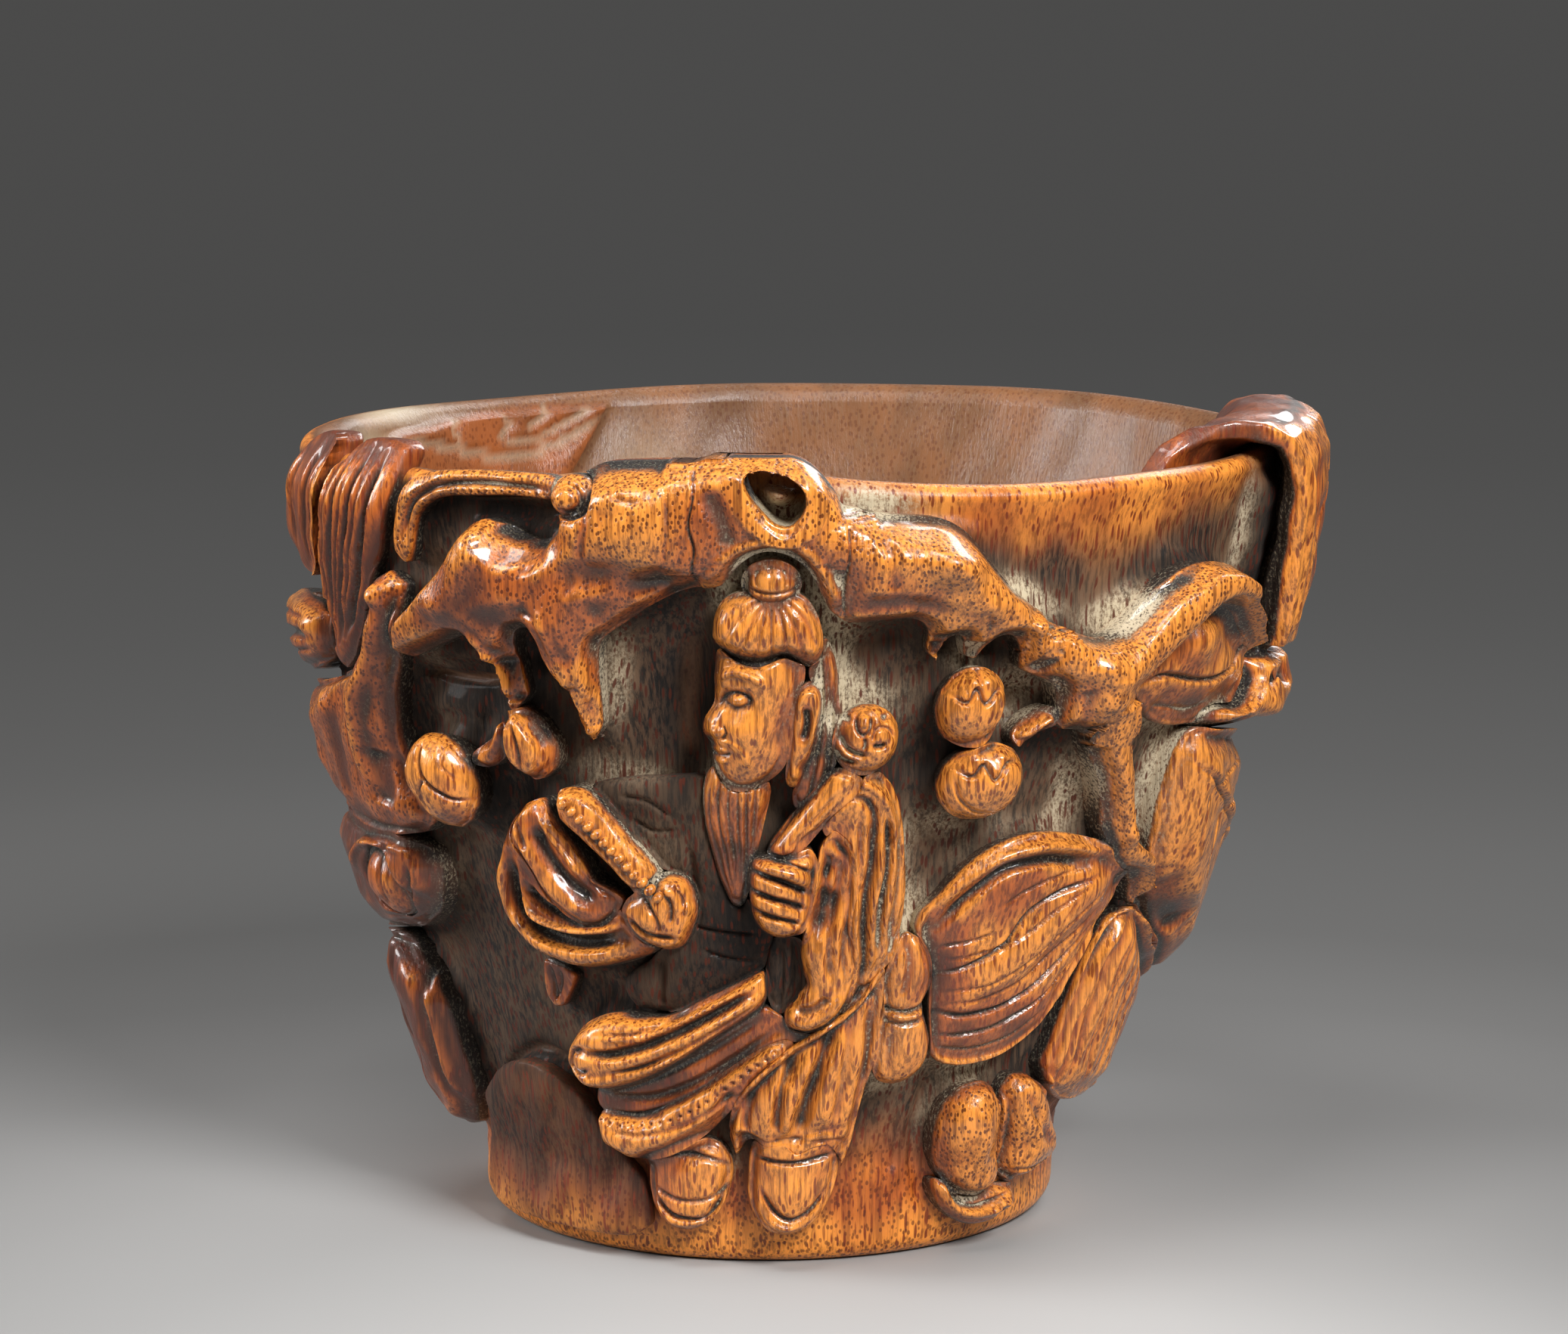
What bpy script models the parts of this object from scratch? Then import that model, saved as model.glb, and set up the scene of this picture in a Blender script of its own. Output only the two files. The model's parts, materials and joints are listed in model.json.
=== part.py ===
"""Carved bamboo libation cup.

A flaring length of bamboo, hollowed to a cup and carved in high relief with a fruit tree and a
robed, bearded figure under its bough. The carving is drawn on a flat sheet, as degrees round from
the front and millimetres above the foot, and the sheet is wrapped on the cup's wall. It is carved
from the front layer back: each element gives way to those that lie over it.

Metres, +Z up, the figure faces -Y, and the origin is the centre of the flat foot.
"""
import math

import bpy
import numpy as np
from mathutils.geometry import delaunay_2d_cdt

MM = 0.001

# The cup's wall
CUP_HEIGHT = 84.0 * MM
RIM_HALF_WIDTH = 52.5 * MM
RIM_HALF_DEPTH = 48.3 * MM
FOOT_HALF_WIDTH = 30.8 * MM
FOOT_HALF_DEPTH = 29.9 * MM
FOOT_BAND = 10.0 * MM
FOOT_ROUND = 2.4 * MM
RIM_SHIFT = 2.3 * MM
RIM_CREST = 2.4 * MM
WALL_AT_RIM = 3.6 * MM
WALL_AT_FOOT = 7.0 * MM
FLOOR_THICKNESS = 9.0 * MM

# How far the elements stand off the wall
TREE_RELIEF = 7.0 * MM
FRUIT_RELIEF = 6.2 * MM
LEAF_RELIEF = 4.2 * MM
SKIN_RELIEF = 5.8 * MM
ROBE_RELIEF = 5.0 * MM
LOW_RELIEF = 1.7 * MM
EDGE_RELIEF = 1.9 * MM

# The clear gaps between solids
SEAT_GAP = 0.3 * MM
SIDE_GAP = 0.34 * MM

# The sheet was drawn for a cup this many millimetres high
DRAWN_HEIGHT = 84.0
# How steeply the wall leaves the foot and meets the rim, where 1 is a straight cone
FLARE_AT_FOOT = 1.1
FLARE_AT_RIM = 0.5
# The crest in the rim, in degrees round from the front
CREST_TURN = -10.0
CREST_SPREAD = 14.0
# Facets
ROUND_STEPS = 60
OUTLINE_STEP = 1.9
FINE_STEP = 1.3

FINISHES = {
    "bamboo_wall": ((0.10, 0.062, 0.040, 1.0), 0.42),
    "bamboo_worn": ((0.45, 0.165, 0.042, 1.0), 0.30),
    "bamboo_dim": ((0.24, 0.095, 0.036, 1.0), 0.36),
}

carved = []


def clear_scene():
    """Start from an empty file."""
    for item in list(bpy.data.objects):
        bpy.data.objects.remove(item, do_unlink=True)


def finish_material(name):
    """Oiled bamboo in one of the three tones."""
    material = bpy.data.materials.get(name)
    if material is None:
        colour, roughness = FINISHES[name]
        material = bpy.data.materials.new(name)
        material.use_nodes = True
        shader = material.node_tree.nodes["Principled BSDF"]
        shader.inputs["Base Color"].default_value = colour
        shader.inputs["Roughness"].default_value = roughness
        shader.inputs["Metallic"].default_value = 0.0
        material.diffuse_color = colour
    return material


def add_piece(name, points, faces, finish):
    """One named closed solid."""
    mesh = bpy.data.meshes.new(name)
    mesh.from_pydata([tuple(point) for point in points], [], faces)
    mesh.update()
    mesh.shade_smooth()
    mesh.set_sharp_from_angle(angle=math.radians(50.0))
    mesh.materials.append(finish_material(finish))
    piece = bpy.data.objects.new(name, mesh)
    bpy.context.scene.collection.objects.link(piece)
    return piece


# The wall


def flare(height):
    """Share of the way from the foot's section to the rim's."""
    share = (height - FOOT_BAND) / (CUP_HEIGHT - FOOT_BAND)
    if share <= 0.0:
        return 0.0
    if share >= 1.0:
        return 1.0 + FLARE_AT_RIM * (share - 1.0)
    square = share * share
    cube = square * share
    leave = (cube - 2.0 * square + share) * FLARE_AT_FOOT
    meet = (cube - square) * FLARE_AT_RIM
    return leave + 3.0 * square - 2.0 * cube + meet


def wall_point(turn, height, out):
    """Point off the wall: degrees round from the front, and metres up and out."""
    share = flare(height)
    half_width = FOOT_HALF_WIDTH + (RIM_HALF_WIDTH - FOOT_HALF_WIDTH) * share + out
    half_depth = FOOT_HALF_DEPTH + (RIM_HALF_DEPTH - FOOT_HALF_DEPTH) * share + out
    angle = math.radians(turn)
    across = RIM_SHIFT * height / CUP_HEIGHT + half_width * math.sin(angle)
    return (across, -half_depth * math.cos(angle), height)


def rim_height(turn):
    """The rim is level but for a crest under the bough at the front."""
    apart = ((turn - CREST_TURN + 180.0) % 360.0 - 180.0) / CREST_SPREAD
    return CUP_HEIGHT + RIM_CREST * math.exp(-apart * apart)


def wall_thickness(height):
    """The wall thins from the foot to the rim."""
    share = min(max(height / CUP_HEIGHT, 0.0), 1.0)
    return WALL_AT_FOOT + (WALL_AT_RIM - WALL_AT_FOOT) * share


def wall_profile(turn):
    """Heights and outward steps round the wall's section, from the foot up, over and down inside."""
    top = rim_height(turn)
    profile = []
    for angle in (90.0, 45.0, 0.0):
        turned = math.radians(angle)
        sunk = FOOT_ROUND * (1.0 - math.cos(turned))
        profile.append((FOOT_ROUND * (1.0 - math.sin(turned)), -sunk))
    profile.append((FOOT_BAND, 0.0))
    lip = 0.5 * WALL_AT_RIM
    for step in range(1, 10):
        profile.append((FOOT_BAND + (top - lip - FOOT_BAND) * step / 9.0, 0.0))
    for angle in (45.0, 90.0, 135.0):
        turned = math.radians(angle)
        profile.append((top - lip + lip * math.sin(turned), -lip + lip * math.cos(turned)))
    bowl = FLOOR_THICKNESS + 14.0 * MM
    for step in range(0, 7):
        height = top - lip + (bowl - top + lip) * step / 6.0
        profile.append((height, -wall_thickness(height)))
    inside = FOOT_HALF_WIDTH - wall_thickness(bowl)
    for angle in (30.0, 58.0, 78.0):
        turned = math.radians(angle)
        height = bowl - (bowl - FLOOR_THICKNESS) * math.sin(turned)
        sunk = inside * (1.0 - math.cos(turned))
        profile.append((height, -wall_thickness(bowl) - sunk))
    return profile


def build_wall():
    """The hollow cup: flat foot, flaring wall, rounded rim, bowl-shaped floor."""
    points = []
    rows = 0
    for step in range(ROUND_STEPS):
        turn = 360.0 * step / ROUND_STEPS
        profile = wall_profile(turn)
        rows = len(profile)
        for height, out in profile:
            points.append(wall_point(turn, height, out))
    faces = []
    for step in range(ROUND_STEPS):
        here = step * rows
        there = ((step + 1) % ROUND_STEPS) * rows
        for row in range(rows - 1):
            faces.append((here + row, there + row, there + row + 1, here + row + 1))
    under = len(points)
    points.append((0.0, 0.0, 0.0))
    floor = len(points)
    points.append((0.0, 0.0, FLOOR_THICKNESS))
    for step in range(ROUND_STEPS):
        here = step * rows
        there = ((step + 1) % ROUND_STEPS) * rows
        faces.append((under, there, here))
        faces.append((floor, here + rows - 1, there + rows - 1))
    add_piece("cup_body", points, faces, "bamboo_wall")


# The sheet


def wrap(turn, up, out):
    """Wrap a point of the sheet on the wall."""
    return wall_point(turn, up * CUP_HEIGHT / DRAWN_HEIGHT, out)


def degree_length(outline):
    """Millimetres per degree at the outline's middle height."""
    heights = [point[1] for point in outline]
    middle = 0.5 * (min(heights) + max(heights))
    share = flare(middle * CUP_HEIGHT / DRAWN_HEIGHT)
    radius = FOOT_HALF_WIDTH + (RIM_HALF_WIDTH - FOOT_HALF_WIDTH) * share
    return math.radians(1.0) * radius / MM


def smooth_loop(outline, length, step):
    """A smooth closed curve through the outline's points, evenly stepped, in millimetres."""
    knots = np.array([(turn * length, up) for turn, up in outline])
    before = np.roll(knots, 1, axis=0)
    after = np.roll(knots, -1, axis=0)
    later = np.roll(knots, -2, axis=0)
    curve = []
    for share in np.linspace(0.0, 1.0, 8, endpoint=False):
        square = share * share
        cube = square * share
        blend = 2.0 * knots + (after - before) * share
        blend = blend + (2.0 * before - 5.0 * knots + 4.0 * after - later) * square
        blend = blend + (3.0 * knots - before - 3.0 * after + later) * cube
        curve.append(0.5 * blend)
    curve = np.stack(curve, axis=1).reshape(-1, 2)
    closed = np.vstack((curve, curve[:1]))
    run = np.concatenate(((0.0,), np.cumsum(np.linalg.norm(np.diff(closed, axis=0), axis=1))))
    count = max(8, int(round(run[-1] / step)))
    stops = np.linspace(0.0, run[-1], count, endpoint=False)
    loop = np.stack((np.interp(stops, run, closed[:, 0]), np.interp(stops, run, closed[:, 1])), axis=1)
    following = np.roll(loop, -1, axis=0)
    area = 0.5 * np.sum(loop[:, 0] * following[:, 1] - following[:, 0] * loop[:, 1])
    if area < 0.0:
        loop = loop[::-1]
    return loop


def grown(loop, gap):
    """The loop moved out by a gap."""
    along = np.roll(loop, -1, axis=0) - np.roll(loop, 1, axis=0)
    along = along / np.maximum(np.linalg.norm(along, axis=1, keepdims=True), 1e-9)
    return loop + gap * np.stack((along[:, 1], -along[:, 0]), axis=1)


def edge_distance(points, loop):
    """Distance of each point from a loop."""
    start = loop[None, :, :]
    run = (np.roll(loop, -1, axis=0) - loop)[None, :, :]
    offset = points[:, None, :] - start
    share = np.sum(offset * run, axis=2) / np.maximum(np.sum(run * run, axis=2), 1e-12)
    share = np.clip(share, 0.0, 1.0)
    return np.min(np.linalg.norm(offset - run * share[:, :, None], axis=2), axis=1)


def is_inside(points, loop):
    """Which points lie inside a loop."""
    count = np.zeros(len(points), dtype=int)
    following = np.roll(loop, -1, axis=0)
    for (ax, ay), (bx, by) in zip(loop, following):
        crosses = (points[:, 1] < ay) != (points[:, 1] < by)
        reach = ax + (points[:, 1] - ay) * (bx - ax) / (by - ay + 1e-15)
        count += (crosses & (points[:, 0] < reach)).astype(int)
    return count % 2 == 1


def edge_uses(triangles):
    """How many triangles use each edge, and the directed edge that is used once."""
    uses = {}
    for triangle in triangles:
        for corner in range(3):
            edge = (triangle[corner], triangle[(corner + 1) % 3])
            uses.setdefault(tuple(sorted(edge)), []).append(edge)
    return uses


def one_patch(points, triangles):
    """The largest connected patch, without slivers at its edge or places that touch at one corner."""
    kept = [tuple(triangle) for triangle in triangles]

    def area_of(triangle):
        a, b, c = (points[corner] for corner in triangle)
        return 0.5 * abs((b[0] - a[0]) * (c[1] - a[1]) - (c[0] - a[0]) * (b[1] - a[1]))

    def longest(triangle):
        sides = [points[triangle[k]] - points[triangle[k - 1]] for k in range(3)]
        return max(float(np.linalg.norm(side)) for side in sides)

    changed = True
    while changed:
        changed = False
        uses = edge_uses(kept)
        rim = {edge for edge, found in uses.items() if len(found) == 1}
        thin = set()
        for triangle in kept:
            edges = [tuple(sorted((triangle[k], triangle[k - 1]))) for k in range(3)]
            if any(edge in rim for edge in edges):
                if 2.0 * area_of(triangle) < 0.22 * longest(triangle):
                    thin.add(triangle)
        if thin:
            kept = [triangle for triangle in kept if triangle not in thin]
            changed = True
            continue
        parent = list(range(len(kept)))

        def root_of(index):
            while parent[index] != index:
                parent[index] = parent[parent[index]]
                index = parent[index]
            return index

        first = {}
        for index, triangle in enumerate(kept):
            for k in range(3):
                edge = tuple(sorted((triangle[k], triangle[k - 1])))
                if edge in first:
                    parent[root_of(index)] = root_of(first[edge])
                else:
                    first[edge] = index
        sizes = {}
        for index, triangle in enumerate(kept):
            root = root_of(index)
            sizes[root] = sizes.get(root, 0.0) + area_of(triangle)
        if len(sizes) > 1:
            largest = max(sizes, key=lambda root: sizes[root])
            kept = [tri for index, tri in enumerate(kept) if root_of(index) == largest]
            changed = True
            continue
        ends = {}
        for edge in rim:
            for corner in edge:
                ends[corner] = ends.get(corner, 0) + 1
        pinched = [corner for corner, count in ends.items() if count > 2]
        if pinched:
            corner = pinched[0]
            fan = [triangle for triangle in kept if corner in triangle]
            smallest = min(fan, key=area_of)
            kept = [triangle for triangle in kept if triangle != smallest]
            changed = True
    return kept


def inner_points(loop, over, step, round_over):
    """Points inside an outline: along the crest of its rounded edge, down the edge, then a loose grid."""
    crest = min(round_over, 3.2)
    shoulder = min(0.32 * round_over, 1.0)
    grid = step * 1.7
    low, high = loop.min(axis=0), loop.max(axis=0)
    loose = []
    row = 0
    height = low[1]
    while height < high[1]:
        for across in np.arange(low[0] + 0.5 * grid * (row % 2), high[0], grid):
            loose.append((across, height))
        row += 1
        height += grid * 0.866
    wanted = ((grown(loop, -crest), 0.8 * crest, 0.75), (grown(loop, -shoulder), 0.8 * shoulder, 0.6),
              (np.array(loose), crest + 0.3 * grid, 1.1))
    kept = np.zeros((0, 2))
    for group, clear, apart in wanted:
        good = is_inside(group, loop) & (edge_distance(group, loop) >= clear)
        for placed in over:
            good &= ~is_inside(group, placed) & (edge_distance(group, placed) > 0.4 * step)
        for point in group[good]:
            if len(kept) == 0 or np.min(np.linalg.norm(kept - point, axis=1)) > apart * step:
                kept = np.vstack((kept, point))
    return kept


def edge_loops(triangles):
    """The closed rings of edges round a patch."""
    onward = {}
    for found in edge_uses(triangles).values():
        if len(found) == 1:
            onward[found[0][0]] = found[0][1]
    loops = []
    while onward:
        start = min(onward)
        ring = [start]
        step = onward.pop(start)
        while step != start:
            ring.append(step)
            step = onward.pop(step)
        loops.append(ring)
    return loops


def close_behind(sheet, triangles, length, solid, skin):
    """Give a patch its sides, and a coarse back that follows the wall."""
    loops = edge_loops(triangles)
    loops.sort(key=lambda ring: -np.ptp(sheet[ring, 0]) * np.ptp(sheet[ring, 1]))
    ring_points = np.vstack([sheet[ring] for ring in loops])
    faces = []
    count = 0
    for ring in loops:
        order = list(range(count, count + len(ring)))
        faces.append(order if ring is loops[0] else order[::-1])
        count += len(ring)
    low, high = ring_points.min(axis=0), ring_points.max(axis=0)
    loose = []
    for height in np.arange(low[1] + 1.8, high[1], 3.6):
        for across in np.arange(low[0] + 1.8, high[0], 3.6):
            loose.append((across, height))
    loose = np.array(loose).reshape(-1, 2)
    good = is_inside(loose, sheet[loops[0]])
    for ring in loops:
        good &= edge_distance(loose, sheet[ring]) > 1.1
    flat = np.vstack((ring_points, loose[good]))
    result = delaunay_2d_cdt([tuple(point) for point in flat], [], faces, 1, 1e-5)
    first = len(solid)
    solid += [wrap(across / length, up, SEAT_GAP) for across, up in flat]
    named = [first + found[0] for found in result[3]]
    for triangle, owner in zip(result[2], result[5]):
        if list(set(owner)) == [0]:
            a, b, c = (named[corner] for corner in triangle)
            skin.append((c, b, a))
    place = first
    for ring in loops:
        for index, corner in enumerate(ring):
            following = (index + 1) % len(ring)
            skin.append((ring[following], corner, place + index, place + following))
        place += len(ring)


def carve(name, outline, relief, finish, round_over=3.0, lip=EDGE_RELIEF, lean=(0.0, 0.0),
          step=OUTLINE_STEP):
    """A pillow on the wall: an outline, rounded over at its edge, cut back under what lies over it."""
    length = degree_length(outline)
    loop = smooth_loop(outline, length, step)
    low, high = loop.min(axis=0), loop.max(axis=0)
    points = [loop]
    faces = [list(range(len(loop)))]
    count = len(loop)
    over = []
    for other in carved:
        placed = other * np.array((length, 1.0))
        if np.any(placed.max(axis=0) < low - 1.0) or np.any(placed.min(axis=0) > high + 1.0):
            continue
        placed = grown(placed, SIDE_GAP / MM)
        over.append(placed)
        points.append(placed)
        faces.append(list(range(count, count + len(placed))))
        count += len(placed)
    spaced = inner_points(loop, over, step, round_over)
    points.append(spaced)
    flat = np.vstack(points)
    result = delaunay_2d_cdt([tuple(point) for point in flat], [], faces, 1, 1e-4)
    sheet = np.array([tuple(point) for point in result[0]])
    owners = result[5]
    triangles = [tri for tri, owner in zip(result[2], owners) if list(set(owner)) == [0]]
    triangles = one_patch(sheet, triangles)
    used = sorted({corner for triangle in triangles for corner in triangle})
    number = {corner: index for index, corner in enumerate(used)}
    triangles = [tuple(number[corner] for corner in triangle) for triangle in triangles]
    sheet = sheet[used]
    reach = np.clip(edge_distance(sheet, loop) / round_over, 0.0, 1.0)
    rise = np.sqrt(1.0 - (1.0 - reach) ** 2)
    centre = loop.mean(axis=0)
    tilt = (sheet[:, 0] - centre[0]) * lean[0] + (sheet[:, 1] - centre[1]) * lean[1]
    crest = np.maximum(relief + tilt * MM, lip)
    top = lip + (crest - lip) * rise
    solid = [wrap(across / length, up, out) for (across, up), out in zip(sheet, top)]
    skin = list(triangles)
    close_behind(sheet, triangles, length, solid, skin)
    carved.append(loop / np.array((length, 1.0)))
    return add_piece(name, solid, skin, finish)


def strip(path):
    """Outline of a stem: (degrees, millimetres up, half width in millimetres) along its middle."""
    length = degree_length(path)
    middle = np.array([(turn * length, up) for turn, up, _ in path])
    half = np.array([width for _, _, width in path])[:, None]
    along = np.gradient(middle, axis=0)
    along = along / np.linalg.norm(along, axis=1, keepdims=True)
    side = np.stack((-along[:, 1], along[:, 0]), axis=1)
    tip = middle[-1:] + along[-1:] * half[-1]
    tail = middle[:1] - along[:1] * half[0]
    outline = np.vstack((tail, middle + side * half, tip, (middle - side * half)[::-1]))
    return [(across / length, up) for across, up in outline]


def hollow(outline):
    """A place cut through to the wall."""
    length = degree_length(outline)
    loop = smooth_loop(outline, length, FINE_STEP)
    carved.append(loop / np.array((length, 1.0)))


def fruit(name, spot, relief, finish):
    """A ball seated on the wall, flat behind: its place and half sizes on the sheet."""
    turn, up, half_turn, half_height = spot
    middle = 0.45 * relief
    reach = relief - middle
    last = math.acos((SEAT_GAP - middle) / reach)
    around = 14
    bands = 6
    points = [wrap(turn, up, relief)]
    for band in range(1, bands + 1):
        angle = last * band / bands
        for step in range(around):
            turned = 2.0 * math.pi * step / around
            across = half_turn * math.sin(angle) * math.cos(turned)
            above = half_height * math.sin(angle) * math.sin(turned)
            out = max(middle + reach * math.cos(angle), SEAT_GAP)
            points.append(wrap(turn + across, up + above, out))
    behind = len(points)
    points.append(wrap(turn, up, SEAT_GAP))
    faces = []
    for step in range(around):
        following = (step + 1) % around
        faces.append((0, 1 + step, 1 + following))
        for band in range(bands - 1):
            here = 1 + band * around
            there = here + around
            faces.append((here + step, there + step, there + following, here + following))
        rim = 1 + (bands - 1) * around
        faces.append((behind, rim + following, rim + step))
    ring = []
    for step in range(around):
        turned = 2.0 * math.pi * step / around
        ring.append((turn + half_turn * math.cos(turned), up + half_height * math.sin(turned)))
    carved.append(np.array(ring))
    return add_piece(name, points, faces, finish)


def drape(name, finish):
    """The leaf folded over the rim at the right: down the outside, over, and a little way in."""
    # Its section as millimetres out and above the rim: the outer face, the hollow side that shows at
    # the front edge, and the side that lies against the wall behind that edge
    outer = (
        (6.6, -21.5), (6.6, -16.0), (6.0, -10.0), (5.6, -5.0), (4.9, -1.0), (3.6, 1.5), (1.0, 2.8),
        (-1.8, 3.1), (-4.6, 2.6), (-6.8, 1.0), (-7.4, -2.6), (-6.4, -8.0),
    )
    hollow_side = (
        (4.6, -21.5), (4.8, -16.0), (4.4, -10.0), (4.0, -5.0), (3.5, -1.6), (2.4, 0.4), (0.6, 1.3),
        (-1.8, 1.7), (-3.5, 1.3), (-5.0, 0.0), (-5.6, -3.0), (-5.4, -8.0),
    )
    wall_side = (
        (0.6, -21.5), (0.5, -16.0), (0.5, -10.0), (0.5, -5.0), (0.6, -2.2), (0.2, -0.5), (-0.9, 0.4),
        (-1.8, 0.5), (-3.1, 0.2), (-4.1, -1.2), (-4.3, -3.2), (-4.6, -8.0),
    )
    front = (74.0, 72.0, 70.4, 69.4, 68.2, 66.8, 64.8, 62.2, 58.6, 55.0, 52.6, 51.6)
    back = (94.0, 97.0, 100.0, 102.0, 103.0, 104.0, 104.0, 104.0, 103.0, 101.0, 98.0, 96.0)
    hang = (CUP_HEIGHT - wrap(0.0, DRAPE_HEM, 0.0)[2]) / (-outer[0][1] * MM)
    columns = 10
    points = []
    for column in range(columns):
        place = column / (columns - 1.0)
        hugging = min(max((place - 0.04) / 0.16, 0.0), 1.0)
        thinning = 1.0 - 0.6 * min(max((place - 0.66) / 0.34, 0.0), 1.0) ** 2
        faces_out = []
        faces_in = []
        for top, hollowed, seated, start, end in zip(outer, hollow_side, wall_side, front, back):
            under = np.array(hollowed) + (np.array(seated) - np.array(hollowed)) * hugging
            over = under + (np.array(top) - under) * thinning
            turn = start + (end - start) * place
            for (out, above), side in ((over, faces_out), (under, faces_in)):
                height = CUP_HEIGHT + above * MM * (hang if above < 0.0 else 1.0)
                on_wall = wall_point(turn, min(height, CUP_HEIGHT), out * MM)
                side.append((on_wall[0], on_wall[1], height))
        points += faces_out + faces_in[::-1]
    stations = len(outer)
    size = 2 * stations
    faces = []
    for column in range(columns - 1):
        here = column * size
        there = here + size
        for index in range(size):
            following = (index + 1) % size
            faces.append((here + index, there + index, there + following, here + following))
    last = (columns - 1) * size
    for index in range(stations - 1):
        other = size - 1 - index
        faces.append((index, index + 1, other - 1, other))
        faces.append((last + other, last + other - 1, last + index + 1, last + index))
    return add_piece(name, points, faces, finish)


# The drawing


# How high the draped leaf's lower end hangs
DRAPE_HEM = 62.5

# Balls: place, half width in degrees and half height
TRUNK_KNOB = (-21.6, 83.2, 2.3, 2.0)
FRUIT_RIGHT_UPPER = (21.2, 61.6, 3.85, 4.0)
FRUIT_RIGHT_LOWER = (23.8, 53.6, 5.2, 4.0)
FRUIT_LEFT = (-44.9, 51.8, 5.1, 4.9)
TOPKNOT = (-1.7, 74.9, 2.95, 2.4)
STAFF_HEAD = (9.3, 58.6, 3.7, 3.5)
NUT_LEFT = (-63.6, 38.6, 4.95, 3.6)

# Outlines, and middle lines of stems with their half width in millimetres
KNOT_HOLE = (
    (-4.4, 85.6), (-2.4, 85.9), (-0.4, 85.4), (1.2, 84.0), (1.0, 82.2), (-0.4, 80.9), (-2.0, 82.0),
    (-3.6, 83.8),
)
TRUNK_LEFT = (
    (-48.2, 66.8), (-45.4, 69.5), (-41.5, 72.5), (-38.0, 75.5), (-35.5, 78.5), (-33.0, 80.0),
    (-30.5, 79.2), (-28.0, 78.0), (-25.5, 78.3), (-23.8, 80.0), (-23.0, 83.0), (-21.5, 85.6),
    (-18.0, 86.2), (-14.0, 86.4), (-10.0, 86.6), (-6.6, 86.2), (-6.2, 82.0), (-6.4, 78.4), (-8.2, 75.6),
    (-9.6, 74.6), (-12.0, 73.8), (-15.0, 72.3), (-18.0, 70.3), (-20.8, 68.3), (-21.3, 64.0), (-21.6, 60.0),
    (-22.4, 57.8), (-23.8, 59.5), (-24.8, 63.0), (-26.3, 64.8), (-27.2, 66.8), (-28.0, 69.2),
    (-29.6, 69.9), (-31.2, 68.4), (-31.8, 65.5), (-31.2, 62.6), (-32.0, 60.6), (-33.8, 60.8),
    (-34.4, 64.0), (-35.5, 67.0), (-37.2, 68.2), (-41.0, 67.0), (-45.2, 65.4), (-48.2, 64.6),
)
TRUNK_CROWN = (
    (-9.1, 86.8), (-6.0, 87.2), (-2.0, 87.3), (1.0, 86.8), (3.0, 85.4), (4.6, 83.4), (5.2, 81.4),
    (5.3, 78.0), (5.4, 74.5), (5.5, 71.2), (4.2, 72.8), (3.2, 75.0), (1.8, 77.0), (0.0, 78.2),
    (-2.0, 78.6), (-4.2, 77.9), (-5.8, 76.2), (-7.2, 74.6), (-8.7, 74.6), (-8.8, 78.0), (-9.1, 82.0),
)
TRUNK_RIGHT = (
    (3.2, 82.4), (6.4, 82.0), (8.6, 81.4), (12.0, 81.0), (15.5, 80.7), (18.0, 79.8), (20.3, 77.8), (22.5, 75.0),
    (25.5, 72.3), (28.6, 70.3), (29.0, 67.0), (28.0, 64.4), (27.0, 65.4), (26.4, 67.5), (25.0, 69.2),
    (23.2, 69.2), (21.8, 67.8), (21.4, 66.4), (20.4, 66.4), (20.0, 68.2), (18.7, 69.8), (17.4, 69.0),
    (17.2, 66.8), (16.0, 66.8), (15.6, 69.8), (14.0, 71.2), (10.0, 71.1), (6.2, 71.0), (4.8, 73.6),
    (3.2, 77.0), (2.9, 80.0),
)
BOUGH_RIGHT = (
    (29.4, 69.9), (32.0, 68.6), (36.0, 67.4), (39.5, 67.7), (42.0, 69.4), (45.0, 71.8), (48.5, 73.4),
    (52.0, 73.8), (56.0, 73.2), (60.0, 71.4), (64.0, 68.6), (67.0, 66.4), (69.4, 64.8), (68.8, 62.6),
    (66.0, 63.8), (62.0, 66.4), (58.5, 68.6), (55.0, 69.8), (52.0, 69.4), (49.5, 67.6), (46.5, 65.4),
    (43.8, 63.6), (42.0, 61.6), (41.6, 58.8), (37.5, 58.2), (33.4, 58.6), (32.8, 61.0), (31.6, 63.8),
    (28.8, 64.2), (29.7, 67.0),
)
STEM_RIGHT = (
    (37.0, 60.0), (41.4, 60.6), (43.2, 57.8), (45.2, 54.0), (47.0, 50.3), (48.8, 46.8), (51.8, 44.4),
    (55.2, 43.2), (58.4, 41.0), (60.6, 38.0), (60.8, 36.6), (58.8, 36.8), (57.4, 38.8), (54.6, 40.8),
    (51.0, 41.6), (48.4, 42.6), (46.2, 45.4), (44.2, 49.0), (41.8, 52.7), (39.0, 56.0),
)
TWIG_RIGHT = ((33.2, 60.0, 0.9), (30.6, 58.9, 0.9), (28.6, 57.6, 0.8))
POD_LEFT = (
    (-33.0, 60.2), (-31.6, 60.6), (-30.4, 60.0), (-29.0, 58.4), (-27.9, 56.6), (-28.3, 54.8),
    (-29.8, 53.6), (-31.4, 53.2), (-33.0, 54.8), (-33.6, 57.5),
)
TWIG_LEFT = ((-39.0, 54.6, 0.9), (-36.6, 55.8, 0.9), (-34.8, 58.0, 0.8))

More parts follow.
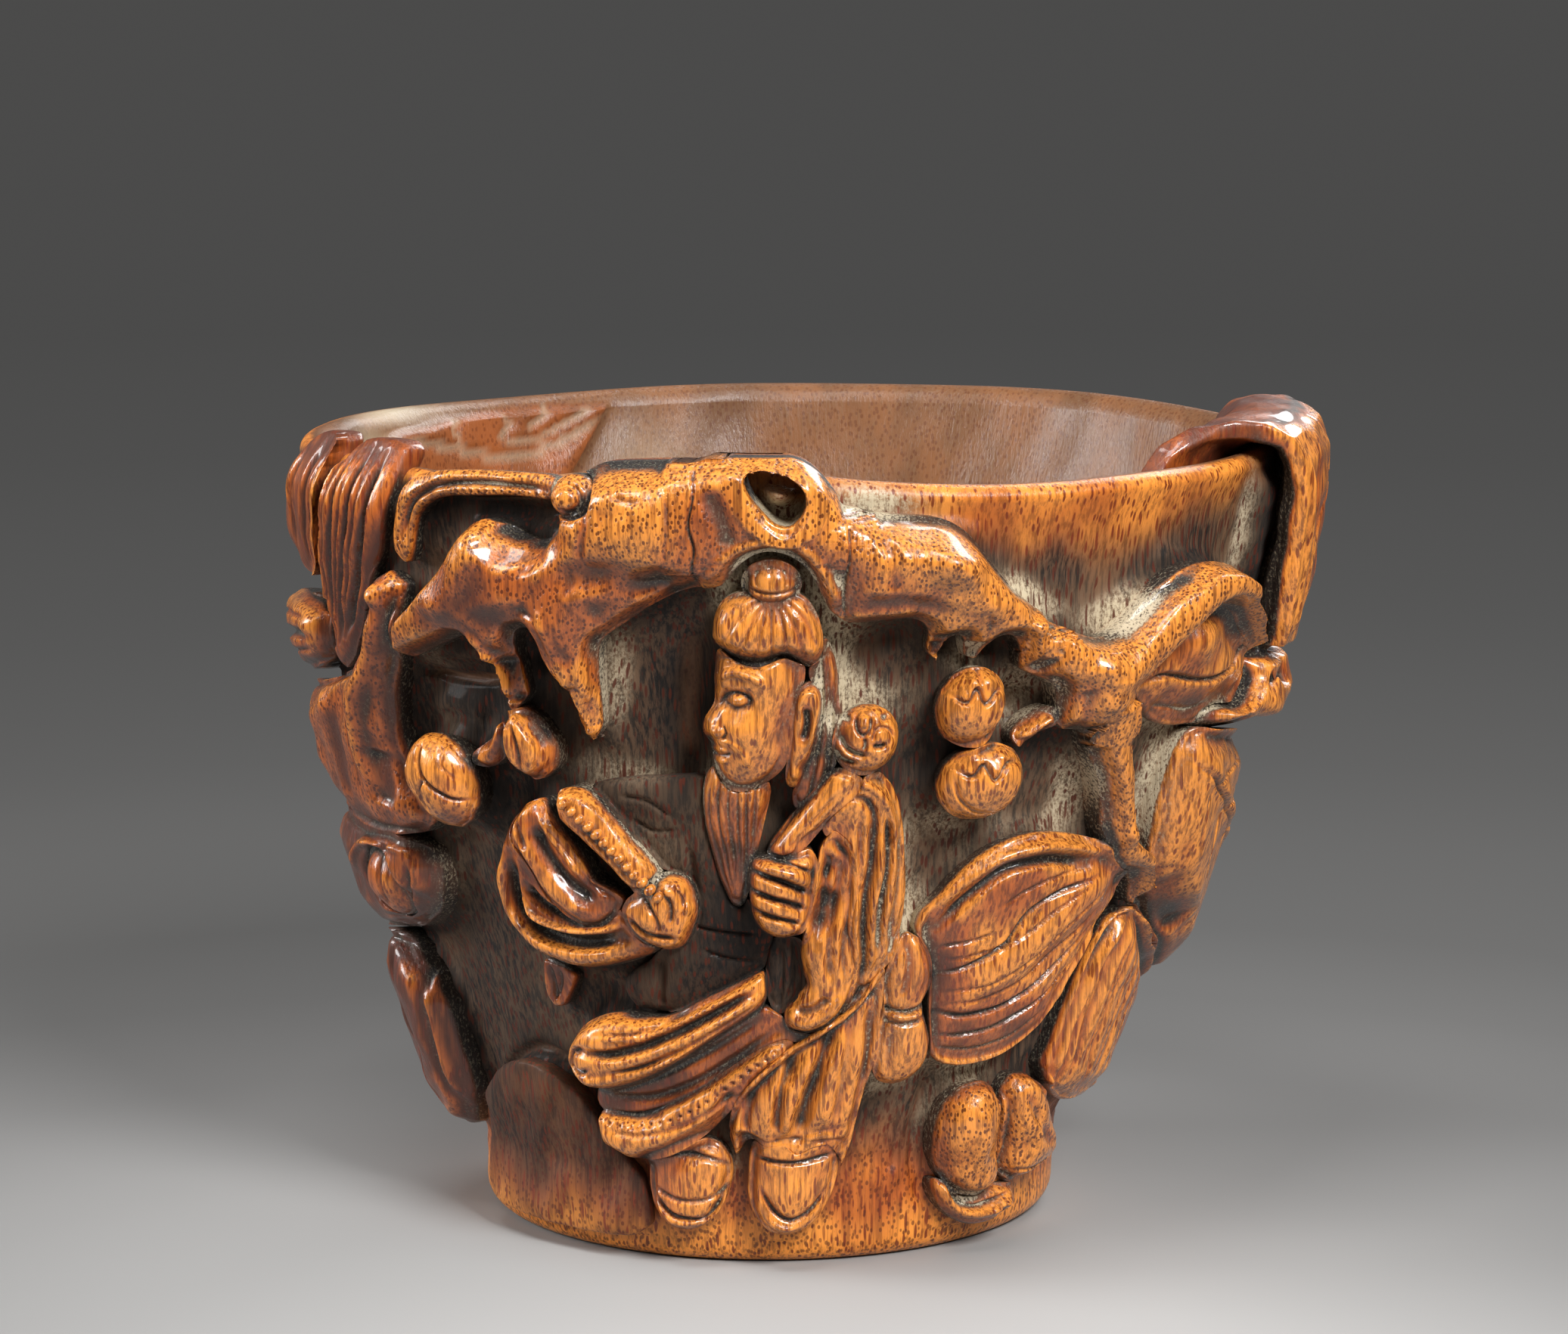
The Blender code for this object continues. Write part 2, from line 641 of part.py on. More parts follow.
TONGUE_LEAF = (
    (44.4, 62.2), (46.6, 64.4), (50.0, 67.0), (53.0, 69.4), (57.0, 69.4), (60.5, 67.6), (64.0, 65.0),
    (68.5, 63.0), (70.6, 60.4), (69.0, 57.6), (64.0, 56.3), (58.0, 56.2), (52.0, 57.2), (47.5, 59.6),
)
LEAF_CURL = (
    (71.8, 61.4), (76.0, 61.6), (84.0, 60.8), (92.0, 60.6), (97.0, 58.0), (96.0, 54.6), (90.0, 53.4),
    (82.0, 53.8), (75.0, 54.4), (68.0, 54.6), (62.2, 55.4), (60.6, 56.6), (63.0, 57.6), (68.0, 57.2),
    (71.4, 58.4),
)
LEAF_LARGE = (
    (50.5, 43.4), (46.0, 44.8), (40.0, 46.2), (34.0, 46.7), (29.0, 45.7), (25.0, 43.6), (21.5, 40.4),
    (19.0, 38.3), (21.0, 35.5), (22.8, 32.5), (23.4, 29.5), (24.3, 27.0), (24.8, 24.8), (26.0, 22.8),
    (30.0, 21.8), (35.0, 21.7), (40.0, 22.5), (44.5, 23.8), (47.3, 26.0), (49.3, 30.0), (51.3, 34.0),
    (54.0, 37.8), (53.0, 41.0),
)
LEAF_NARROW = (
    (59.8, 35.9), (57.5, 35.6), (55.5, 34.0), (53.6, 30.0), (53.0, 26.0), (52.2, 22.0), (51.4, 19.4),
    (53.0, 17.4), (57.0, 16.0), (62.0, 14.4), (68.0, 13.6), (76.0, 13.0), (84.0, 12.6), (89.0, 15.0),
    (90.0, 19.5), (87.0, 24.0), (80.0, 27.6), (72.0, 30.5), (64.5, 34.6),
)
LEAF_EDGE_RIGHT = (
    (61.0, 55.0), (66.0, 55.2), (72.0, 53.6), (80.0, 52.0), (90.0, 51.0), (97.0, 49.0), (100.0, 44.0),
    (101.0, 38.0), (100.0, 32.0), (96.0, 27.0), (91.0, 24.4), (86.0, 25.6), (80.0, 28.6), (73.0, 32.0),
    (67.0, 35.6), (63.0, 39.6), (61.0, 43.4), (59.6, 48.0), (59.6, 53.0),
)
NUT_FRONT = (
    (30.2, 15.4), (31.6, 17.9), (34.6, 19.0), (38.3, 18.8), (40.7, 17.2), (41.8, 14.2), (43.0, 11.2),
    (43.8, 8.6), (42.5, 7.0), (39.3, 6.4), (35.1, 7.2), (32.3, 9.2), (30.5, 12.0),
)
NUT_SIDE = (
    (42.4, 17.5), (44.0, 18.9), (47.5, 18.8), (51.0, 17.1), (55.0, 14.3), (59.0, 11.7), (62.0, 9.7),
    (60.0, 8.3), (55.5, 7.4), (51.0, 6.8), (47.5, 7.4), (45.6, 9.1), (44.4, 11.8), (43.2, 14.8),
)
NUT_HUSK = (
    (31.2, 8.6), (32.6, 6.0), (36.3, 4.0), (41.0, 3.0), (46.0, 3.4), (50.0, 4.8), (51.0, 6.2),
    (46.5, 6.4), (44.0, 6.6), (39.3, 5.7), (35.3, 6.5), (32.6, 8.4),
)

HAIR_CAP = (
    (-7.6, 69.3), (-7.0, 71.4), (-4.8, 72.3), (-1.8, 72.5), (1.0, 72.3), (2.9, 71.0), (3.7, 69.0),
    (3.4, 66.6), (1.6, 66.8), (-0.4, 67.6), (-2.4, 66.6), (-4.4, 66.8), (-6.2, 67.8),
)
FACE = (
    (1.6, 67.6), (-3.0, 69.5), (-6.8, 68.6), (-7.5, 66.4), (-7.8, 64.2), (-7.3, 62.8), (-8.5, 61.0),
    (-9.4, 59.5), (-8.2, 58.4), (-8.0, 57.2), (-7.8, 56.0), (-7.1, 55.2), (-6.8, 54.0), (-5.0, 53.4),
    (-2.6, 54.0), (-0.4, 55.6), (1.0, 58.5), (1.5, 63.0),
)
EAR = (
    (1.1, 62.8), (1.9, 64.4), (3.2, 64.6), (3.9, 63.0), (3.7, 60.2), (3.1, 57.8), (2.3, 55.4),
    (1.5, 53.4), (0.6, 54.2), (0.8, 57.0), (0.9, 60.0),
)
BEARD = (
    (-4.0, 56.4), (-6.6, 57.0), (-8.4, 55.6), (-9.4, 53.0), (-9.2, 49.6), (-8.2, 45.6), (-7.0, 42.4),
    (-5.4, 40.0), (-4.2, 42.4), (-3.2, 46.4), (-2.2, 50.4), (-1.6, 54.0),
)
HAIR_BACK = (
    (3.4, 69.6), (5.2, 67.0), (5.9, 62.0), (6.0, 56.0), (5.6, 52.0), (3.6, 50.2), (1.8, 51.2),
    (1.6, 54.0), (2.6, 58.0), (2.6, 64.0),
)
STAFF_SHAFT = ((7.4, 54.6, 1.4), (4.4, 51.4, 1.3), (1.0, 47.6, 1.2), (-0.6, 45.8, 1.2))
HAND_RIGHT = (
    (-3.2, 46.0), (-1.0, 46.3), (1.8, 46.5), (3.2, 47.2), (4.3, 46.2), (4.2, 43.5), (4.1, 41.0),
    (3.4, 38.8), (1.8, 37.7), (-0.8, 37.8), (-2.6, 39.0), (-3.3, 41.0), (-3.5, 43.5),
)
SLEEVE_RIGHT = (
    (6.4, 49.0), (5.0, 46.8), (4.8, 42.5), (3.9, 38.5), (3.4, 35.3), (4.4, 33.0), (3.6, 31.0),
    (1.8, 29.4), (1.0, 28.2), (3.0, 27.1), (6.0, 27.3), (8.4, 28.6), (10.0, 30.6), (10.7, 33.2),
    (10.1, 36.0), (9.2, 38.6), (9.4, 42.0), (9.0, 45.2), (8.0, 47.8),
)
SLEEVE_LINING = (
    (-0.3, 37.0), (1.6, 37.6), (3.4, 36.8), (4.4, 33.0), (3.4, 30.6), (1.4, 28.8), (0.2, 28.8),
    (-0.8, 30.2), (-1.3, 32.4), (-1.1, 34.8),
)
ROBE_BACK = (
    (6.2, 55.2), (9.0, 55.4), (12.2, 54.4), (14.4, 51.0), (15.8, 46.0), (16.6, 41.0), (16.6, 38.0),
    (15.9, 35.6), (14.9, 33.6), (12.8, 31.4), (10.6, 29.4), (8.4, 28.4), (6.4, 30.0), (6.4, 40.0),
    (6.4, 46.0), (5.0, 49.6), (5.2, 52.6),
)
TORSO = (
    (-26.0, 52.0), (-20.0, 53.6), (-15.0, 54.0), (-10.0, 54.4), (-6.0, 54.0), (-2.0, 52.5), (1.0, 50.5),
    (3.0, 48.0), (0.0, 42.0), (0.2, 36.0), (-2.0, 33.5), (-8.0, 31.0), (-14.0, 28.6), (-18.0, 28.6),
    (-22.0, 29.0), (-22.5, 32.0), (-17.0, 35.0), (-17.0, 42.0), (-20.0, 46.0), (-24.0, 49.0),
)
FOREARM = ((-25.4, 51.0, 1.8), (-22.6, 48.8, 1.8), (-19.6, 46.0, 1.7), (-16.6, 43.2, 1.6), (-14.4, 41.4, 1.5))
HAND_LEFT = (
    (-15.6, 43.8), (-13.6, 44.0), (-11.8, 43.4), (-10.9, 41.6), (-10.8, 39.8), (-11.6, 38.2),
    (-12.4, 36.6), (-14.5, 35.9), (-17.4, 36.4), (-19.6, 38.0), (-20.3, 40.3), (-18.8, 41.4),
    (-17.2, 42.4),
)
SLEEVE_LEFT_FLAP = (
    (-30.6, 51.0), (-29.2, 49.4), (-27.4, 47.0), (-25.4, 44.8), (-24.4, 42.8), (-22.4, 41.8),
    (-20.4, 41.6), (-21.2, 40.0), (-23.0, 38.4), (-25.6, 37.9), (-28.4, 38.9), (-30.8, 40.8),
    (-32.6, 43.4), (-34.4, 46.0), (-35.4, 47.4), (-33.6, 49.6),
)
SLEEVE_LEFT_OUTER = (
    (-31.0, 50.8), (-34.6, 49.4), (-37.2, 47.2), (-38.8, 44.0), (-39.9, 41.0), (-39.6, 38.2),
    (-38.2, 36.0), (-35.4, 34.3), (-32.0, 33.2), (-27.5, 33.0), (-22.0, 33.9), (-17.5, 35.2),
    (-15.0, 36.4), (-18.0, 38.4), (-21.0, 41.0), (-25.0, 44.0), (-29.0, 48.0),
)
SASH_END = (
    (-36.4, 32.8), (-33.6, 32.2), (-31.2, 31.8), (-32.2, 30.2), (-33.8, 28.6), (-35.4, 27.4),
    (-36.8, 28.8), (-36.4, 30.8),
)
POUCH = (
    (16.6, 36.0), (17.8, 37.4), (19.4, 36.6), (21.2, 34.6), (22.3, 32.2), (22.1, 30.4), (21.4, 29.2),
    (22.6, 27.2), (23.9, 24.6), (23.4, 22.2), (21.3, 20.8), (18.2, 20.6), (16.0, 21.6), (15.4, 24.0),
    (15.7, 27.0), (16.2, 29.2), (15.6, 31.2), (15.6, 33.8),
)
SKIRT_ROLL = (
    (-33.0, 22.3), (-31.8, 24.6), (-29.5, 26.2), (-26.5, 27.4), (-22.5, 28.0), (-18.5, 27.7),
    (-15.0, 28.1), (-11.0, 29.8), (-7.0, 31.3), (-3.5, 32.8), (-1.6, 33.6), (-1.2, 31.8), (-2.0, 29.8),
    (-6.0, 27.6), (-11.0, 25.0), (-16.0, 22.6), (-21.0, 20.7), (-26.0, 19.5), (-29.5, 19.6),
    (-32.0, 20.8),
)
SKIRT_HEM = (
    (-30.2, 15.0), (-29.0, 13.2), (-26.5, 12.0), (-22.0, 12.0), (-17.0, 12.9), (-12.0, 14.8),
    (-8.6, 16.8), (-6.0, 19.0), (-2.8, 21.6), (0.5, 23.8), (4.0, 25.8), (0.0, 25.6), (-6.0, 22.8),
    (-12.0, 19.8), (-18.0, 17.7), (-24.0, 16.6), (-28.5, 16.8),
)
SKIRT_MIDDLE = (
    (-29.6, 19.6), (-29.2, 16.6), (-24.0, 15.8), (-18.0, 16.8), (-12.0, 18.5), (-3.0, 22.5), (4.0, 25.6),
    (7.6, 28.0), (4.0, 28.6), (0.6, 29.4), (-1.6, 31.0), (-6.0, 28.5), (-14.0, 24.5), (-22.0, 21.4),
)
SKIRT_RIGHT = (
    (14.8, 34.0), (15.0, 28.0), (14.7, 22.0), (14.0, 18.0), (13.4, 14.0), (12.7, 11.4), (11.4, 13.0),
    (9.3, 14.6), (6.5, 14.4), (4.4, 13.2), (2.4, 14.6), (-0.6, 14.0), (-2.6, 15.0), (-4.4, 15.0),
    (-5.8, 12.4), (-6.8, 14.6), (-6.4, 17.5), (-4.6, 20.0), (-1.6, 22.4), (1.5, 24.4), (4.5, 26.0),
    (7.5, 27.4), (10.5, 29.0), (13.0, 31.0),
)
BOOT_LEFT = (
    (-21.6, 10.0), (-21.2, 7.2), (-19.2, 5.2), (-16.0, 4.3), (-12.2, 4.9), (-9.3, 6.5), (-7.6, 9.0),
    (-7.0, 11.6), (-8.5, 13.6), (-12.0, 14.4), (-15.5, 13.6), (-19.0, 13.0), (-21.2, 12.2),
)
BOOT_RIGHT = (
    (-3.6, 10.0), (-3.3, 7.4), (-1.3, 5.2), (2.0, 4.1), (5.8, 4.6), (9.0, 6.3), (11.0, 8.8),
    (11.6, 11.2), (10.4, 14.0), (7.5, 15.4), (3.5, 15.0), (0.0, 14.8), (-3.0, 14.4),
)

RIM_RIBBON = (
    (-24.0, 84.4), (-30.0, 84.7), (-36.0, 84.5), (-41.0, 84.0), (-44.6, 82.6), (-46.8, 79.6),
    (-47.8, 76.4), (-46.4, 74.4), (-45.2, 76.2), (-44.2, 79.0), (-42.0, 81.0), (-39.5, 82.0),
    (-36.0, 82.4), (-30.0, 82.8), (-24.2, 82.6),
)
LEAF_LEFT_RIM = (
    (-48.2, 83.4), (-52.0, 84.0), (-57.0, 83.4), (-60.6, 80.5), (-62.6, 76.0), (-64.6, 70.0),
    (-66.2, 64.6), (-66.0, 61.4), (-63.5, 61.8), (-60.0, 64.0), (-57.5, 66.8), (-54.8, 70.0),
    (-52.4, 73.0), (-50.5, 76.4), (-49.0, 80.0),
)
LEAF_LEFT_SIDE = (
    (-49.6, 73.2), (-47.4, 72.2), (-48.4, 68.8), (-50.2, 65.4), (-52.8, 60.8), (-54.4, 56.8),
    (-54.8, 53.2), (-53.8, 50.2), (-51.9, 48.2), (-52.0, 46.2), (-55.0, 45.0), (-62.0, 44.3),
    (-70.0, 44.2), (-78.0, 44.6), (-88.0, 45.2), (-97.0, 46.6), (-102.0, 49.5), (-100.0, 53.6),
    (-92.0, 56.2), (-82.0, 57.4), (-74.0, 58.6), (-66.0, 60.2), (-59.6, 62.2), (-55.8, 65.6),
    (-53.0, 69.2), (-51.4, 72.2),
)
LEAF_LEFT_BACK = (
    (-68.4, 66.4), (-74.0, 67.4), (-82.0, 67.2), (-92.0, 66.0), (-100.0, 63.2), (-102.0, 60.2),
    (-97.0, 57.8), (-86.0, 58.6), (-76.0, 60.4), (-69.2, 62.4),
)
RIM_LOBE_LEFT = (
    (-62.4, 83.2), (-67.0, 83.6), (-73.0, 82.0), (-78.0, 78.4), (-78.0, 74.0), (-72.0, 71.0),
    (-66.6, 71.4), (-65.2, 75.0), (-63.6, 79.4),
)
HUSK_LEFT = (
    (-55.5, 43.2), (-58.0, 44.0), (-64.0, 43.9), (-72.0, 43.8), (-82.0, 43.8), (-92.0, 42.4),
    (-97.0, 38.4), (-95.0, 33.6), (-86.0, 31.4), (-76.0, 31.8), (-70.0, 32.6), (-64.0, 33.6),
    (-59.0, 35.4), (-55.4, 38.0), (-54.4, 41.0),
)
STEM_LEFT = ((-78.6, 25.4, 5.4), (-77.4, 21.4, 5.6), (-76.4, 17.6, 5.2), (-76.0, 14.0, 4.6))
MOUND = (
    (-64.4, 10.0), (-62.4, 14.4), (-57.0, 17.2), (-52.0, 19.2), (-47.0, 20.3), (-42.0, 20.0),
    (-38.0, 19.0), (-34.0, 17.0), (-31.0, 14.5), (-28.0, 11.6), (-24.4, 9.4), (-22.6, 6.6), (-22.6, 3.8),
    (-27.0, 2.9), (-36.0, 2.8), (-46.0, 2.8), (-56.0, 2.9), (-63.0, 3.4), (-65.6, 6.0),
)

# Behind, the same tree carried round
BACK_BOUGH_RIGHT = (
    (112.0, 63.0, 2.6), (122.0, 66.5, 3.4), (132.0, 66.0, 3.7), (142.0, 62.5, 3.6), (152.0, 60.5, 3.4),
)
BACK_BOUGH_LEFT = (
    (-108.0, 71.0, 2.4), (-118.0, 67.5, 3.0), (-128.0, 66.5, 3.4), (-138.0, 68.5, 3.6), (-148.0, 68.0, 3.4),
)
BACK_LEAF_RIGHT = (
    (160.0, 60.0), (166.0, 62.6), (174.0, 60.4), (182.0, 54.0), (186.0, 46.0), (186.6, 39.6), (179.0, 42.0),
    (170.0, 47.0), (163.0, 53.0),
)
BACK_LEAF_LEFT = (
    (-152.0, 62.0), (-145.0, 61.0), (-138.0, 55.6), (-132.6, 47.6), (-130.6, 39.4), (-138.0, 41.0),
    (-146.0, 46.0), (-152.0, 53.0),
)


def build_tree():
    """Bough, twigs and fruits."""
    hollow(KNOT_HOLE)
    fruit("trunk_knob", TRUNK_KNOB, TREE_RELIEF + 0.4 * MM, "bamboo_worn")
    carve("trunk_crown", TRUNK_CROWN, 0.92 * TREE_RELIEF, "bamboo_dim", 2.4, 2.4 * EDGE_RELIEF,
          step=FINE_STEP * 1.2)
    carve("trunk_left", TRUNK_LEFT, TREE_RELIEF, "bamboo_worn", 4.4, 1.5 * EDGE_RELIEF)
    carve("trunk_right", TRUNK_RIGHT, TREE_RELIEF, "bamboo_worn", 4.4, 1.5 * EDGE_RELIEF, step=FINE_STEP * 1.2)
    carve("bough_right", BOUGH_RIGHT, TREE_RELIEF, "bamboo_worn", 3.2, 1.5 * EDGE_RELIEF)
    carve("stem_right", STEM_RIGHT, 0.9 * TREE_RELIEF, "bamboo_worn", 2.2, 1.3 * EDGE_RELIEF)
    fruit("fruit_right_upper", FRUIT_RIGHT_UPPER, FRUIT_RELIEF, "bamboo_worn")
    fruit("fruit_right_lower", FRUIT_RIGHT_LOWER, FRUIT_RELIEF + 0.6 * MM, "bamboo_worn")
    carve("twig_right", strip(TWIG_RIGHT), 0.55 * TREE_RELIEF, "bamboo_dim", 0.9, step=FINE_STEP)
    fruit("fruit_left", FRUIT_LEFT, FRUIT_RELIEF + 0.8 * MM, "bamboo_worn")
    carve("pod_left", POD_LEFT, FRUIT_RELIEF, "bamboo_worn", 3.0, step=FINE_STEP)
    carve("twig_left", strip(TWIG_LEFT), 0.5 * TREE_RELIEF, "bamboo_dim", 0.9, step=FINE_STEP)


def build_head():
    """Head, hair and beard."""
    fruit("topknot", TOPKNOT, SKIN_RELIEF, "bamboo_worn")
    carve("hair_cap", HAIR_CAP, SKIN_RELIEF + 0.3 * MM, "bamboo_worn", 2.4, 0.7 * SKIN_RELIEF, step=FINE_STEP)
    carve("ear", EAR, 0.94 * SKIN_RELIEF, "bamboo_worn", 1.4, 0.6 * SKIN_RELIEF, step=FINE_STEP)
    carve("face", FACE, 0.94 * SKIN_RELIEF, "bamboo_worn", 3.8, 0.34 * SKIN_RELIEF, step=FINE_STEP)
    carve("beard", BEARD, 0.66 * SKIN_RELIEF, "bamboo_worn", 2.4, lean=(0.0, 0.06), step=FINE_STEP)
    carve("hair_back", HAIR_BACK, 0.62 * SKIN_RELIEF, "bamboo_dim", 1.6, step=FINE_STEP)


def build_arms():
    """Staff, hands and sleeves."""
    carve("hand_right", HAND_RIGHT, SKIN_RELIEF + 0.8 * MM, "bamboo_worn", 2.4, 0.55 * SKIN_RELIEF,
          step=FINE_STEP)
    carve("sleeve_right", SLEEVE_RIGHT, ROBE_RELIEF + 0.9 * MM, "bamboo_worn", 2.0, 0.6 * ROBE_RELIEF,
          lean=(0.0, -0.03))
    fruit("staff_head", STAFF_HEAD, SKIN_RELIEF, "bamboo_worn")
    carve("staff_shaft", strip(STAFF_SHAFT), 0.85 * SKIN_RELIEF, "bamboo_worn", 1.3, step=FINE_STEP)
    carve("sleeve_lining", SLEEVE_LINING, LOW_RELIEF, "bamboo_wall", 1.6, step=FINE_STEP)
    carve("hand_left", HAND_LEFT, SKIN_RELIEF, "bamboo_worn", 2.4, 0.5 * SKIN_RELIEF, step=FINE_STEP)
    carve("forearm", strip(FOREARM), SKIN_RELIEF, "bamboo_worn", 1.5, 0.55 * SKIN_RELIEF, step=FINE_STEP)
    carve("sleeve_left_flap", SLEEVE_LEFT_FLAP, ROBE_RELIEF + 0.4 * MM, "bamboo_worn", 2.2, 0.55 * ROBE_RELIEF)
    carve("sleeve_left_outer", SLEEVE_LEFT_OUTER, 0.86 * ROBE_RELIEF, "bamboo_worn", 2.0)
    carve("sash_end", SASH_END, LOW_RELIEF, "bamboo_dim", 1.5, step=FINE_STEP)


def build_robe():
    """Robe, skirt and boots."""
    carve("pouch", POUCH, 0.9 * ROBE_RELIEF, "bamboo_worn", 2.2, 0.5 * ROBE_RELIEF, step=FINE_STEP * 1.2)
    carve("skirt_right", SKIRT_RIGHT, ROBE_RELIEF, "bamboo_worn", 2.4, lean=(-0.02, -0.05))
    carve("robe_back", ROBE_BACK, ROBE_RELIEF, "bamboo_worn", 3.0)
    carve("skirt_roll", SKIRT_ROLL, ROBE_RELIEF + 0.9 * MM, "bamboo_worn", 2.4, 0.5 * ROBE_RELIEF)
    carve("skirt_hem", SKIRT_HEM, ROBE_RELIEF + 0.3 * MM, "bamboo_worn", 1.6, 0.5 * ROBE_RELIEF)
    carve("skirt_middle", SKIRT_MIDDLE, 0.66 * ROBE_RELIEF, "bamboo_dim", 1.4)
    carve("torso", TORSO, LOW_RELIEF, "bamboo_wall", 2.0, 0.5 * LOW_RELIEF)
    carve("boot_right", BOOT_RIGHT, ROBE_RELIEF + 0.3 * MM, "bamboo_worn", 3.4, step=FINE_STEP * 1.2)
    carve("boot_left", BOOT_LEFT, ROBE_RELIEF + 0.3 * MM, "bamboo_worn", 3.4, step=FINE_STEP * 1.2)


def build_leaves():
    """Leaves, nuts and ground."""
    drape("leaf_over_rim", "bamboo_dim")
    carve("leaf_curl", LEAF_CURL, 2.0 * LEAF_RELIEF, "bamboo_dim", 3.2)
    carve("tongue_leaf", TONGUE_LEAF, LEAF_RELIEF, "bamboo_worn", 2.8, lean=(0.04, -0.03))
    carve("nut_front", NUT_FRONT, FRUIT_RELIEF - 0.6 * MM, "bamboo_worn", 4.4)
    carve("nut_side", NUT_SIDE, FRUIT_RELIEF - 0.6 * MM, "bamboo_worn", 4.4)
    carve("nut_husk", NUT_HUSK, 0.8 * LEAF_RELIEF, "bamboo_dim", 1.4, step=FINE_STEP)
    carve("leaf_large", LEAF_LARGE, LEAF_RELIEF, "bamboo_worn", 3.4, lean=(0.06, 0.02))
    carve("leaf_narrow", LEAF_NARROW, 1.35 * LEAF_RELIEF, "bamboo_worn", 2.8, step=OUTLINE_STEP * 1.2)
    carve("leaf_edge_right", LEAF_EDGE_RIGHT, 1.75 * LEAF_RELIEF, "bamboo_worn", 4.0, lean=(0.0, -0.1),
          step=OUTLINE_STEP * 1.3)
    carve("rim_ribbon", RIM_RIBBON, 0.7 * LEAF_RELIEF, "bamboo_worn", 1.2)
    carve("leaf_left_rim", LEAF_LEFT_RIM, 0.8 * LEAF_RELIEF, "bamboo_dim", 2.4)
    carve("leaf_left_side", LEAF_LEFT_SIDE, 1.35 * LEAF_RELIEF, "bamboo_worn", 3.0, step=OUTLINE_STEP * 1.2)
    carve("leaf_left_back", LEAF_LEFT_BACK, 1.15 * LEAF_RELIEF, "bamboo_worn", 2.4, step=OUTLINE_STEP * 1.3)
    carve("rim_lobe_left", RIM_LOBE_LEFT, 0.6 * LEAF_RELIEF, "bamboo_dim", 2.4)
    fruit("nut_left", NUT_LEFT, FRUIT_RELIEF + 1.0 * MM, "bamboo_worn")
    carve("husk_left", HUSK_LEFT, 1.4 * LEAF_RELIEF, "bamboo_dim", 3.0, step=OUTLINE_STEP * 1.2)
    carve("stem_left", strip(STEM_LEFT), 1.35 * LEAF_RELIEF, "bamboo_dim", 3.0, step=OUTLINE_STEP * 1.3)
    carve("mound", MOUND, 1.2 * LOW_RELIEF, "bamboo_wall", 4.0, lip=0.8 * EDGE_RELIEF, step=OUTLINE_STEP * 1.3)


def build_back():
    """The side away from the figure: the tree carried on round."""
    carve("back_bough_right", strip(BACK_BOUGH_RIGHT), 0.8 * TREE_RELIEF, "bamboo_worn", 3.4)
    carve("back_bough_left", strip(BACK_BOUGH_LEFT), 0.8 * TREE_RELIEF, "bamboo_worn", 3.4)
    carve("back_leaf_right", BACK_LEAF_RIGHT, LEAF_RELIEF, "bamboo_worn", 3.0, step=OUTLINE_STEP * 1.3)
    carve("back_leaf_left", BACK_LEAF_LEFT, LEAF_RELIEF, "bamboo_worn", 3.0, step=OUTLINE_STEP * 1.3)


def main():
    """Build the cup, then the carving from the front layer back."""
    clear_scene()
    build_wall()
    build_tree()
    build_arms()
    build_head()
    build_robe()
    build_leaves()
    build_back()


main()
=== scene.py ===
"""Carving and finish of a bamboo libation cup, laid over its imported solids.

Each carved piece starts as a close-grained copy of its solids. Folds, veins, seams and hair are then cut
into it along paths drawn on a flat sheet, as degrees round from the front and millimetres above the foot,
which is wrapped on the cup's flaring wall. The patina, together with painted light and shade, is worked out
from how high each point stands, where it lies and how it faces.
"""

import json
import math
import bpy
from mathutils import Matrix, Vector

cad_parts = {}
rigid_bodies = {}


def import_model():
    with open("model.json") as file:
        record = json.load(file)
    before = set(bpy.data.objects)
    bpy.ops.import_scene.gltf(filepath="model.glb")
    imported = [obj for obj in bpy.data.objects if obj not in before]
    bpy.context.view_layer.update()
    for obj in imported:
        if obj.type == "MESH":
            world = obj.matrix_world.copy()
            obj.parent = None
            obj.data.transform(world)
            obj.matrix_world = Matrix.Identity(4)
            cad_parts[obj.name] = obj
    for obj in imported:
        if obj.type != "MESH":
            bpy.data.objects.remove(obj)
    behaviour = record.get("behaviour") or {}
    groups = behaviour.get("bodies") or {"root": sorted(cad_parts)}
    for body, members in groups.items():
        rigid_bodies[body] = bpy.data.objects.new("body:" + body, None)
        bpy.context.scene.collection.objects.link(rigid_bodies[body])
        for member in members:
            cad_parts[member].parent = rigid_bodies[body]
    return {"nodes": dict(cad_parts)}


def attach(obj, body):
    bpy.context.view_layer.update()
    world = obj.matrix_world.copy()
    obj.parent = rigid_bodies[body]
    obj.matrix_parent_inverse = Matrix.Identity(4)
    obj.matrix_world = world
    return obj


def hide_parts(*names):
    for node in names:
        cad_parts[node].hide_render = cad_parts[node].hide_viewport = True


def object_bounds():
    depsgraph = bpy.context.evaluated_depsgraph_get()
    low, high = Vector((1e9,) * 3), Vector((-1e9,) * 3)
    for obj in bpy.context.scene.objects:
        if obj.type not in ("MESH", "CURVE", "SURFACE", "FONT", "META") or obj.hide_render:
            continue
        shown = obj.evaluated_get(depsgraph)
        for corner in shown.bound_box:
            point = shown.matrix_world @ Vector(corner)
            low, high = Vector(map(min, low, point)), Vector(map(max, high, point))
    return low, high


bl_info = {
    "name": "Carved Libation Cup",
    "version": (1, 0, 0),
    "blender": (4, 5, 0),
    "location": "View3D > Sidebar > Libation Cup",
    "description": "Carves and finishes a bamboo libation cup over its solids",
    "category": "Object",
}

import bmesh
import bpy
import numpy as np
from bpy.props import FloatProperty, FloatVectorProperty, IntProperty, PointerProperty
from bpy.types import Operator, Panel, PropertyGroup
from mathutils import Euler, Vector

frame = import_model()
CAD_BOX = [list(corner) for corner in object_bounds()]
MM = 0.001

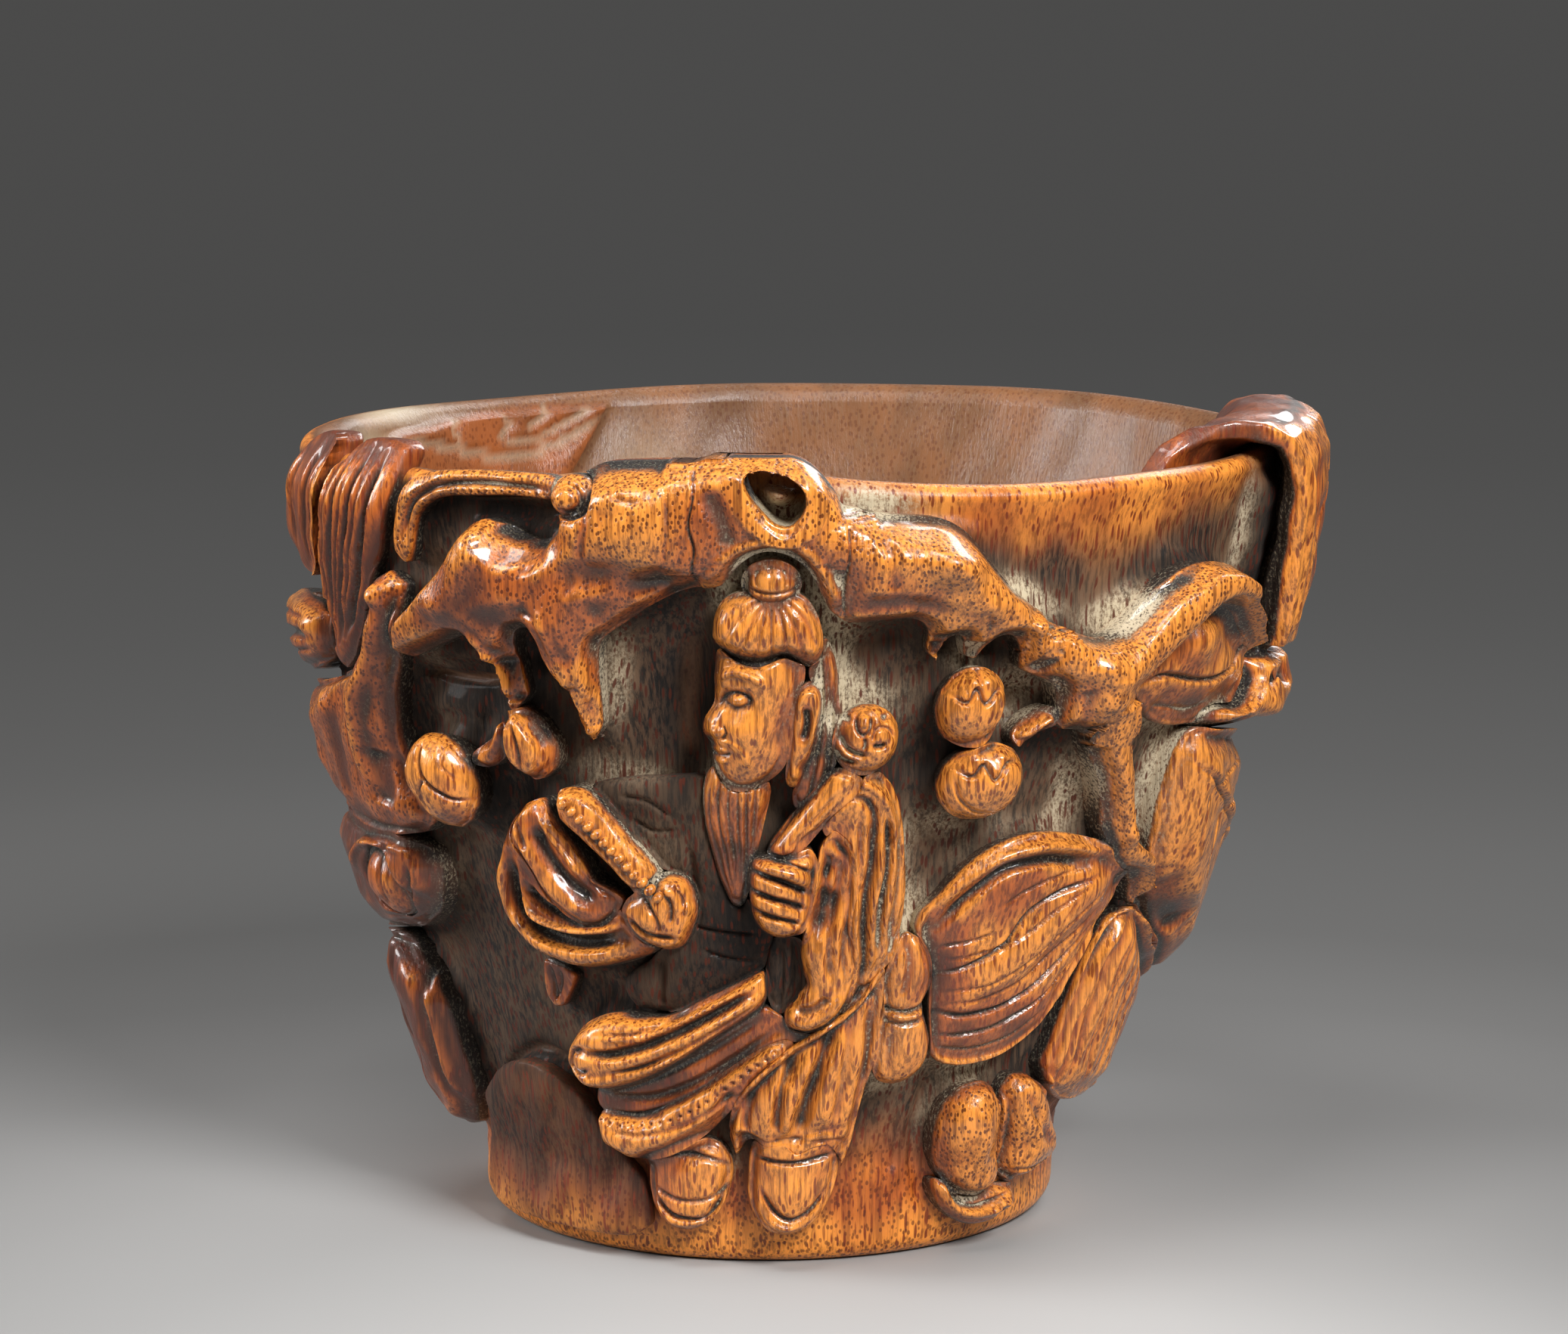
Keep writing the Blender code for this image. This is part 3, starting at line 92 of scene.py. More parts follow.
# The wall as the solid has it, in millimetres
CUP_HEIGHT = 84.0
RIM_HALF_WIDTH = 52.5
RIM_HALF_DEPTH = 48.3
FOOT_HALF_WIDTH = 30.8
FOOT_HALF_DEPTH = 29.9
FOOT_BAND = 10.0
FOOT_ROUND = 2.4
RIM_SHIFT = 2.3
RIM_CREST = 2.4
WALL_AT_RIM = 3.6
WALL_AT_FOOT = 7.0
FLOOR_THICKNESS = 9.0
BOWL_DEPTH = 14.0
FLARE_AT_FOOT = 1.1
FLARE_AT_RIM = 0.5
CREST_TURN = -10.0
CREST_SPREAD = 14.0

# The height map that the patina reads, in millimetres
MAP_TOP = 92.0
MAP_STEP = 0.3
MAP_COLUMNS = 1080
# Rounds that bring a point's place on the sheet close enough
SHEET_ROUNDS = 5


def a_length(name, description, default):
    """A length that a user can change, in metres."""
    return FloatProperty(name=name, description=description, default=default, unit="LENGTH")


def a_colour(name, description, default):
    """A colour that a user can change."""
    return FloatVectorProperty(name=name, description=description, default=default, subtype="COLOR")


def a_number(name, description, default):
    """A plain number that a user can change."""
    return FloatProperty(name=name, description=description, default=default)


class WallSettings(PropertyGroup):
    """Sizes of the plain wall."""

    columns: IntProperty(name="Columns", description="Facets round the wall", default=450, min=60)
    rows: IntProperty(name="Rows", description="Facets up the outside", default=150, min=20)
    ground_depth: a_length("Ground Depth", "Depth of the ground between foot and rim", 0.0007)
    gouge_depth: a_length("Gouge Depth", "Depth of the tool marks on the ground", 0.00016)
    rim_sway: a_length("Rim Sway", "How far the worn rim dips and rises", 0.0005)


class CarvingSettings(PropertyGroup):
    """Sizes of the carver's cuts."""

    grain: a_length("Grain", "Facet size on large pieces", 0.00026)
    fine_grain: a_length("Fine Grain", "Facet size on head and hands", 0.00017)
    swell: a_length("Swell", "Swelling that closes the gaps between solids", 0.0003)
    joint_swell: a_length("Joint Swell", "Swelling of solids that grow together", 0.00055)
    border: a_length("Border", "Width of the raised border round a hollowed piece", 0.0011)
    edge_height: a_length("Edge Height", "Height below which an edge is squared up", 0.0032)
    edge_lift: a_number("Edge Lift", "Squareness of carved edges, 1 for none", 0.6)
    shoulder: a_number("Shoulder", "Share of the carving's height that the ground rises to", 0.5)
    shoulder_reach: a_length("Shoulder Reach", "Width of the ground's rise at a carved edge", 0.0013)
    seat_depth: a_length("Seat Depth", "How far a piece is let into the wall", 0.0012)
    crease_reach: a_length("Crease Reach", "Half width of the gaps that are closed up", 0.0014)
    crease_depth: a_length("Crease Depth", "Depth left of a gap that is closed up", 0.00055)
    rounds: IntProperty(name="Smoothing", description="Rounds of smoothing on a blank", default=16, min=0)
    sway: a_length("Sway", "Unevenness of the hand-cut surfaces", 0.00013)
    bead_radius: a_length("Bead Radius", "Size of a bead in the braided cuff", 0.00085)
    bead_spacing: a_length("Bead Spacing", "Distance between the cuff's beads", 0.00105)


class PatinaSettings(PropertyGroup):
    """Colours and sizes of the aged bamboo."""

    # Bright also stands where painted light lifts the tone: on tops, at the front and in lit patches
    bright: a_colour("Bright", "Rubbed crests", (0.95, 0.33, 0.05))
    warm: a_colour("Warm", "Oiled bamboo", (0.51, 0.118, 0.018))
    # Deep also stands where painted shade lowers the tone: at the left, in shaded patches and on the shaded
    # copy
    deep: a_colour("Deep", "Oiled bamboo in the hollows", (0.095, 0.02, 0.006))
    streak: a_colour("Streak", "Fibres cut along their length", (0.18, 0.026, 0.006))
    fleck: a_colour("Fleck", "Cut ends of the fibres", (0.085, 0.014, 0.004))
    ground: a_colour("Ground", "Darkened wall", (0.115, 0.062, 0.034))
    # Soot is also the colour of the painted shade in hollows, creases and under pieces
    soot_and_shade: a_colour("Soot", "Old dirt in the creases", (0.008, 0.006, 0.005))
    dust: a_colour("Dust", "Pale dust on the ledges", (0.60, 0.50, 0.34))
    veil: a_colour("Veil", "Grey-brown film in the folds", (0.22, 0.135, 0.075))
    lining: a_colour("Lining", "Inside of the cup", (0.25, 0.105, 0.042))
    dot_spacing: a_length("Dot Spacing", "Distance between fibre ends", 0.00042)
    fleck_spacing: a_length("Fleck Spacing", "Distance between fibres", 0.0005)
    fleck_length: a_length("Fleck Length", "How far one fibre shows", 0.0036)
    gloss: FloatProperty(
        name="Gloss", description="Roughness of the rubbed crests", default=0.24, min=0.0, max=1.0)


class StageSettings(PropertyGroup):
    """Camera, floor and lights."""

    lens: a_number("Lens", "Focal length in millimetres", 116.7)
    camera_place: FloatVectorProperty(
        name="Camera Place", description="Where the camera stands", subtype="TRANSLATION",
        default=(0.00166, -0.540, 0.150))
    camera_tilt: FloatProperty(
        name="Camera Tilt", description="Turn up from looking straight down", subtype="ANGLE",
        default=math.radians(80.33))
    floor_radius: a_length("Floor Radius", "Reach of the floor", 6.0)
    key_power: a_number("Key Power", "Watts of the front right light", 6.6)
    side_power: a_number("Side Power", "Watts of the left light", 3.2)
    top_power: a_number("Top Power", "Watts of the overhead light", 2.0)
    back_power: a_number("Back Power", "Watts of the back right light", 2.6)
    sky: a_number("Sky", "Strength of the light from all round", 0.12)


# The sheet


def ease(low, high, value):
    """Smooth step from 0 at low to 1 at high."""
    share = np.clip((np.asarray(value, dtype=float) - low) / (high - low), 0.0, 1.0)
    return share * share * (3.0 - 2.0 * share)


def flare(up):
    """Share of the way from the foot's section to the rim's."""
    share = (np.asarray(up, dtype=float) - FOOT_BAND) / (CUP_HEIGHT - FOOT_BAND)
    inner = np.clip(share, 0.0, 1.0)
    square = inner * inner
    cube = square * inner
    leave = (cube - 2.0 * square + inner) * FLARE_AT_FOOT
    meet = (cube - square) * FLARE_AT_RIM
    return leave + 3.0 * square - 2.0 * cube + meet + FLARE_AT_RIM * np.maximum(share - 1.0, 0.0)


def half_sizes(up):
    """The wall's half width and half depth at a height."""
    share = flare(up)
    half_width = FOOT_HALF_WIDTH + (RIM_HALF_WIDTH - FOOT_HALF_WIDTH) * share
    half_depth = FOOT_HALF_DEPTH + (RIM_HALF_DEPTH - FOOT_HALF_DEPTH) * share
    return half_width, half_depth


def on_wall(turn, up, out):
    """Points in metres for degrees round, and millimetres up and out."""
    half_width, half_depth = half_sizes(up)
    angle = np.radians(turn)
    across = RIM_SHIFT * np.asarray(up) / CUP_HEIGHT + (half_width + out) * np.sin(angle)
    away = -(half_depth + out) * np.cos(angle)
    return np.stack(np.broadcast_arrays(across, away, up), axis=-1) * MM


def on_sheet(points):
    """Degrees round, and millimetres up and out, for points in metres."""
    up = points[:, 2] / MM
    half_width, half_depth = half_sizes(up)
    across = points[:, 0] / MM - RIM_SHIFT * up / CUP_HEIGHT
    away = -points[:, 1] / MM
    out = np.zeros(len(points))
    for _ in range(SHEET_ROUNDS):
        angle = np.arctan2(across / (half_width + out), away / (half_depth + out))
        sine, cosine = np.sin(angle), np.cos(angle)
        out = across * sine + away * cosine - half_width * sine * sine - half_depth * cosine * cosine
    return np.degrees(angle), up, out


def flat(turn, up, middle):
    """Sheet places as millimetres across and up, measured from a middle turn."""
    apart = (np.asarray(turn, dtype=float) - middle + 180.0) % 360.0 - 180.0
    return np.stack((apart * np.radians(1.0) * half_sizes(up)[0], np.asarray(up, dtype=float)), axis=-1)


def rim_height(turn):
    """The rim is level but for the crest under the bough."""
    apart = ((np.asarray(turn) - CREST_TURN + 180.0) % 360.0 - 180.0) / CREST_SPREAD
    return CUP_HEIGHT + RIM_CREST * np.exp(-apart * apart)


def wall_thickness(up):
    """The wall thins from the foot to the rim."""
    return WALL_AT_FOOT + (WALL_AT_RIM - WALL_AT_FOOT) * np.clip(np.asarray(up) / CUP_HEIGHT, 0.0, 1.0)


# Cuts: shape across, half width and rise in millimetres, and the path on the sheet

# Distance between the pits of a row, in half widths
PIT_PITCH = 3.2
# How sharply a groove narrows towards its bottom
SHARPNESS = 1.4
# Share of a path over which a cut runs out at each end, and the share of its depth left there
RUN_OUT = 0.16
END_DEPTH = 0.25
# Curve points between two places of a path
CURVE_STEPS = 10
# Slow waves left by hand tools: turns per millimetre along each axis, and where each wave starts
WAVES = (
    (0.71, 0.32, 0.55, 0.4), (-0.43, 0.83, 0.67, 1.9), (0.25, -0.61, 0.98, 3.1), (1.31, 0.57, -0.84, 5.0),
    (-0.92, 1.24, 0.61, 0.9),
)
WAVES_TOGETHER = 2.2


def cut(width, depth, *path):
    """A sharp groove."""
    return ("sharp", width, -depth, path)


def fold(width, depth, *path):
    """A soft groove."""
    return ("soft", width, -depth, path)


def ridge(width, rise, *path):
    """A soft ridge."""
    return ("soft", width, rise, path)


def knob(width, rise, *spots):
    """Round bumps, or pits if the rise is below zero."""
    return ("knob", width, rise, spots)


def dots(width, depth, *path):
    """A row of small pits along a path."""
    return ("dots", width, -depth, path)


def smooth_path(path, middle, step=0.5):
    """Even points along a smooth curve through a path, in flat millimetres."""
    turns = np.array([place[0] for place in path], dtype=float)
    ups = np.array([place[1] for place in path], dtype=float)
    knots = flat(turns, ups, middle)
    if len(knots) > 2:
        ends = np.vstack((2.0 * knots[:1] - knots[1:2], knots, 2.0 * knots[-1:] - knots[-2:-1]))
        before, here, after, later = ends[:-3], ends[1:-2], ends[2:-1], ends[3:]
        curve = []
        for share in np.linspace(0.0, 1.0, CURVE_STEPS, endpoint=False):
            square = share * share
            cube = square * share
            blend = 2.0 * here + (after - before) * share
            blend = blend + (2.0 * before - 5.0 * here + 4.0 * after - later) * square
            blend = blend + (3.0 * here - before - 3.0 * after + later) * cube
            curve.append(0.5 * blend)
        knots = np.vstack((np.stack(curve, axis=1).reshape(-1, 2), knots[-1:]))
    run = np.concatenate(((0.0,), np.cumsum(np.linalg.norm(np.diff(knots, axis=0), axis=1))))
    count = max(2, int(math.ceil(run[-1] / step)) + 1)
    stops = np.linspace(0.0, run[-1], count)
    return places_along(stops, run, knots)


def places_along(stops, run, line):
    """Places on a line at stops along it."""
    return np.stack([np.interp(stops, run, line[:, axis]) for axis in (0, 1)], axis=1)


def path_distance(places, path):
    """Distance of each place from a path, and how far along it lies, from 0 to 1."""
    nearest = np.full(len(places), 1e9)
    along = np.zeros(len(places))
    pieces = len(path) - 1
    for index in range(pieces):
        start = path[index]
        run = path[index + 1] - start
        share = np.clip(((places - start) @ run) / max(run @ run, 1e-12), 0.0, 1.0)
        apart = np.linalg.norm(places - start - share[:, None] * run, axis=1)
        closer = apart < nearest
        nearest = np.where(closer, apart, nearest)
        along = np.where(closer, (index + share) / pieces, along)
    return nearest, along


def cut_depth(turn, up, cuts, middle):
    """How far a list of cuts raises or lowers the surface at each place, in millimetres."""
    total = np.zeros(len(turn))
    places = flat(turn, up, middle)
    for shape, width, rise, path in cuts:
        if shape in ("knob", "dots"):
            if shape == "dots":
                spots = smooth_path(path, middle, step=PIT_PITCH * width)
            else:
                spots = flat([spot[0] for spot in path], [spot[1] for spot in path], middle)
            for spot in spots:
                apart = np.linalg.norm(places - spot, axis=1) / width
                total += rise * np.clip(1.0 - apart * apart, 0.0, 1.0) ** 2
            continue
        line = smooth_path(path, middle)
        low = line.min(axis=0) - width
        high = line.max(axis=0) + width
        near = np.all((places > low) & (places < high), axis=1)
        if not near.any():
            continue
        apart, along = path_distance(places[near], line)
        share = np.clip(apart / width, 0.0, 1.0)
        if shape == "sharp":
            across = (1.0 - share) ** SHARPNESS
        else:
            across = (1.0 - share * share) ** 2
        ends = np.minimum(along, 1.0 - along) / RUN_OUT
        total[near] += rise * across * (END_DEPTH + (1.0 - END_DEPTH) * ease(0.0, 1.0, ends))
    return total


def sway(points, depth):
    """A slow, even unevenness, as hand tools leave."""
    place = points / MM
    total = np.zeros(len(points))
    for x, y, z, start in WAVES:
        total += np.sin(place[:, 0] * x + place[:, 1] * y + place[:, 2] * z + start)
    return total * depth / (MM * WAVES_TOGETHER)


# Making pieces

# Maps of the carving's heights, filled in by measure_solids
SHEET = {}

# How far the finished pieces stay inside the solids' box, in metres
BOX_MARGIN = 0.02 * MM
# Carving higher than this, in millimetres, doesn't raise the ground beside it further
SHOULDER_TOP = 3.6

# Filling of the cleft between solids that grow together: map cell, least height off the wall and
# heights over which it sets in, in millimetres, then shares of the seam's half width
SEAM_CELL = 0.4
SEAM_OFF_WALL = 0.9
SEAM_HEIGHTS = (1, 2.2)
SEAM_FADE = (0.75, 1)
SEAM_BESIDE = 1.15

# A surface faces out if its normal does so by this much, and it stands this far off the wall
FACING_OUT = 0.05
FACING_HEIGHT = 1.0
# Heights off the wall, in millimetres, over which hollows and cuts set in and the seat runs out
DISH_BODY = 0.8
DISH_HEIGHTS = (1, 2)
DISH_INWARD = (0.70, 0.97)
CUT_HEIGHTS = (0.5, 1.8)
SEAT_HEIGHTS = (0.3, 1.4)

# How far the middle of a piece is hollowed inside its border, in millimetres
DISHES = {
    "leaf_large": 1.2, "leaf_narrow": 1.7, "leaf_edge_right": 0.9, "leaf_left_side": 0.6, "tongue_leaf": 0.4,
    "back_leaf_right": 1.0, "back_leaf_left": 1.0, "robe_back": 0.5, "skirt_right": 0.5,
    "sleeve_left_outer": 0.6, "sleeve_right": 0.7, "sleeve_left_flap": 0.4, "boot_left": 0.7,
    "boot_right": 0.7, "skirt_middle": 0.4, "nut_left": 0.3, "sash_end": 0.3,
}
# Tops rolled inwards: heights between which they turn, how far they rise and how far they sink
ROLLS = {"hair_cap": (69.4, 72.8, 1.5, 0.3), "leaf_left_rim": (77, 84, 2.2, 3.4)}
# Pieces given the shaded copy of the bamboo finish, painted darker as if in shade
SHADED_PIECES = (
    "twig_right", "twig_left", "nut_husk", "husk_left", "hair_back", "sash_end", "skirt_middle", "stem_left",
    "leaf_left_rim", "leaf_over_rim",
)
GROUND_PIECES = ("sleeve_lining", "torso", "mound")


def add_object(name, data):
    """A new object in the scene."""
    item = bpy.data.objects.new(name, data)
    bpy.context.scene.collection.objects.link(item)
    return item


def solids_copy(nodes, swell):
    """A merged copy of solids, swelled a little so that neighbours close up."""
    shape = bmesh.new()
    for node in nodes:
        shape.from_mesh(frame["nodes"][node].data)
    bmesh.ops.remove_doubles(shape, verts=shape.verts, dist=1e-6)
    shape.normal_update()
    for vertex in shape.verts:
        vertex.co += vertex.normal * swell
    mesh = bpy.data.meshes.new("blank")
    shape.to_mesh(mesh)
    shape.free()
    return mesh


def close_grained(mesh, grain):
    """An even, close mesh of the same shape."""
    blank = add_object("blank", mesh)
    modifier = blank.modifiers.new("grain", "REMESH")
    modifier.mode = "VOXEL"
    modifier.voxel_size = grain
    graph = bpy.context.evaluated_depsgraph_get()
    result = bpy.data.meshes.new_from_object(blank.evaluated_get(graph))
    bpy.data.objects.remove(blank, do_unlink=True)
    bpy.data.meshes.remove(mesh)
    return result


def mesh_points(mesh):
    """The mesh's vertices as an array."""
    values = np.zeros(len(mesh.vertices) * 3, dtype=np.float32)
    mesh.vertices.foreach_get("co", values)
    return values.reshape(-1, 3).astype(float)


def set_points(mesh, points):
    """Put an array back as the mesh's vertices, kept inside the solids' box."""
    low = np.array(CAD_BOX[0]) + BOX_MARGIN
    high = np.array(CAD_BOX[1]) - BOX_MARGIN
    held = np.clip(points, low, high)
    mesh.vertices.foreach_set("co", held.astype(np.float32).ravel())
    mesh.update()


def relaxed(mesh, points, rounds):
    """Points drawn towards their neighbours, which takes off the facets."""
    values = np.zeros(len(mesh.edges) * 2, dtype=np.int32)
    mesh.edges.foreach_get("vertices", values)
    first, second = values.reshape(-1, 2).T
    size = len(points)
    count = np.bincount(first, minlength=size) + np.bincount(second, minlength=size)
    for _ in range(rounds):
        total = np.empty_like(points)
        for axis in range(3):
            total[:, axis] = np.bincount(first, weights=points[second, axis], minlength=size)
            total[:, axis] += np.bincount(second, weights=points[first, axis], minlength=size)
        points = points + 0.5 * (total / count[:, None] - points)
    return points


def add_piece(name, mesh, nodes, slot):
    """Name a finished mesh, and let it stand for its solids."""
    mesh.name = name
    mesh.shade_smooth()
    piece = add_object(name, mesh)
    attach(piece, "root")
    if nodes:
        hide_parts(*nodes)
    piece["cup_slot"] = slot
    return piece


def closed_up(field, reach):
    """Heights with every gap narrower than twice the reach filled, as a lid laid over would."""
    cells = int(reach / MAP_STEP)
    steps = [(i, j) for i in range(-cells, cells + 1) for j in range(-cells, cells + 1)
             if i * i + j * j <= (reach / MAP_STEP) ** 2]
    lid = np.max([np.roll(field, step, axis=(0, 1)) for step in steps], axis=0)
    return np.min([np.roll(lid, step, axis=(0, 1)) for step in steps], axis=0)


def measure_solids(settings):
    """Map of the carving's heights with the gaps between the solids closed up."""
    nodes = [name for name in frame["nodes"] if name != "cup_body"]
    mesh = close_grained(solids_copy(nodes, settings.swell), settings.grain)
    points = relaxed(mesh, mesh_points(mesh), settings.rounds)
    bpy.data.meshes.remove(mesh)
    field = height_map([points])
    SHEET["closed"] = blurred(closed_up(field, settings.crease_reach / MM), 1.0)
    low = np.minimum(field, SHOULDER_TOP)
    SHEET["shoulder"] = settings.shoulder * blurred(low, settings.shoulder_reach / MM / MAP_STEP)


def bridged(turn, up, out, facing, seams, middle):
    """Heights with the clefts along seams filled up to the wood on either side."""
    places = flat(turn, up, middle)
    low = places.min(axis=0)
    index = ((places - low) / SEAM_CELL).astype(int)
    field = np.zeros(tuple(index.max(axis=0) + 1))
    np.maximum.at(field, (index[facing, 0], index[facing, 1]), out[facing])
    for width, path in seams:
        line = smooth_path(path, middle)
        apart, along = path_distance(places, line)
        near = (out > SEAM_OFF_WALL) & (apart < width)
        stops = np.linspace(0.0, 1.0, len(line))
        foot = places_along(along[near], stops, line)
        run = np.gradient(line, axis=0)
        run /= np.linalg.norm(run, axis=1, keepdims=True)
        square_on = np.stack((-run[:, 1], run[:, 0]), axis=1)
        across = places_along(along[near], stops, square_on)
        signed = np.sum((places[near] - foot) * across, axis=1) / width
        sides = []
        for side in (-SEAM_BESIDE, SEAM_BESIDE):
            spot = ((foot + across * side * width - low) / SEAM_CELL).astype(int)
            spot = np.clip(spot, 1, np.array(field.shape) - 2)
            nearby = [field[spot[:, 0] + i, spot[:, 1] + j] for i in (-1, 0, 1) for j in (-1, 0, 1)]
            sides.append(np.max(nearby, axis=0))
        target = sides[0] * 0.5 * (1.0 - signed) + sides[1] * 0.5 * (1.0 + signed)
        share = (1.0 - ease(*SEAM_FADE, np.abs(signed))) * ease(*SEAM_HEIGHTS, np.minimum(*sides))
        out[near] = np.maximum(out[near], out[near] + (target - out[near]) * share)
    return out


def vertex_normals(mesh, points):
    """Normals of the mesh with its vertices moved to these points."""
    mesh.vertices.foreach_set("co", points.astype(np.float32).ravel())
    mesh.update()
    normals = np.zeros(len(points) * 3, dtype=np.float32)
    mesh.vertices.foreach_get("normal", normals)
    return normals.reshape(-1, 3).astype(float)


def shaped(name, points, normals, cut_rise, middle, settings, fine, seams):
    """Points of a piece with its edges squared up, gaps closed, middle hollowed and cuts made."""
    turn, up, out = on_sheet(points)
    angle = np.radians(turn)
    outward = normals[:, 0] * np.sin(angle) - normals[:, 1] * np.cos(angle)
    facing = (outward > FACING_OUT) & (out > FACING_HEIGHT)
    if seams:
        out = bridged(turn, up, out, facing, seams, middle)
    edge = settings.edge_height / MM
    body = np.clip(out / edge, 0.0, 1.0)
    lift = 1.0 if fine else settings.edge_lift
    out = np.where(body < 1.0, edge * body ** lift, out)
    lid = read_map(SHEET["closed"], turn, up) - settings.crease_depth / MM
    out = np.where(facing, np.maximum(out, lid), out)
    if name in DISHES:
        body = blurred((height_map([points]) > DISH_BODY).astype(float), settings.border / MM / MAP_STEP)
        inward = ease(*DISH_INWARD, read_map(body, turn, up))
        out = out - DISHES[name] * inward * ease(*DISH_HEIGHTS, out)
    out = out + cut_rise * ease(*CUT_HEIGHTS, out)
    out = out - settings.seat_depth / MM * (1.0 - ease(*SEAT_HEIGHTS, out))
    if name in ROLLS:
        start, end, rise, drop = ROLLS[name]
        share = ease(start, end, up)
        up = up + rise * share
        out = out - drop * share * share
    return on_wall(turn, up, out)


def slot_of(name):
    """The material slot of a carved piece."""
    if name in GROUND_PIECES:
        return "bamboo_wall"
    # The shaded copy of the bamboo finish is painted darker, as if in shade
    return "bamboo_dim" if name in SHADED_PIECES else "bamboo_worn"


def carve(name, nodes, cuts, settings, fine=False, seams=(), along_normal=False):
    """A close-grained copy of solids with cuts in it, let into the wall."""
    grain = settings.fine_grain if fine else settings.grain
    swell = settings.joint_swell if seams or len(nodes) > 1 else settings.swell
    mesh = close_grained(solids_copy(nodes, swell), grain)
    rounds = int(settings.rounds * (settings.grain / grain) ** 2) if fine else settings.rounds
    points = relaxed(mesh, mesh_points(mesh), min(rounds, 2 * settings.rounds))
    normals = vertex_normals(mesh, points)
    points = points - normals * (swell - settings.swell)
    turn, up, _ = on_sheet(points)
    middle = float(np.degrees(np.angle(np.mean(np.exp(1j * np.radians(turn))))))
    cut_rise = cut_depth(turn, up, cuts, middle) + sway(points, settings.sway)
    if along_normal:
        points = points + normals * (cut_rise * MM)[:, None]
    else:
        points = shaped(name, points, normals, cut_rise, middle, settings, fine, seams)
    set_points(mesh, points)
    return add_piece(name + "_carved", mesh, nodes, slot_of(name))


def carve_group(group, settings, fine=False):
    """Carve every piece of a group. Each stands for the solid of the same name."""
    for name, cuts in group.items():
        carve(name, (name,), cuts, settings, fine)


# What is cut into each piece, listed under its solid

TREE = (
    knob(3.6, 1, (-33, 78.2)),
    knob(5, 0.7, (-15, 79)),
    knob(2.6, 0.8, (-16.8, 84.2)),
    ridge(3.6, 0.8, (-47, 66.8), (-42, 69.6), (-37, 73.6), (-33.5, 77.5)),
    fold(2.8, 1.6, (-31.5, 80), (-28, 77.6), (-24.8, 78.8)),
    fold(2.4, 0.9, (-28, 76), (-27, 72.5), (-27.8, 70.5)),
    fold(2.4, 2.2, (-33.4, 66), (-33, 63), (-32.8, 60.8)),
    fold(2, 1.4, (-24, 64), (-22.6, 58.6)),
    ridge(0.9, 0.5, (-25.6, 71), (-24.2, 66), (-22.7, 60)),
    ridge(0.8, 0.5, (-35, 69), (-33.6, 65), (-32.8, 61.4)),
    fold(2.4, 0.8, (-21, 71), (-16, 73.6), (-11, 75.4)),
    cut(0.5, 0.5, (-17.6, 85.6), (-16.2, 83.6), (-14, 83.2)),
    fold(0.8, 0.5, (-20.2, 85), (-19.6, 81), (-20.4, 77)),
    cut(0.3, 0.3, (-12, 85.6), (-11.6, 81), (-12, 77)),
    ridge(0.9, 1.2, (-5.6, 86), (-4.8, 83), (-2.8, 80.4), (-0.3, 79.3), (2.2, 80.9), (3, 84), (1.4, 86.4)),
    fold(1.4, 0.6, (-8, 84.5), (-6.4, 81), (-6.2, 78.6)),
    ridge(0.8, 0.5, (-8, 75.6), (-5.4, 78.2), (-2, 79.2), (1.2, 78.6), (3.4, 76), (5, 73)),
    knob(3.6, 1.3, (16.5, 77.2)),
    ridge(3.4, 0.7, (7, 78.8), (12, 77.6), (17, 76.6), (22, 73), (27, 69), (31, 66.6)),
    fold(1.6, 0.6, (7, 73), (12, 72.8), (17, 71.6)),
    fold(1, 0.4, (8.4, 80.6), (10, 77.4), (10.4, 74)),
    fold(1.6, 1.5, (20.8, 68.6), (20.9, 66.4)),
    fold(1.4, 1.5, (16.6, 68.6), (16.6, 66.8)),
    ridge(2.8, 0.9, (30, 67), (36, 65), (41, 65.4), (46, 68.6), (51, 71.3), (56, 71.4), (62, 68.4),
          (68, 64.4)),
    fold(0.8, 0.8, (36.5, 67.6), (41, 69), (45, 71.6), (50, 73.2)),
    ridge(2.4, 0.5, (37, 64), (37.4, 60)),
    fold(1.4, 0.8, (33.6, 63), (34.8, 60), (36, 57.6)),
    ridge(1.6, 0.7, (40, 57.5), (43, 53), (46, 48.4), (48.6, 44.6), (53, 42.6), (57.5, 40), (60, 37.4)),
    knob(1.5, 0.6, (47.6, 45.6), (26.8, 70)),
    cut(0.35, 0.35, (20.2, 72), (21.2, 69.6), (21.2, 67.2)),
    cut(0.24, 0.6, (-9.5, 87), (-9.2, 84), (-9.6, 81), (-9.1, 78.6), (-9.4, 76.4), (-9, 74.6)),
    cut(0.2, 0.5, (5.6, 81.4), (5.8, 77.6), (5.5, 74.6), (6, 71)),
    fold(2.6, 1.7, (-26, 84.8), (-20, 86), (-14, 86.8), (-8, 87.4), (-1, 87.8), (4.6, 85.4), (8, 82.4),
         (14, 81), (20, 78.6), (25, 74.6)),
    ridge(4.6, 0.9, (-24, 79.6), (-17, 81.2), (-11, 81.6)),
    fold(2.4, 1, (-24, 75), (-18, 75.4), (-13, 75), (-9.6, 73.6)),
)
TREE_SEAMS = (
    (3.4, ((-9.4, 87), (-9.3, 82), (-9.1, 78), (-9.1, 74.4))),
    (3.4, ((5.5, 83.6), (5.7, 80), (5.8, 75), (5.9, 70.8))),
    (3.2, ((29, 70.6), (29.3, 67), (28.4, 64))),
    (2.4, ((36.4, 58.1), (39.6, 58.1), (42.6, 58.7))),
)
TREE_NODES = ("trunk_left", "trunk_crown", "trunk_right", "bough_right", "stem_right")
TWIGS = {
    "trunk_knob": (
        cut(0.5, 0.6, (-22.9, 83.6), (-21.9, 84.5), (-20.6, 84), (-20.3, 82.8), (-21.3, 81.9),
            (-22.6, 82.4)),
    ),
    "twig_right": (),
    "twig_left": (),
}

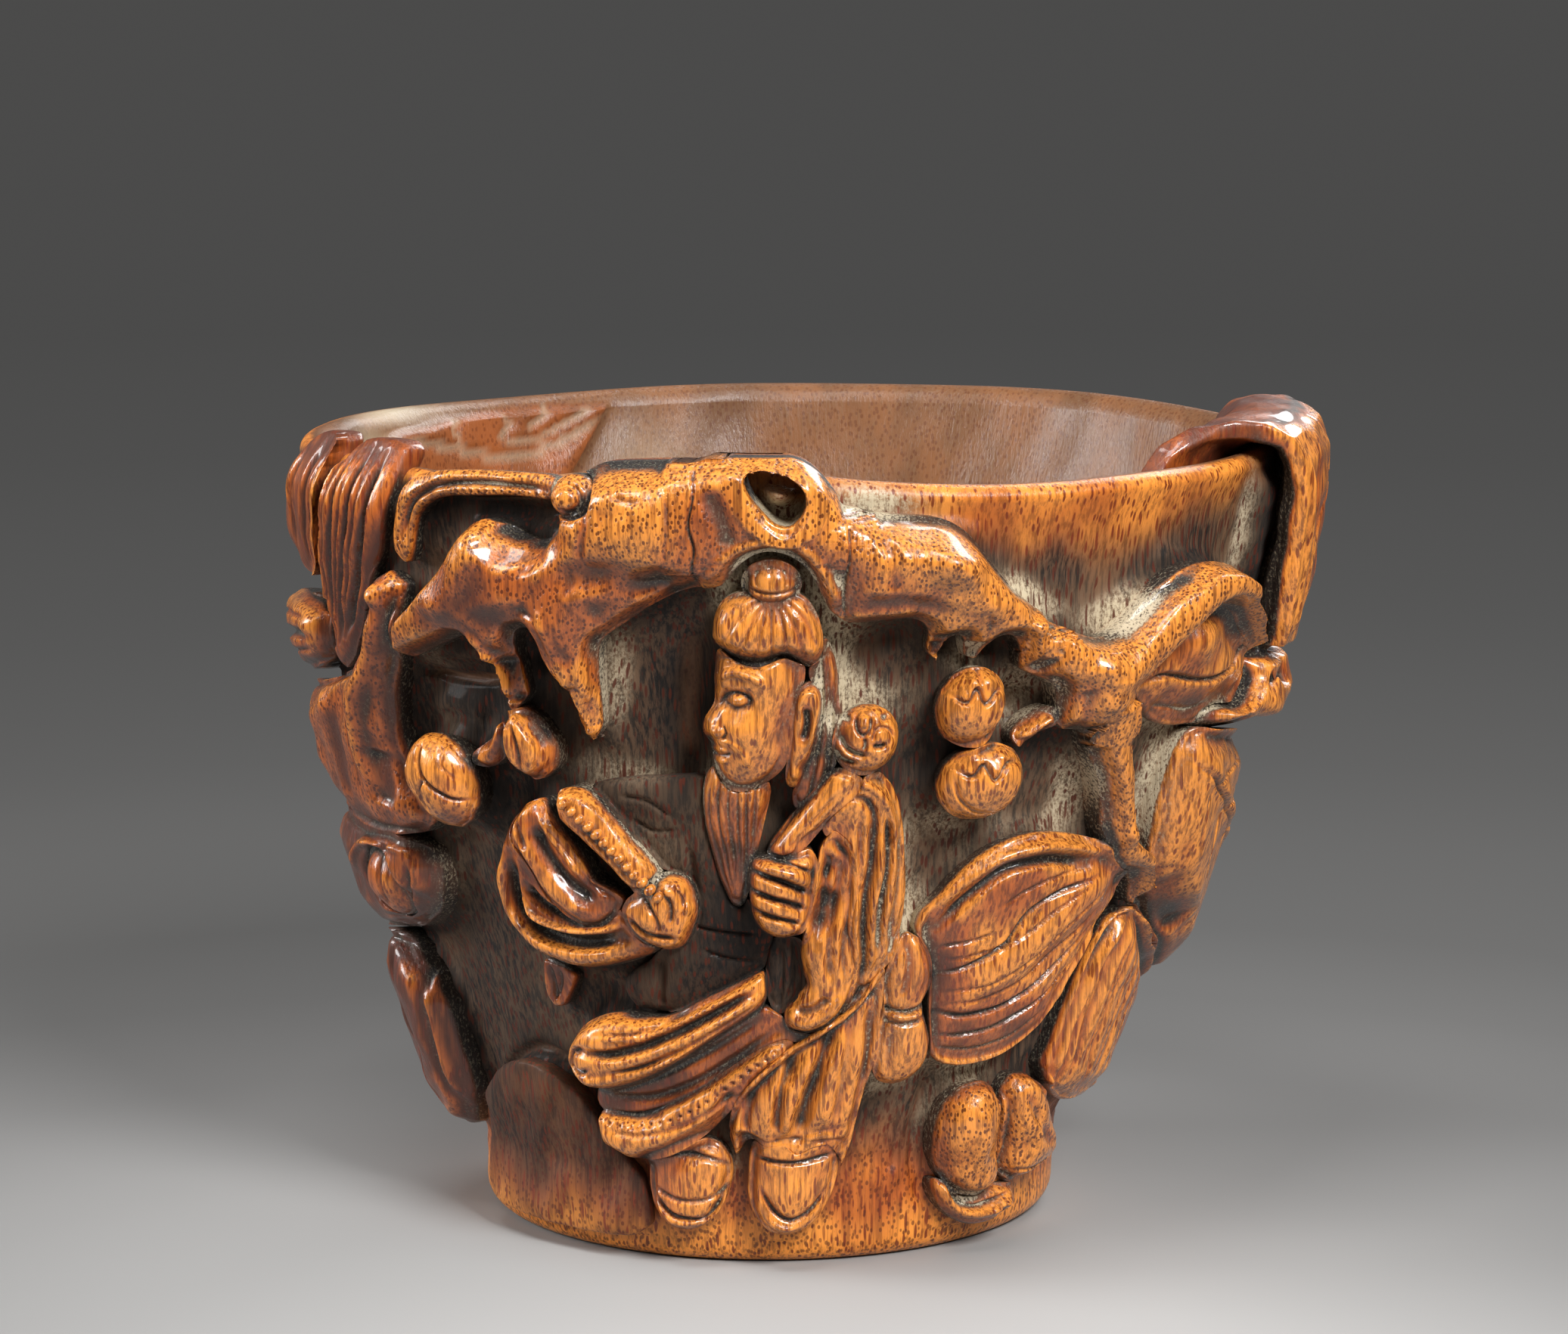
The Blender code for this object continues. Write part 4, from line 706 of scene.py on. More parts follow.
FRUITS = {
    "fruit_right_upper": (
        cut(0.45, 0.7, (17.8, 63.4), (19.6, 62.4), (20.6, 63.8), (21.6, 62.2), (23.2, 63.4), (24.4, 63)),
        cut(0.35, 0.4, (23.4, 62.8), (23.8, 60.6), (22.8, 58.2)),
        knob(1.1, 0.4, (20.2, 64.6), (22.2, 64.4)),
        cut(0.3, 0.4, (21, 65.6), (21, 64.2)),
    ),
    "fruit_right_lower": (
        cut(0.45, 0.7, (19.6, 55.4), (21.4, 54.6), (22.6, 55.8), (23.8, 54.2), (25.4, 55.8), (27.6, 55.6)),
        cut(0.35, 0.5, (19.6, 54.6), (20.4, 52.4), (22.4, 50.9), (25, 50.4)),
        knob(1.1, 0.4, (21.4, 56.6), (25, 56.8)),
    ),
    "fruit_left": (
        cut(0.45, 0.7, (-45.4, 56.2), (-45, 53.6), (-43.6, 51.8), (-41.4, 50.4), (-39.6, 50.4)),
        cut(0.4, 0.6, (-44.4, 52.4), (-45.6, 51), (-45.4, 49)),
        cut(0.3, 0.3, (-42.6, 56.4), (-42, 54), (-40.6, 52.4)),
        cut(0.3, 0.3, (-48.4, 54.6), (-47.8, 52), (-48, 49.6)),
    ),
    "pod_left": (
        cut(0.4, 0.5, (-31.8, 59.4), (-31, 56.6), (-31.4, 53.8)),
        cut(0.4, 0.5, (-30.4, 59.4), (-28.8, 57), (-29.4, 54.4)),
        ridge(0.8, 0.4, (-32.6, 59.2), (-32.6, 56.6), (-32.4, 54.6)),
    ),
    "nut_front": (
        knob(4.2, 0.5, (35.2, 14.2)),
        cut(0.35, 0.4, (39.6, 17.8), (40.8, 14.2), (42.4, 9.6)),
    ),
    "nut_side": (
        knob(4.2, 0.5, (47, 14.6)),
        fold(0.9, 0.5, (45, 17.3), (51, 12.7), (58, 9.5)),
        cut(0.35, 0.4, (47, 8.4), (52, 8.2), (57, 8.8)),
    ),
    "nut_husk": (
        ridge(0.7, 0.6, (32.2, 7.8), (34.8, 5.5), (38.8, 4.4), (44, 4.3), (49, 5.1)),
        cut(0.4, 0.5, (33.8, 7), (37.8, 5.3), (43, 5.4), (48, 5.9)),
        knob(0.8, -0.8, (45.6, 4.1)),
    ),
    "nut_left": (
        cut(0.4, 0.4, (-62, 41.6), (-61.6, 38.6), (-62.6, 36)),
    ),
    "husk_left": (
        ridge(0.8, 0.8, (-57, 43), (-63, 42.9), (-69, 41.8), (-73.6, 38.2)),
        cut(0.5, 0.6, (-56, 41.6), (-57.6, 38.6), (-62, 35.2), (-68, 34.2)),
    ),
}

HEAD = {
    "topknot": (
        cut(0.35, 0.3, (-3, 76.4), (-3.3, 75.4), (-3, 74.7)),
        cut(0.35, 0.3, (-0.6, 76.5), (-0.1, 75.4), (-0.3, 74.7)),
        cut(0.3, 0.2, (-1.8, 77), (-1.7, 75.6), (-1.7, 74.7)),
        cut(0.35, 0.5, (-4, 74.7), (-2.6, 74.2), (-1.4, 74.1), (-0.2, 74.2), (1, 74.7)),
        fold(1.2, 0.6, (-5.4, 77), (-4.7, 75.2), (-4.9, 73.4)),
        fold(1.2, 0.6, (2.2, 77), (1.5, 75.2), (1.7, 73.4)),
    ),
    "hair_cap": (
        cut(0.35, 0.35, (-2.4, 72.2), (-5, 70.8), (-6.6, 68.8)),
        cut(0.35, 0.35, (-2.2, 72), (-3.9, 70), (-5, 67.6)),
        cut(0.35, 0.35, (-2, 72), (-2.7, 69.8), (-3.3, 67.4)),
        cut(0.35, 0.35, (-1.6, 72), (-1.5, 70), (-1.5, 67.6)),
        cut(0.35, 0.35, (-1.2, 72), (-0.2, 70), (0.2, 67.9)),
        cut(0.35, 0.35, (-0.8, 72), (1, 70), (1.8, 67.4)),
        cut(0.35, 0.35, (-0.4, 72.1), (2, 70.6), (3.2, 68.2)),
        fold(1.5, 1, (-8, 69.4), (-6.6, 68.2), (-5, 67.3), (-3.4, 67), (-2, 67.1), (-0.4, 67.6),
             (1.4, 67.2), (3.4, 67.2), (4.4, 69)),
    ),
    "face": (
        fold(1.5, 0.7, (-7.2, 63.4), (-5.2, 63.1), (-3, 63.3)),
        ridge(0.65, 0.55, (-7.4, 65.1), (-5.6, 65.9), (-3.6, 65.6), (-2, 64.7)),
        knob(0.95, 0.65, (-5.3, 63), (-4.7, 63)),
        cut(0.26, 0.32, (-6.7, 62.9), (-5.8, 63.7), (-4.6, 63.8), (-3.2, 63)),
        cut(0.24, 0.25, (-6.4, 62.8), (-5, 62.3), (-3.6, 62.8)),
        ridge(0.9, 0.55, (-7.2, 64.2), (-8, 62), (-8.8, 60.2)),
        knob(0.9, 0.5, (-7.4, 59.6)),
        cut(0.28, 0.4, (-6.6, 60.5), (-6.2, 59.6), (-6.9, 58.9)),
        knob(2.4, 0.5, (-4, 60)),
        ridge(0.5, 0.3, (-7.2, 58.6), (-5.8, 58.5), (-4.4, 57.6), (-3.6, 56)),
        cut(0.2, 0.2, (-6.8, 58.6), (-5.4, 58.3), (-4.1, 57.2)),
        ridge(0.36, 0.25, (-8.2, 57.7), (-7.2, 57.8), (-6.2, 57.8)),
        cut(0.26, 0.4, (-8.4, 57.2), (-7.2, 57.15), (-6.2, 57.3), (-5.6, 57.6)),
        ridge(0.45, 0.3, (-7.9, 56.6), (-6.9, 56.5), (-6.1, 56.8)),
        cut(0.26, 0.2, (-6.6, 67.2), (-4.4, 67.6), (-2.4, 67.2)),
        cut(0.26, 0.2, (-6.8, 66.4), (-4.6, 66.8), (-2.4, 66.3)),
    ),
    "ear": (
        ridge(0.42, 0.35, (1.5, 62.2), (2, 63.6), (3, 63.8), (3.5, 62.4), (3.2, 59.8), (2.7, 57.8)),
        fold(0.6, 0.9, (2.3, 62.3), (2.5, 60.6), (2.1, 58.8)),
        knob(0.8, 0.3, (1.5, 55.2)),
    ),
    "beard": (
        cut(0.4, 0.5, (-8, 55.4), (-8.6, 51), (-7.6, 46), (-6, 41.4)),
        cut(0.4, 0.5, (-7, 56), (-7.5, 51), (-6.7, 46), (-5.7, 41.4)),
        cut(0.4, 0.5, (-6, 56.2), (-6.3, 51), (-5.8, 46), (-5.4, 42)),
        cut(0.4, 0.5, (-5, 56.2), (-5.2, 51), (-5, 46), (-5.1, 42.4)),
        cut(0.4, 0.5, (-4, 56), (-4.2, 51), (-4.2, 47), (-4.7, 43.4)),
        cut(0.4, 0.5, (-3, 55.2), (-3.2, 51.4), (-3.5, 47.6)),
        cut(0.3, 0.3, (-7.5, 54), (-8, 50), (-7.1, 45)),
        cut(0.3, 0.3, (-5.5, 55), (-5.8, 50), (-5.4, 44.6)),
    ),
    "hair_back": (
        cut(0.4, 0.45, (3.6, 68.6), (4.1, 64), (4, 58), (3, 51.6)),
        cut(0.4, 0.45, (4.5, 67.4), (4.9, 62), (4.9, 56), (4.2, 51.4)),
        cut(0.35, 0.4, (5.2, 65), (5.4, 58), (5, 52.4)),
    ),
}

ARMS = {
    "hand_right": (
        cut(0.6, 1.2, (-3.7, 45), (-1.6, 44.6), (1, 43.8), (3.4, 42.6)),
        cut(0.6, 1.2, (-3.7, 43), (-1.6, 42.5), (1, 41.8), (3.2, 40.8)),
        cut(0.6, 1.1, (-3.4, 41), (-1.6, 40.5), (1, 39.9), (2.8, 39.2)),
        fold(1.1, 0.6, (3.3, 45.8), (3.1, 42.6), (2.6, 39.4)),
        ridge(0.9, 0.7, (-2.4, 45.9), (0.2, 45.3), (2.6, 44.4), (3.6, 43.2)),
        cut(0.4, 0.6, (-1, 46.2), (1.4, 45.8), (3.6, 45)),
    ),
    "hand_left": (
        cut(0.55, 0.8, (-19.4, 39.4), (-16.8, 37.9), (-13, 37.4)),
        cut(0.45, 0.7, (-14.8, 43), (-13.4, 41.2), (-13.6, 39)),
        cut(0.45, 0.7, (-13.2, 43.4), (-12, 41.6), (-12, 39.6)),
        cut(0.45, 0.6, (-16.8, 41.8), (-15.2, 39.8), (-15, 38)),
        knob(0.9, 0.5, (-12.6, 42.8), (-11.6, 40.6), (-14.2, 42.4)),
    ),
    "forearm": (
        fold(0.6, 0.5, (-24.8, 49.8), (-21.6, 47.2), (-18.4, 44.2), (-15.4, 41.4)),
    ),
    "sleeve_right": (
        fold(0.9, 0.9, (7.6, 46.8), (7.2, 41.6), (6.6, 36.4), (7.6, 32.4)),
        fold(0.6, 0.6, (6, 46), (5.9, 41), (5.2, 36.6)),
        fold(0.6, 0.5, (8.6, 44), (8.4, 39), (8.6, 35), (9.4, 32.6)),
        ridge(1, 0.7, (1.6, 28.3), (4.4, 28.1), (7.2, 29.3), (9.2, 31.4)),
        fold(0.8, 0.6, (2.6, 29.6), (5, 29.8), (7.2, 31.2)),
    ),
    "sleeve_lining": (
        cut(0.4, 0.5, (0.6, 36.6), (0.8, 33), (0.6, 29.6)),
        cut(0.4, 0.5, (2.2, 37), (2.4, 33), (1.8, 30)),
    ),
    "staff_head": (
        cut(0.6, 1, (6.3, 59.4), (6.8, 58.3), (7.8, 57.6), (9.2, 57.2)),
        cut(0.5, 0.9, (5.9, 57.8), (6.6, 56.9), (8.2, 56.4)),
        cut(0.4, 0.7, (7.9, 61.4), (7.9, 60.1), (8.6, 59.4), (9.3, 60.1), (9.4, 61.4)),
        ridge(0.6, 0.5, (8.6, 61.4), (8.6, 60.2)),
        cut(0.45, 0.7, (8.7, 59.2), (8.9, 58.4), (8.6, 57.8)),
        cut(0.55, 0.9, (9.7, 58.4), (10.5, 58.2), (11.2, 58.5)),
        cut(0.35, 0.6, (9.5, 58.6), (9.8, 59.8), (10.6, 60.2), (11.6, 59.8), (12.2, 58.8)),
        knob(0.7, -0.8, (11, 61)),
        knob(0.5, -0.5, (7, 60.9)),
    ),
    "staff_shaft": (
        cut(0.4, 0.4, (6.4, 53.2), (3.4, 50), (0.6, 46.8)),
    ),
    "sleeve_left_flap": (
        ridge(0.9, 0.9, (-30.2, 50.2), (-28, 47.2), (-25.6, 44.4), (-22.6, 41.6)),
        fold(1.2, 1.1, (-31.2, 48.6), (-29.4, 45), (-26.6, 42.2), (-23.8, 40.4)),
        ridge(1.2, 0.6, (-33.4, 47), (-31.4, 43.2), (-28.4, 40.4), (-25, 39.2)),
        fold(0.6, 0.5, (-33.8, 48.6), (-32.4, 45.6)),
    ),
    "sleeve_left_outer": (
        ridge(1.3, 0.9, (-37.8, 45), (-38.8, 41.4), (-38.2, 38.2), (-35.6, 35.6), (-31, 34.3),
              (-25, 34.3), (-19, 35.6)),
        fold(1.2, 1.7, (-36.2, 44.6), (-37, 41), (-36.2, 38.4), (-33, 36.4), (-27, 35.9), (-21, 36.8)),
        ridge(0.6, 0.9, (-35.4, 39.8), (-33.4, 38), (-29, 37.2), (-24, 37.4), (-20.6, 38.4)),
        fold(0.9, 1.2, (-34.6, 41.4), (-31, 39.2), (-26, 38)),
    ),
    "sash_end": (
        cut(0.4, 0.5, (-35.4, 32.4), (-35, 30.4), (-35.6, 28.2)),
        cut(0.4, 0.4, (-33.6, 32), (-33.9, 30.4), (-35, 28.8)),
    ),
}

ROBE = {
    "robe_back": (
        ridge(0.6, 0.6, (6.8, 54.2), (9.4, 54), (11.8, 52.6), (13.4, 50), (14.2, 47)),
        fold(0.6, 0.6, (7.4, 52.8), (9.6, 52.4), (11.2, 50.6), (12, 47.6)),
        fold(0.8, 1, (10.4, 52), (11.2, 46.6), (10.8, 41), (11.6, 35), (11.2, 30.8)),
        fold(0.7, 0.9, (12.6, 51), (13.4, 45.6), (13, 40), (13.6, 35)),
        fold(0.6, 0.7, (14.6, 48.6), (15.2, 43.4), (14.9, 38.6), (15.4, 35.8)),
        fold(0.5, 0.6, (9.2, 51), (9.8, 46), (9.9, 41)),
        ridge(0.6, 0.5, (12, 50), (12.4, 45), (12, 39.6), (12.6, 34)),
    ),
    "pouch": (
        cut(0.5, 0.8, (15.6, 29.5), (17.2, 29), (19.4, 28.9), (21.9, 29.4)),
        ridge(0.4, 0.4, (15.8, 28.7), (17.4, 28.3), (19.4, 28.2), (21.9, 28.7)),
        cut(0.4, 0.6, (15.9, 28), (17.6, 27.6), (19.4, 27.5), (22.1, 27.9)),
        fold(0.6, 0.5, (17.8, 36.6), (18.2, 33), (17.6, 30.4)),
        fold(0.6, 0.4, (17.2, 26.8), (17, 24), (17.6, 21.6)),
        cut(0.3, 0.4, (19.8, 35.6), (20.8, 32.6), (20.2, 30.2)),
    ),
    "skirt_right": (
        ridge(0.6, 0.9, (14.6, 33.6), (12.6, 30.8), (9.6, 28.4), (5.6, 26.4), (1.2, 24), (-2.6, 21.6),
              (-5.6, 18.6)),
        fold(1.1, 1.4, (8.6, 27.6), (7, 23.6), (5.2, 19.6), (4.2, 15.2)),
        fold(0.9, 1, (3.2, 24.6), (1.4, 20.4), (0.4, 15.4)),
        fold(0.6, 0.5, (13.4, 31), (13.8, 25), (13.2, 18), (12.6, 13.4)),
        fold(0.8, 0.6, (10.8, 28.4), (10.6, 22), (9.8, 16.4)),
        fold(0.7, 0.6, (-3, 20.6), (-4.2, 17.2), (-3.8, 15.6)),
        ridge(0.8, 0.6, (12.4, 12.2), (11, 14), (8.8, 15.2), (6.6, 15.1), (4.6, 14.2)),
        ridge(1, 0.5, (8.4, 24.4), (8, 20), (7.4, 16.6)),
        ridge(0.7, 0.5, (2.2, 21.8), (2, 18), (2.2, 15.2)),
        ridge(0.6, 0.5, (-5.6, 16.6), (-5.9, 14.6), (-5.8, 13.2)),
    ),
    "skirt_roll": (
        fold(0.9, 1.5, (-29, 24), (-24, 24), (-18, 25.4), (-10, 28.4), (-2, 32.2)),
        cut(0.5, 0.7, (-25, 22), (-19, 23), (-12, 25.6), (-6, 28.4), (-2.2, 30.6)),
        cut(0.45, 0.6, (-26, 26), (-20, 26.5), (-13, 28.6), (-5, 32)),
        cut(0.5, 0.9, (-28.6, 24.2), (-30.8, 23.6), (-31.2, 22.2), (-29.4, 21.6), (-27.6, 22.2)),
        ridge(0.9, 0.6, (-31, 21), (-27, 20.6), (-20, 22), (-12, 25)),
        fold(0.8, 0.7, (-25, 25), (-22, 25.2), (-19.6, 26)),
    ),
    "skirt_hem": (
        dots(0.34, 0.55, (-28.4, 16), (-23, 15.7), (-17, 16.7), (-11, 18.8), (-5, 22), (0, 24.8)),
        fold(0.5, 0.4, (-28, 15.2), (-22, 14.9), (-16, 15.9), (-10, 18), (-5, 21)),
    ),
    "skirt_middle": (
        fold(0.7, 0.5, (-27, 18.6), (-18, 19.2), (-8, 22.8), (0, 27)),
        fold(0.6, 0.4, (-20, 20.6), (-10, 24.4), (-2, 28.4)),
    ),
    "torso": (
        cut(0.4, 0.7, (-12, 38.2), (-8, 37.7), (-3, 37.6)),
        cut(0.4, 0.6, (-10.4, 35.6), (-7, 34.8), (-3, 34.6)),
        fold(0.9, 0.8, (-16.8, 34.4), (-17, 31), (-17.2, 29)),
        fold(0.7, 0.6, (-11.6, 47), (-11.2, 43), (-11, 38.6)),
        cut(0.4, 0.5, (-20, 52), (-16.6, 51.6), (-13.6, 50)),
        cut(0.4, 0.5, (-18.6, 49.4), (-16, 48.4), (-13.4, 48.6)),
    ),
    "boot_left": (
        cut(0.5, 0.7, (-21.4, 12), (-16, 12.9), (-11, 12.6), (-7.2, 11.6)),
        cut(0.45, 0.6, (-20.8, 9), (-16, 8), (-11, 8), (-7, 9.4)),
        cut(0.5, 0.8, (-20.6, 8.4), (-17.6, 6.4), (-14, 5.8), (-11, 6), (-8.2, 8.2)),
        ridge(0.7, 0.4, (-20.8, 7.2), (-17, 5.2), (-13, 5), (-9.6, 6.8)),
    ),
    "boot_right": (
        cut(0.5, 0.8, (-2.6, 12.8), (1, 12.4), (5, 12.4), (10.4, 13)),
        cut(0.5, 0.8, (-1.8, 9.4), (0.4, 7.2), (3.4, 6), (6.8, 6.9), (9.4, 9)),
        ridge(0.7, 0.5, (-2.6, 8), (-0.4, 5.8), (3.2, 4.8), (7.4, 5.8), (10.2, 8.6)),
        knob(2.6, 0.4, (3.6, 9.4)),
    ),
    "mound": (),
}

LEAVES = {
    "leaf_large": (
        ridge(1.1, 1.2, (20.4, 38.6), (24.4, 42.2), (29, 44.7), (35, 45.6), (41, 45), (48, 43.6)),
        fold(0.9, 1.1, (22.4, 37.6), (26.4, 41), (31, 43.4), (37, 43.9), (44, 42.8)),
        ridge(3.4, 1.2, (28.6, 30.4), (35, 33), (41, 37), (48, 41)),
        cut(0.45, 0.7, (46, 41.4), (40, 40.2), (36, 38.4), (33, 35), (28, 33), (23.4, 32.2)),
        cut(0.35, 0.4, (31.4, 36.4), (27, 35.7), (23.4, 35.4)),
        cut(0.35, 0.4, (44, 42.6), (37, 41.6), (31, 39.4)),
        cut(0.5, 0.8, (24.4, 28), (30, 27.4), (37, 28.2), (43, 31), (49, 35.6)),
        cut(0.4, 0.6, (25.2, 25.4), (30, 25.2), (37, 26), (44, 28.6), (49.6, 32.4)),
        cut(0.35, 0.4, (26, 24), (32, 23.4), (39, 24.2), (45, 26.6)),
        cut(0.3, 0.4, (47.6, 39.6), (43, 36.6), (38, 33.2), (32, 30.8), (25, 30.2)),
        cut(0.3, 0.4, (48.6, 37.8), (43.6, 34), (38, 30.8), (32, 29.2), (26, 28.8)),
        cut(0.3, 0.4, (45, 40.8), (40, 38.4), (36, 36), (30.6, 34.4), (24.4, 33.8)),
        cut(0.3, 0.3, (38, 39), (36.4, 36.4), (36.6, 33.4)),
        cut(0.3, 0.3, (43, 39.6), (41, 36.6), (40.8, 33.6)),
        cut(0.3, 0.3, (34.4, 36.6), (32.6, 33.6), (32.8, 30.8)),
        ridge(0.8, 0.5, (47.6, 26.6), (49.6, 30.6), (52, 35)),
    ),
    "leaf_narrow": (
        ridge(0.8, 0.8, (58.6, 35), (55.4, 31.6), (54, 26.6), (52.8, 20), (53.4, 16.4)),
        fold(0.9, 1, (58.8, 33.6), (56.2, 28.6), (55, 22), (55.4, 16.6)),
        fold(0.8, 0.8, (60, 34.6), (57.8, 29), (57, 23), (57.4, 17.2)),
        fold(0.8, 0.7, (63.4, 33.2), (62.2, 27), (62.4, 20), (64, 15.4)),
        fold(0.8, 0.7, (69.6, 30.4), (69, 24), (70, 16.4)),
        fold(0.8, 0.7, (77, 27.6), (77, 21), (78, 14.8)),
        cut(0.35, 0.4, (61.4, 33.6), (60, 27), (60, 18)),
        cut(0.35, 0.4, (66.4, 31.4), (65.6, 25), (66.6, 15.6)),
        cut(0.35, 0.4, (73.4, 28.8), (73, 22), (74, 15)),
    ),
    "leaf_edge_right": (
        ridge(1.6, 0.6, (60.4, 52.6), (70, 47.6), (82, 42), (95, 35.4)),
        cut(0.5, 0.7, (60.4, 52), (70, 47), (82, 41.4), (95, 34.8)),
        cut(0.35, 0.5, (67, 48.6), (74, 49.8), (82, 49)),
        cut(0.35, 0.5, (74, 45.2), (82, 46), (90, 44.4)),
        cut(0.35, 0.5, (82, 41.4), (88, 42), (95, 40.6)),
        cut(0.35, 0.5, (66, 49), (65.6, 45), (67.6, 41)),
        cut(0.35, 0.5, (73, 45.6), (73, 40.6), (76, 36.4)),
        cut(0.35, 0.5, (81, 41.8), (82, 37), (86, 32.6)),
        fold(2.2, 2.2, (64, 38.8), (68, 35.6), (74, 33.2), (80, 31.4)),
    ),
    "tongue_leaf": (
        knob(3.4, 0.9, (54, 65.4)),
        cut(0.5, 0.9, (45.4, 61.8), (49, 62.5), (55, 61.4), (60, 61.1), (64.6, 62), (65.6, 64.6)),
        fold(3, 1, (47.4, 59.4), (54, 58.2), (61, 57.8), (68, 58.8)),
        cut(0.35, 0.3, (49, 59.3), (53, 58.6), (57, 57.9), (61, 58.3)),
    ),
    "rim_ribbon": (
        fold(0.6, 0.8, (-25, 83.4), (-31, 83.7), (-37, 83.4), (-41, 82.4), (-44, 80.4), (-46, 77)),
        dots(0.3, 0.4, (-25, 82.9), (-31, 83), (-37, 82.6)),
    ),
    "leaf_left_side": (
        knob(2, 1, (-50.4, 71)),
        ridge(1.3, 1, (-50, 70), (-52, 66.6), (-55, 62.4), (-57.6, 58.6), (-59.6, 54), (-60, 49)),
        fold(2.6, 1.2, (-57.4, 54), (-57.6, 50.6), (-58.4, 47.4)),
        fold(2.2, 0.7, (-62, 60), (-66, 55.6), (-68, 50.6), (-68, 46.4)),
        ridge(2.4, 0.5, (-68, 58.6), (-76, 53.8), (-79, 48)),
        fold(1.6, 0.7, (-80, 56), (-88, 51.6), (-90, 47)),
        cut(0.3, 0.3, (-58.4, 60.6), (-61.6, 55.6), (-62.6, 49.8)),
    ),
    "leaf_left_back": (
        fold(0.9, 0.9, (-70, 64.2), (-80, 63.4), (-92, 61.8), (-100, 60.8)),
        cut(0.4, 0.5, (-71, 66), (-81, 65.4), (-94, 63.8)),
        cut(0.4, 0.5, (-71, 62.6), (-81, 61.2), (-94, 59.6)),
    ),
    "stem_left": (
        fold(0.7, 0.8, (-71, 30), (-70, 22), (-70.4, 12)),
        fold(0.8, 0.9, (-78, 30), (-76.6, 20), (-76, 11)),
        cut(0.4, 0.5, (-83, 29), (-82, 20), (-81, 13)),
    ),
    "back_bough_right": (
        ridge(2.6, 0.7, (112, 63), (122, 66.5), (132, 66), (142, 62.5), (152, 60.5)),
        knob(2.4, 0.8, (124, 67), (144, 62.4)),
        cut(0.5, 0.6, (118, 64.4), (126, 65.6), (134, 64.4), (146, 60.8)),
    ),
    "back_bough_left": (
        ridge(2.6, 0.7, (-108, 71), (-118, 67.5), (-128, 66.5), (-138, 68.5), (-148, 68)),
        knob(2.4, 0.8, (-120, 67.6), (-140, 69)),
        cut(0.5, 0.6, (-112, 68.6), (-122, 65.8), (-132, 65.8), (-144, 67)),
    ),
    "back_leaf_right": (
        cut(0.6, 1, (163, 59.6), (170, 55.6), (178, 49.4), (185.4, 41)),
        cut(0.4, 0.6, (170, 55.6), (174, 57.4), (177, 57.6)),
        cut(0.4, 0.6, (174.4, 52.4), (179, 53.4), (182, 53)),
        cut(0.4, 0.6, (178.6, 48.8), (182.4, 49), (185, 47.6)),
        cut(0.4, 0.6, (170, 55.6), (168.6, 52.6), (168.4, 49.6)),
        cut(0.4, 0.6, (174.4, 52.4), (173.6, 48.8), (174.4, 45.4)),
        cut(0.4, 0.6, (178.6, 48.8), (178.6, 45.6), (180, 42.6)),
    ),
    "back_leaf_left": (
        cut(0.6, 1, (-151, 60.6), (-146, 55.6), (-139, 48.6), (-132, 40.8)),
        cut(0.4, 0.6, (-146, 55.6), (-142.6, 57), (-140, 56.4)),
        cut(0.4, 0.6, (-142.2, 51.8), (-138.4, 52.6), (-135.8, 51.6)),
        cut(0.4, 0.6, (-138.4, 47.8), (-135.2, 47.8), (-132.8, 46.4)),
        cut(0.4, 0.6, (-146, 55.6), (-148, 52.6), (-149.6, 50.4)),
        cut(0.4, 0.6, (-142.2, 51.8), (-143.6, 48.6), (-144.4, 45.8)),
        cut(0.4, 0.6, (-138.4, 47.8), (-138.8, 44.8), (-138.6, 42)),
    ),
}

LEFT_RIM_CUTS = (
    fold(0.7, 1.1, (-50.4, 83), (-52.4, 77), (-56, 70.6), (-61, 65.2)),
    fold(0.7, 1.1, (-53.4, 83.4), (-55.6, 77), (-58.8, 70.6), (-62.8, 64.4)),
    fold(0.7, 1, (-56.8, 83.2), (-58.8, 77), (-61.6, 70.6), (-64.8, 63.6)),
    fold(0.8, 1, (-61, 82.6), (-62.8, 76.6), (-65, 70), (-66, 64)),
    fold(0.9, 0.9, (-66, 82.4), (-67.6, 77.6), (-68.4, 72.4)),
    fold(0.9, 0.8, (-71, 81.6), (-73, 77.4), (-73, 72.8)),
    cut(0.35, 0.5, (-51.8, 83.2), (-54, 77), (-57.4, 70.6), (-62, 64.8)),
    cut(0.35, 0.5, (-55, 83.2), (-57.1, 77), (-60.1, 70.6), (-63.8, 64)),
    cut(0.35, 0.5, (-59, 83), (-60.8, 77), (-63.2, 70.6), (-65.6, 63.6)),
    cut(0.35, 0.5, (-63.4, 82.4), (-65.4, 77), (-66.8, 72)),
)
LEFT_RIM_SEAMS = ((2.6, ((-61.6, 83.6), (-63.2, 79.4), (-65, 74.6), (-66, 71))),)
LEFT_RIM_NODES = ("leaf_left_rim", "rim_lobe_left")

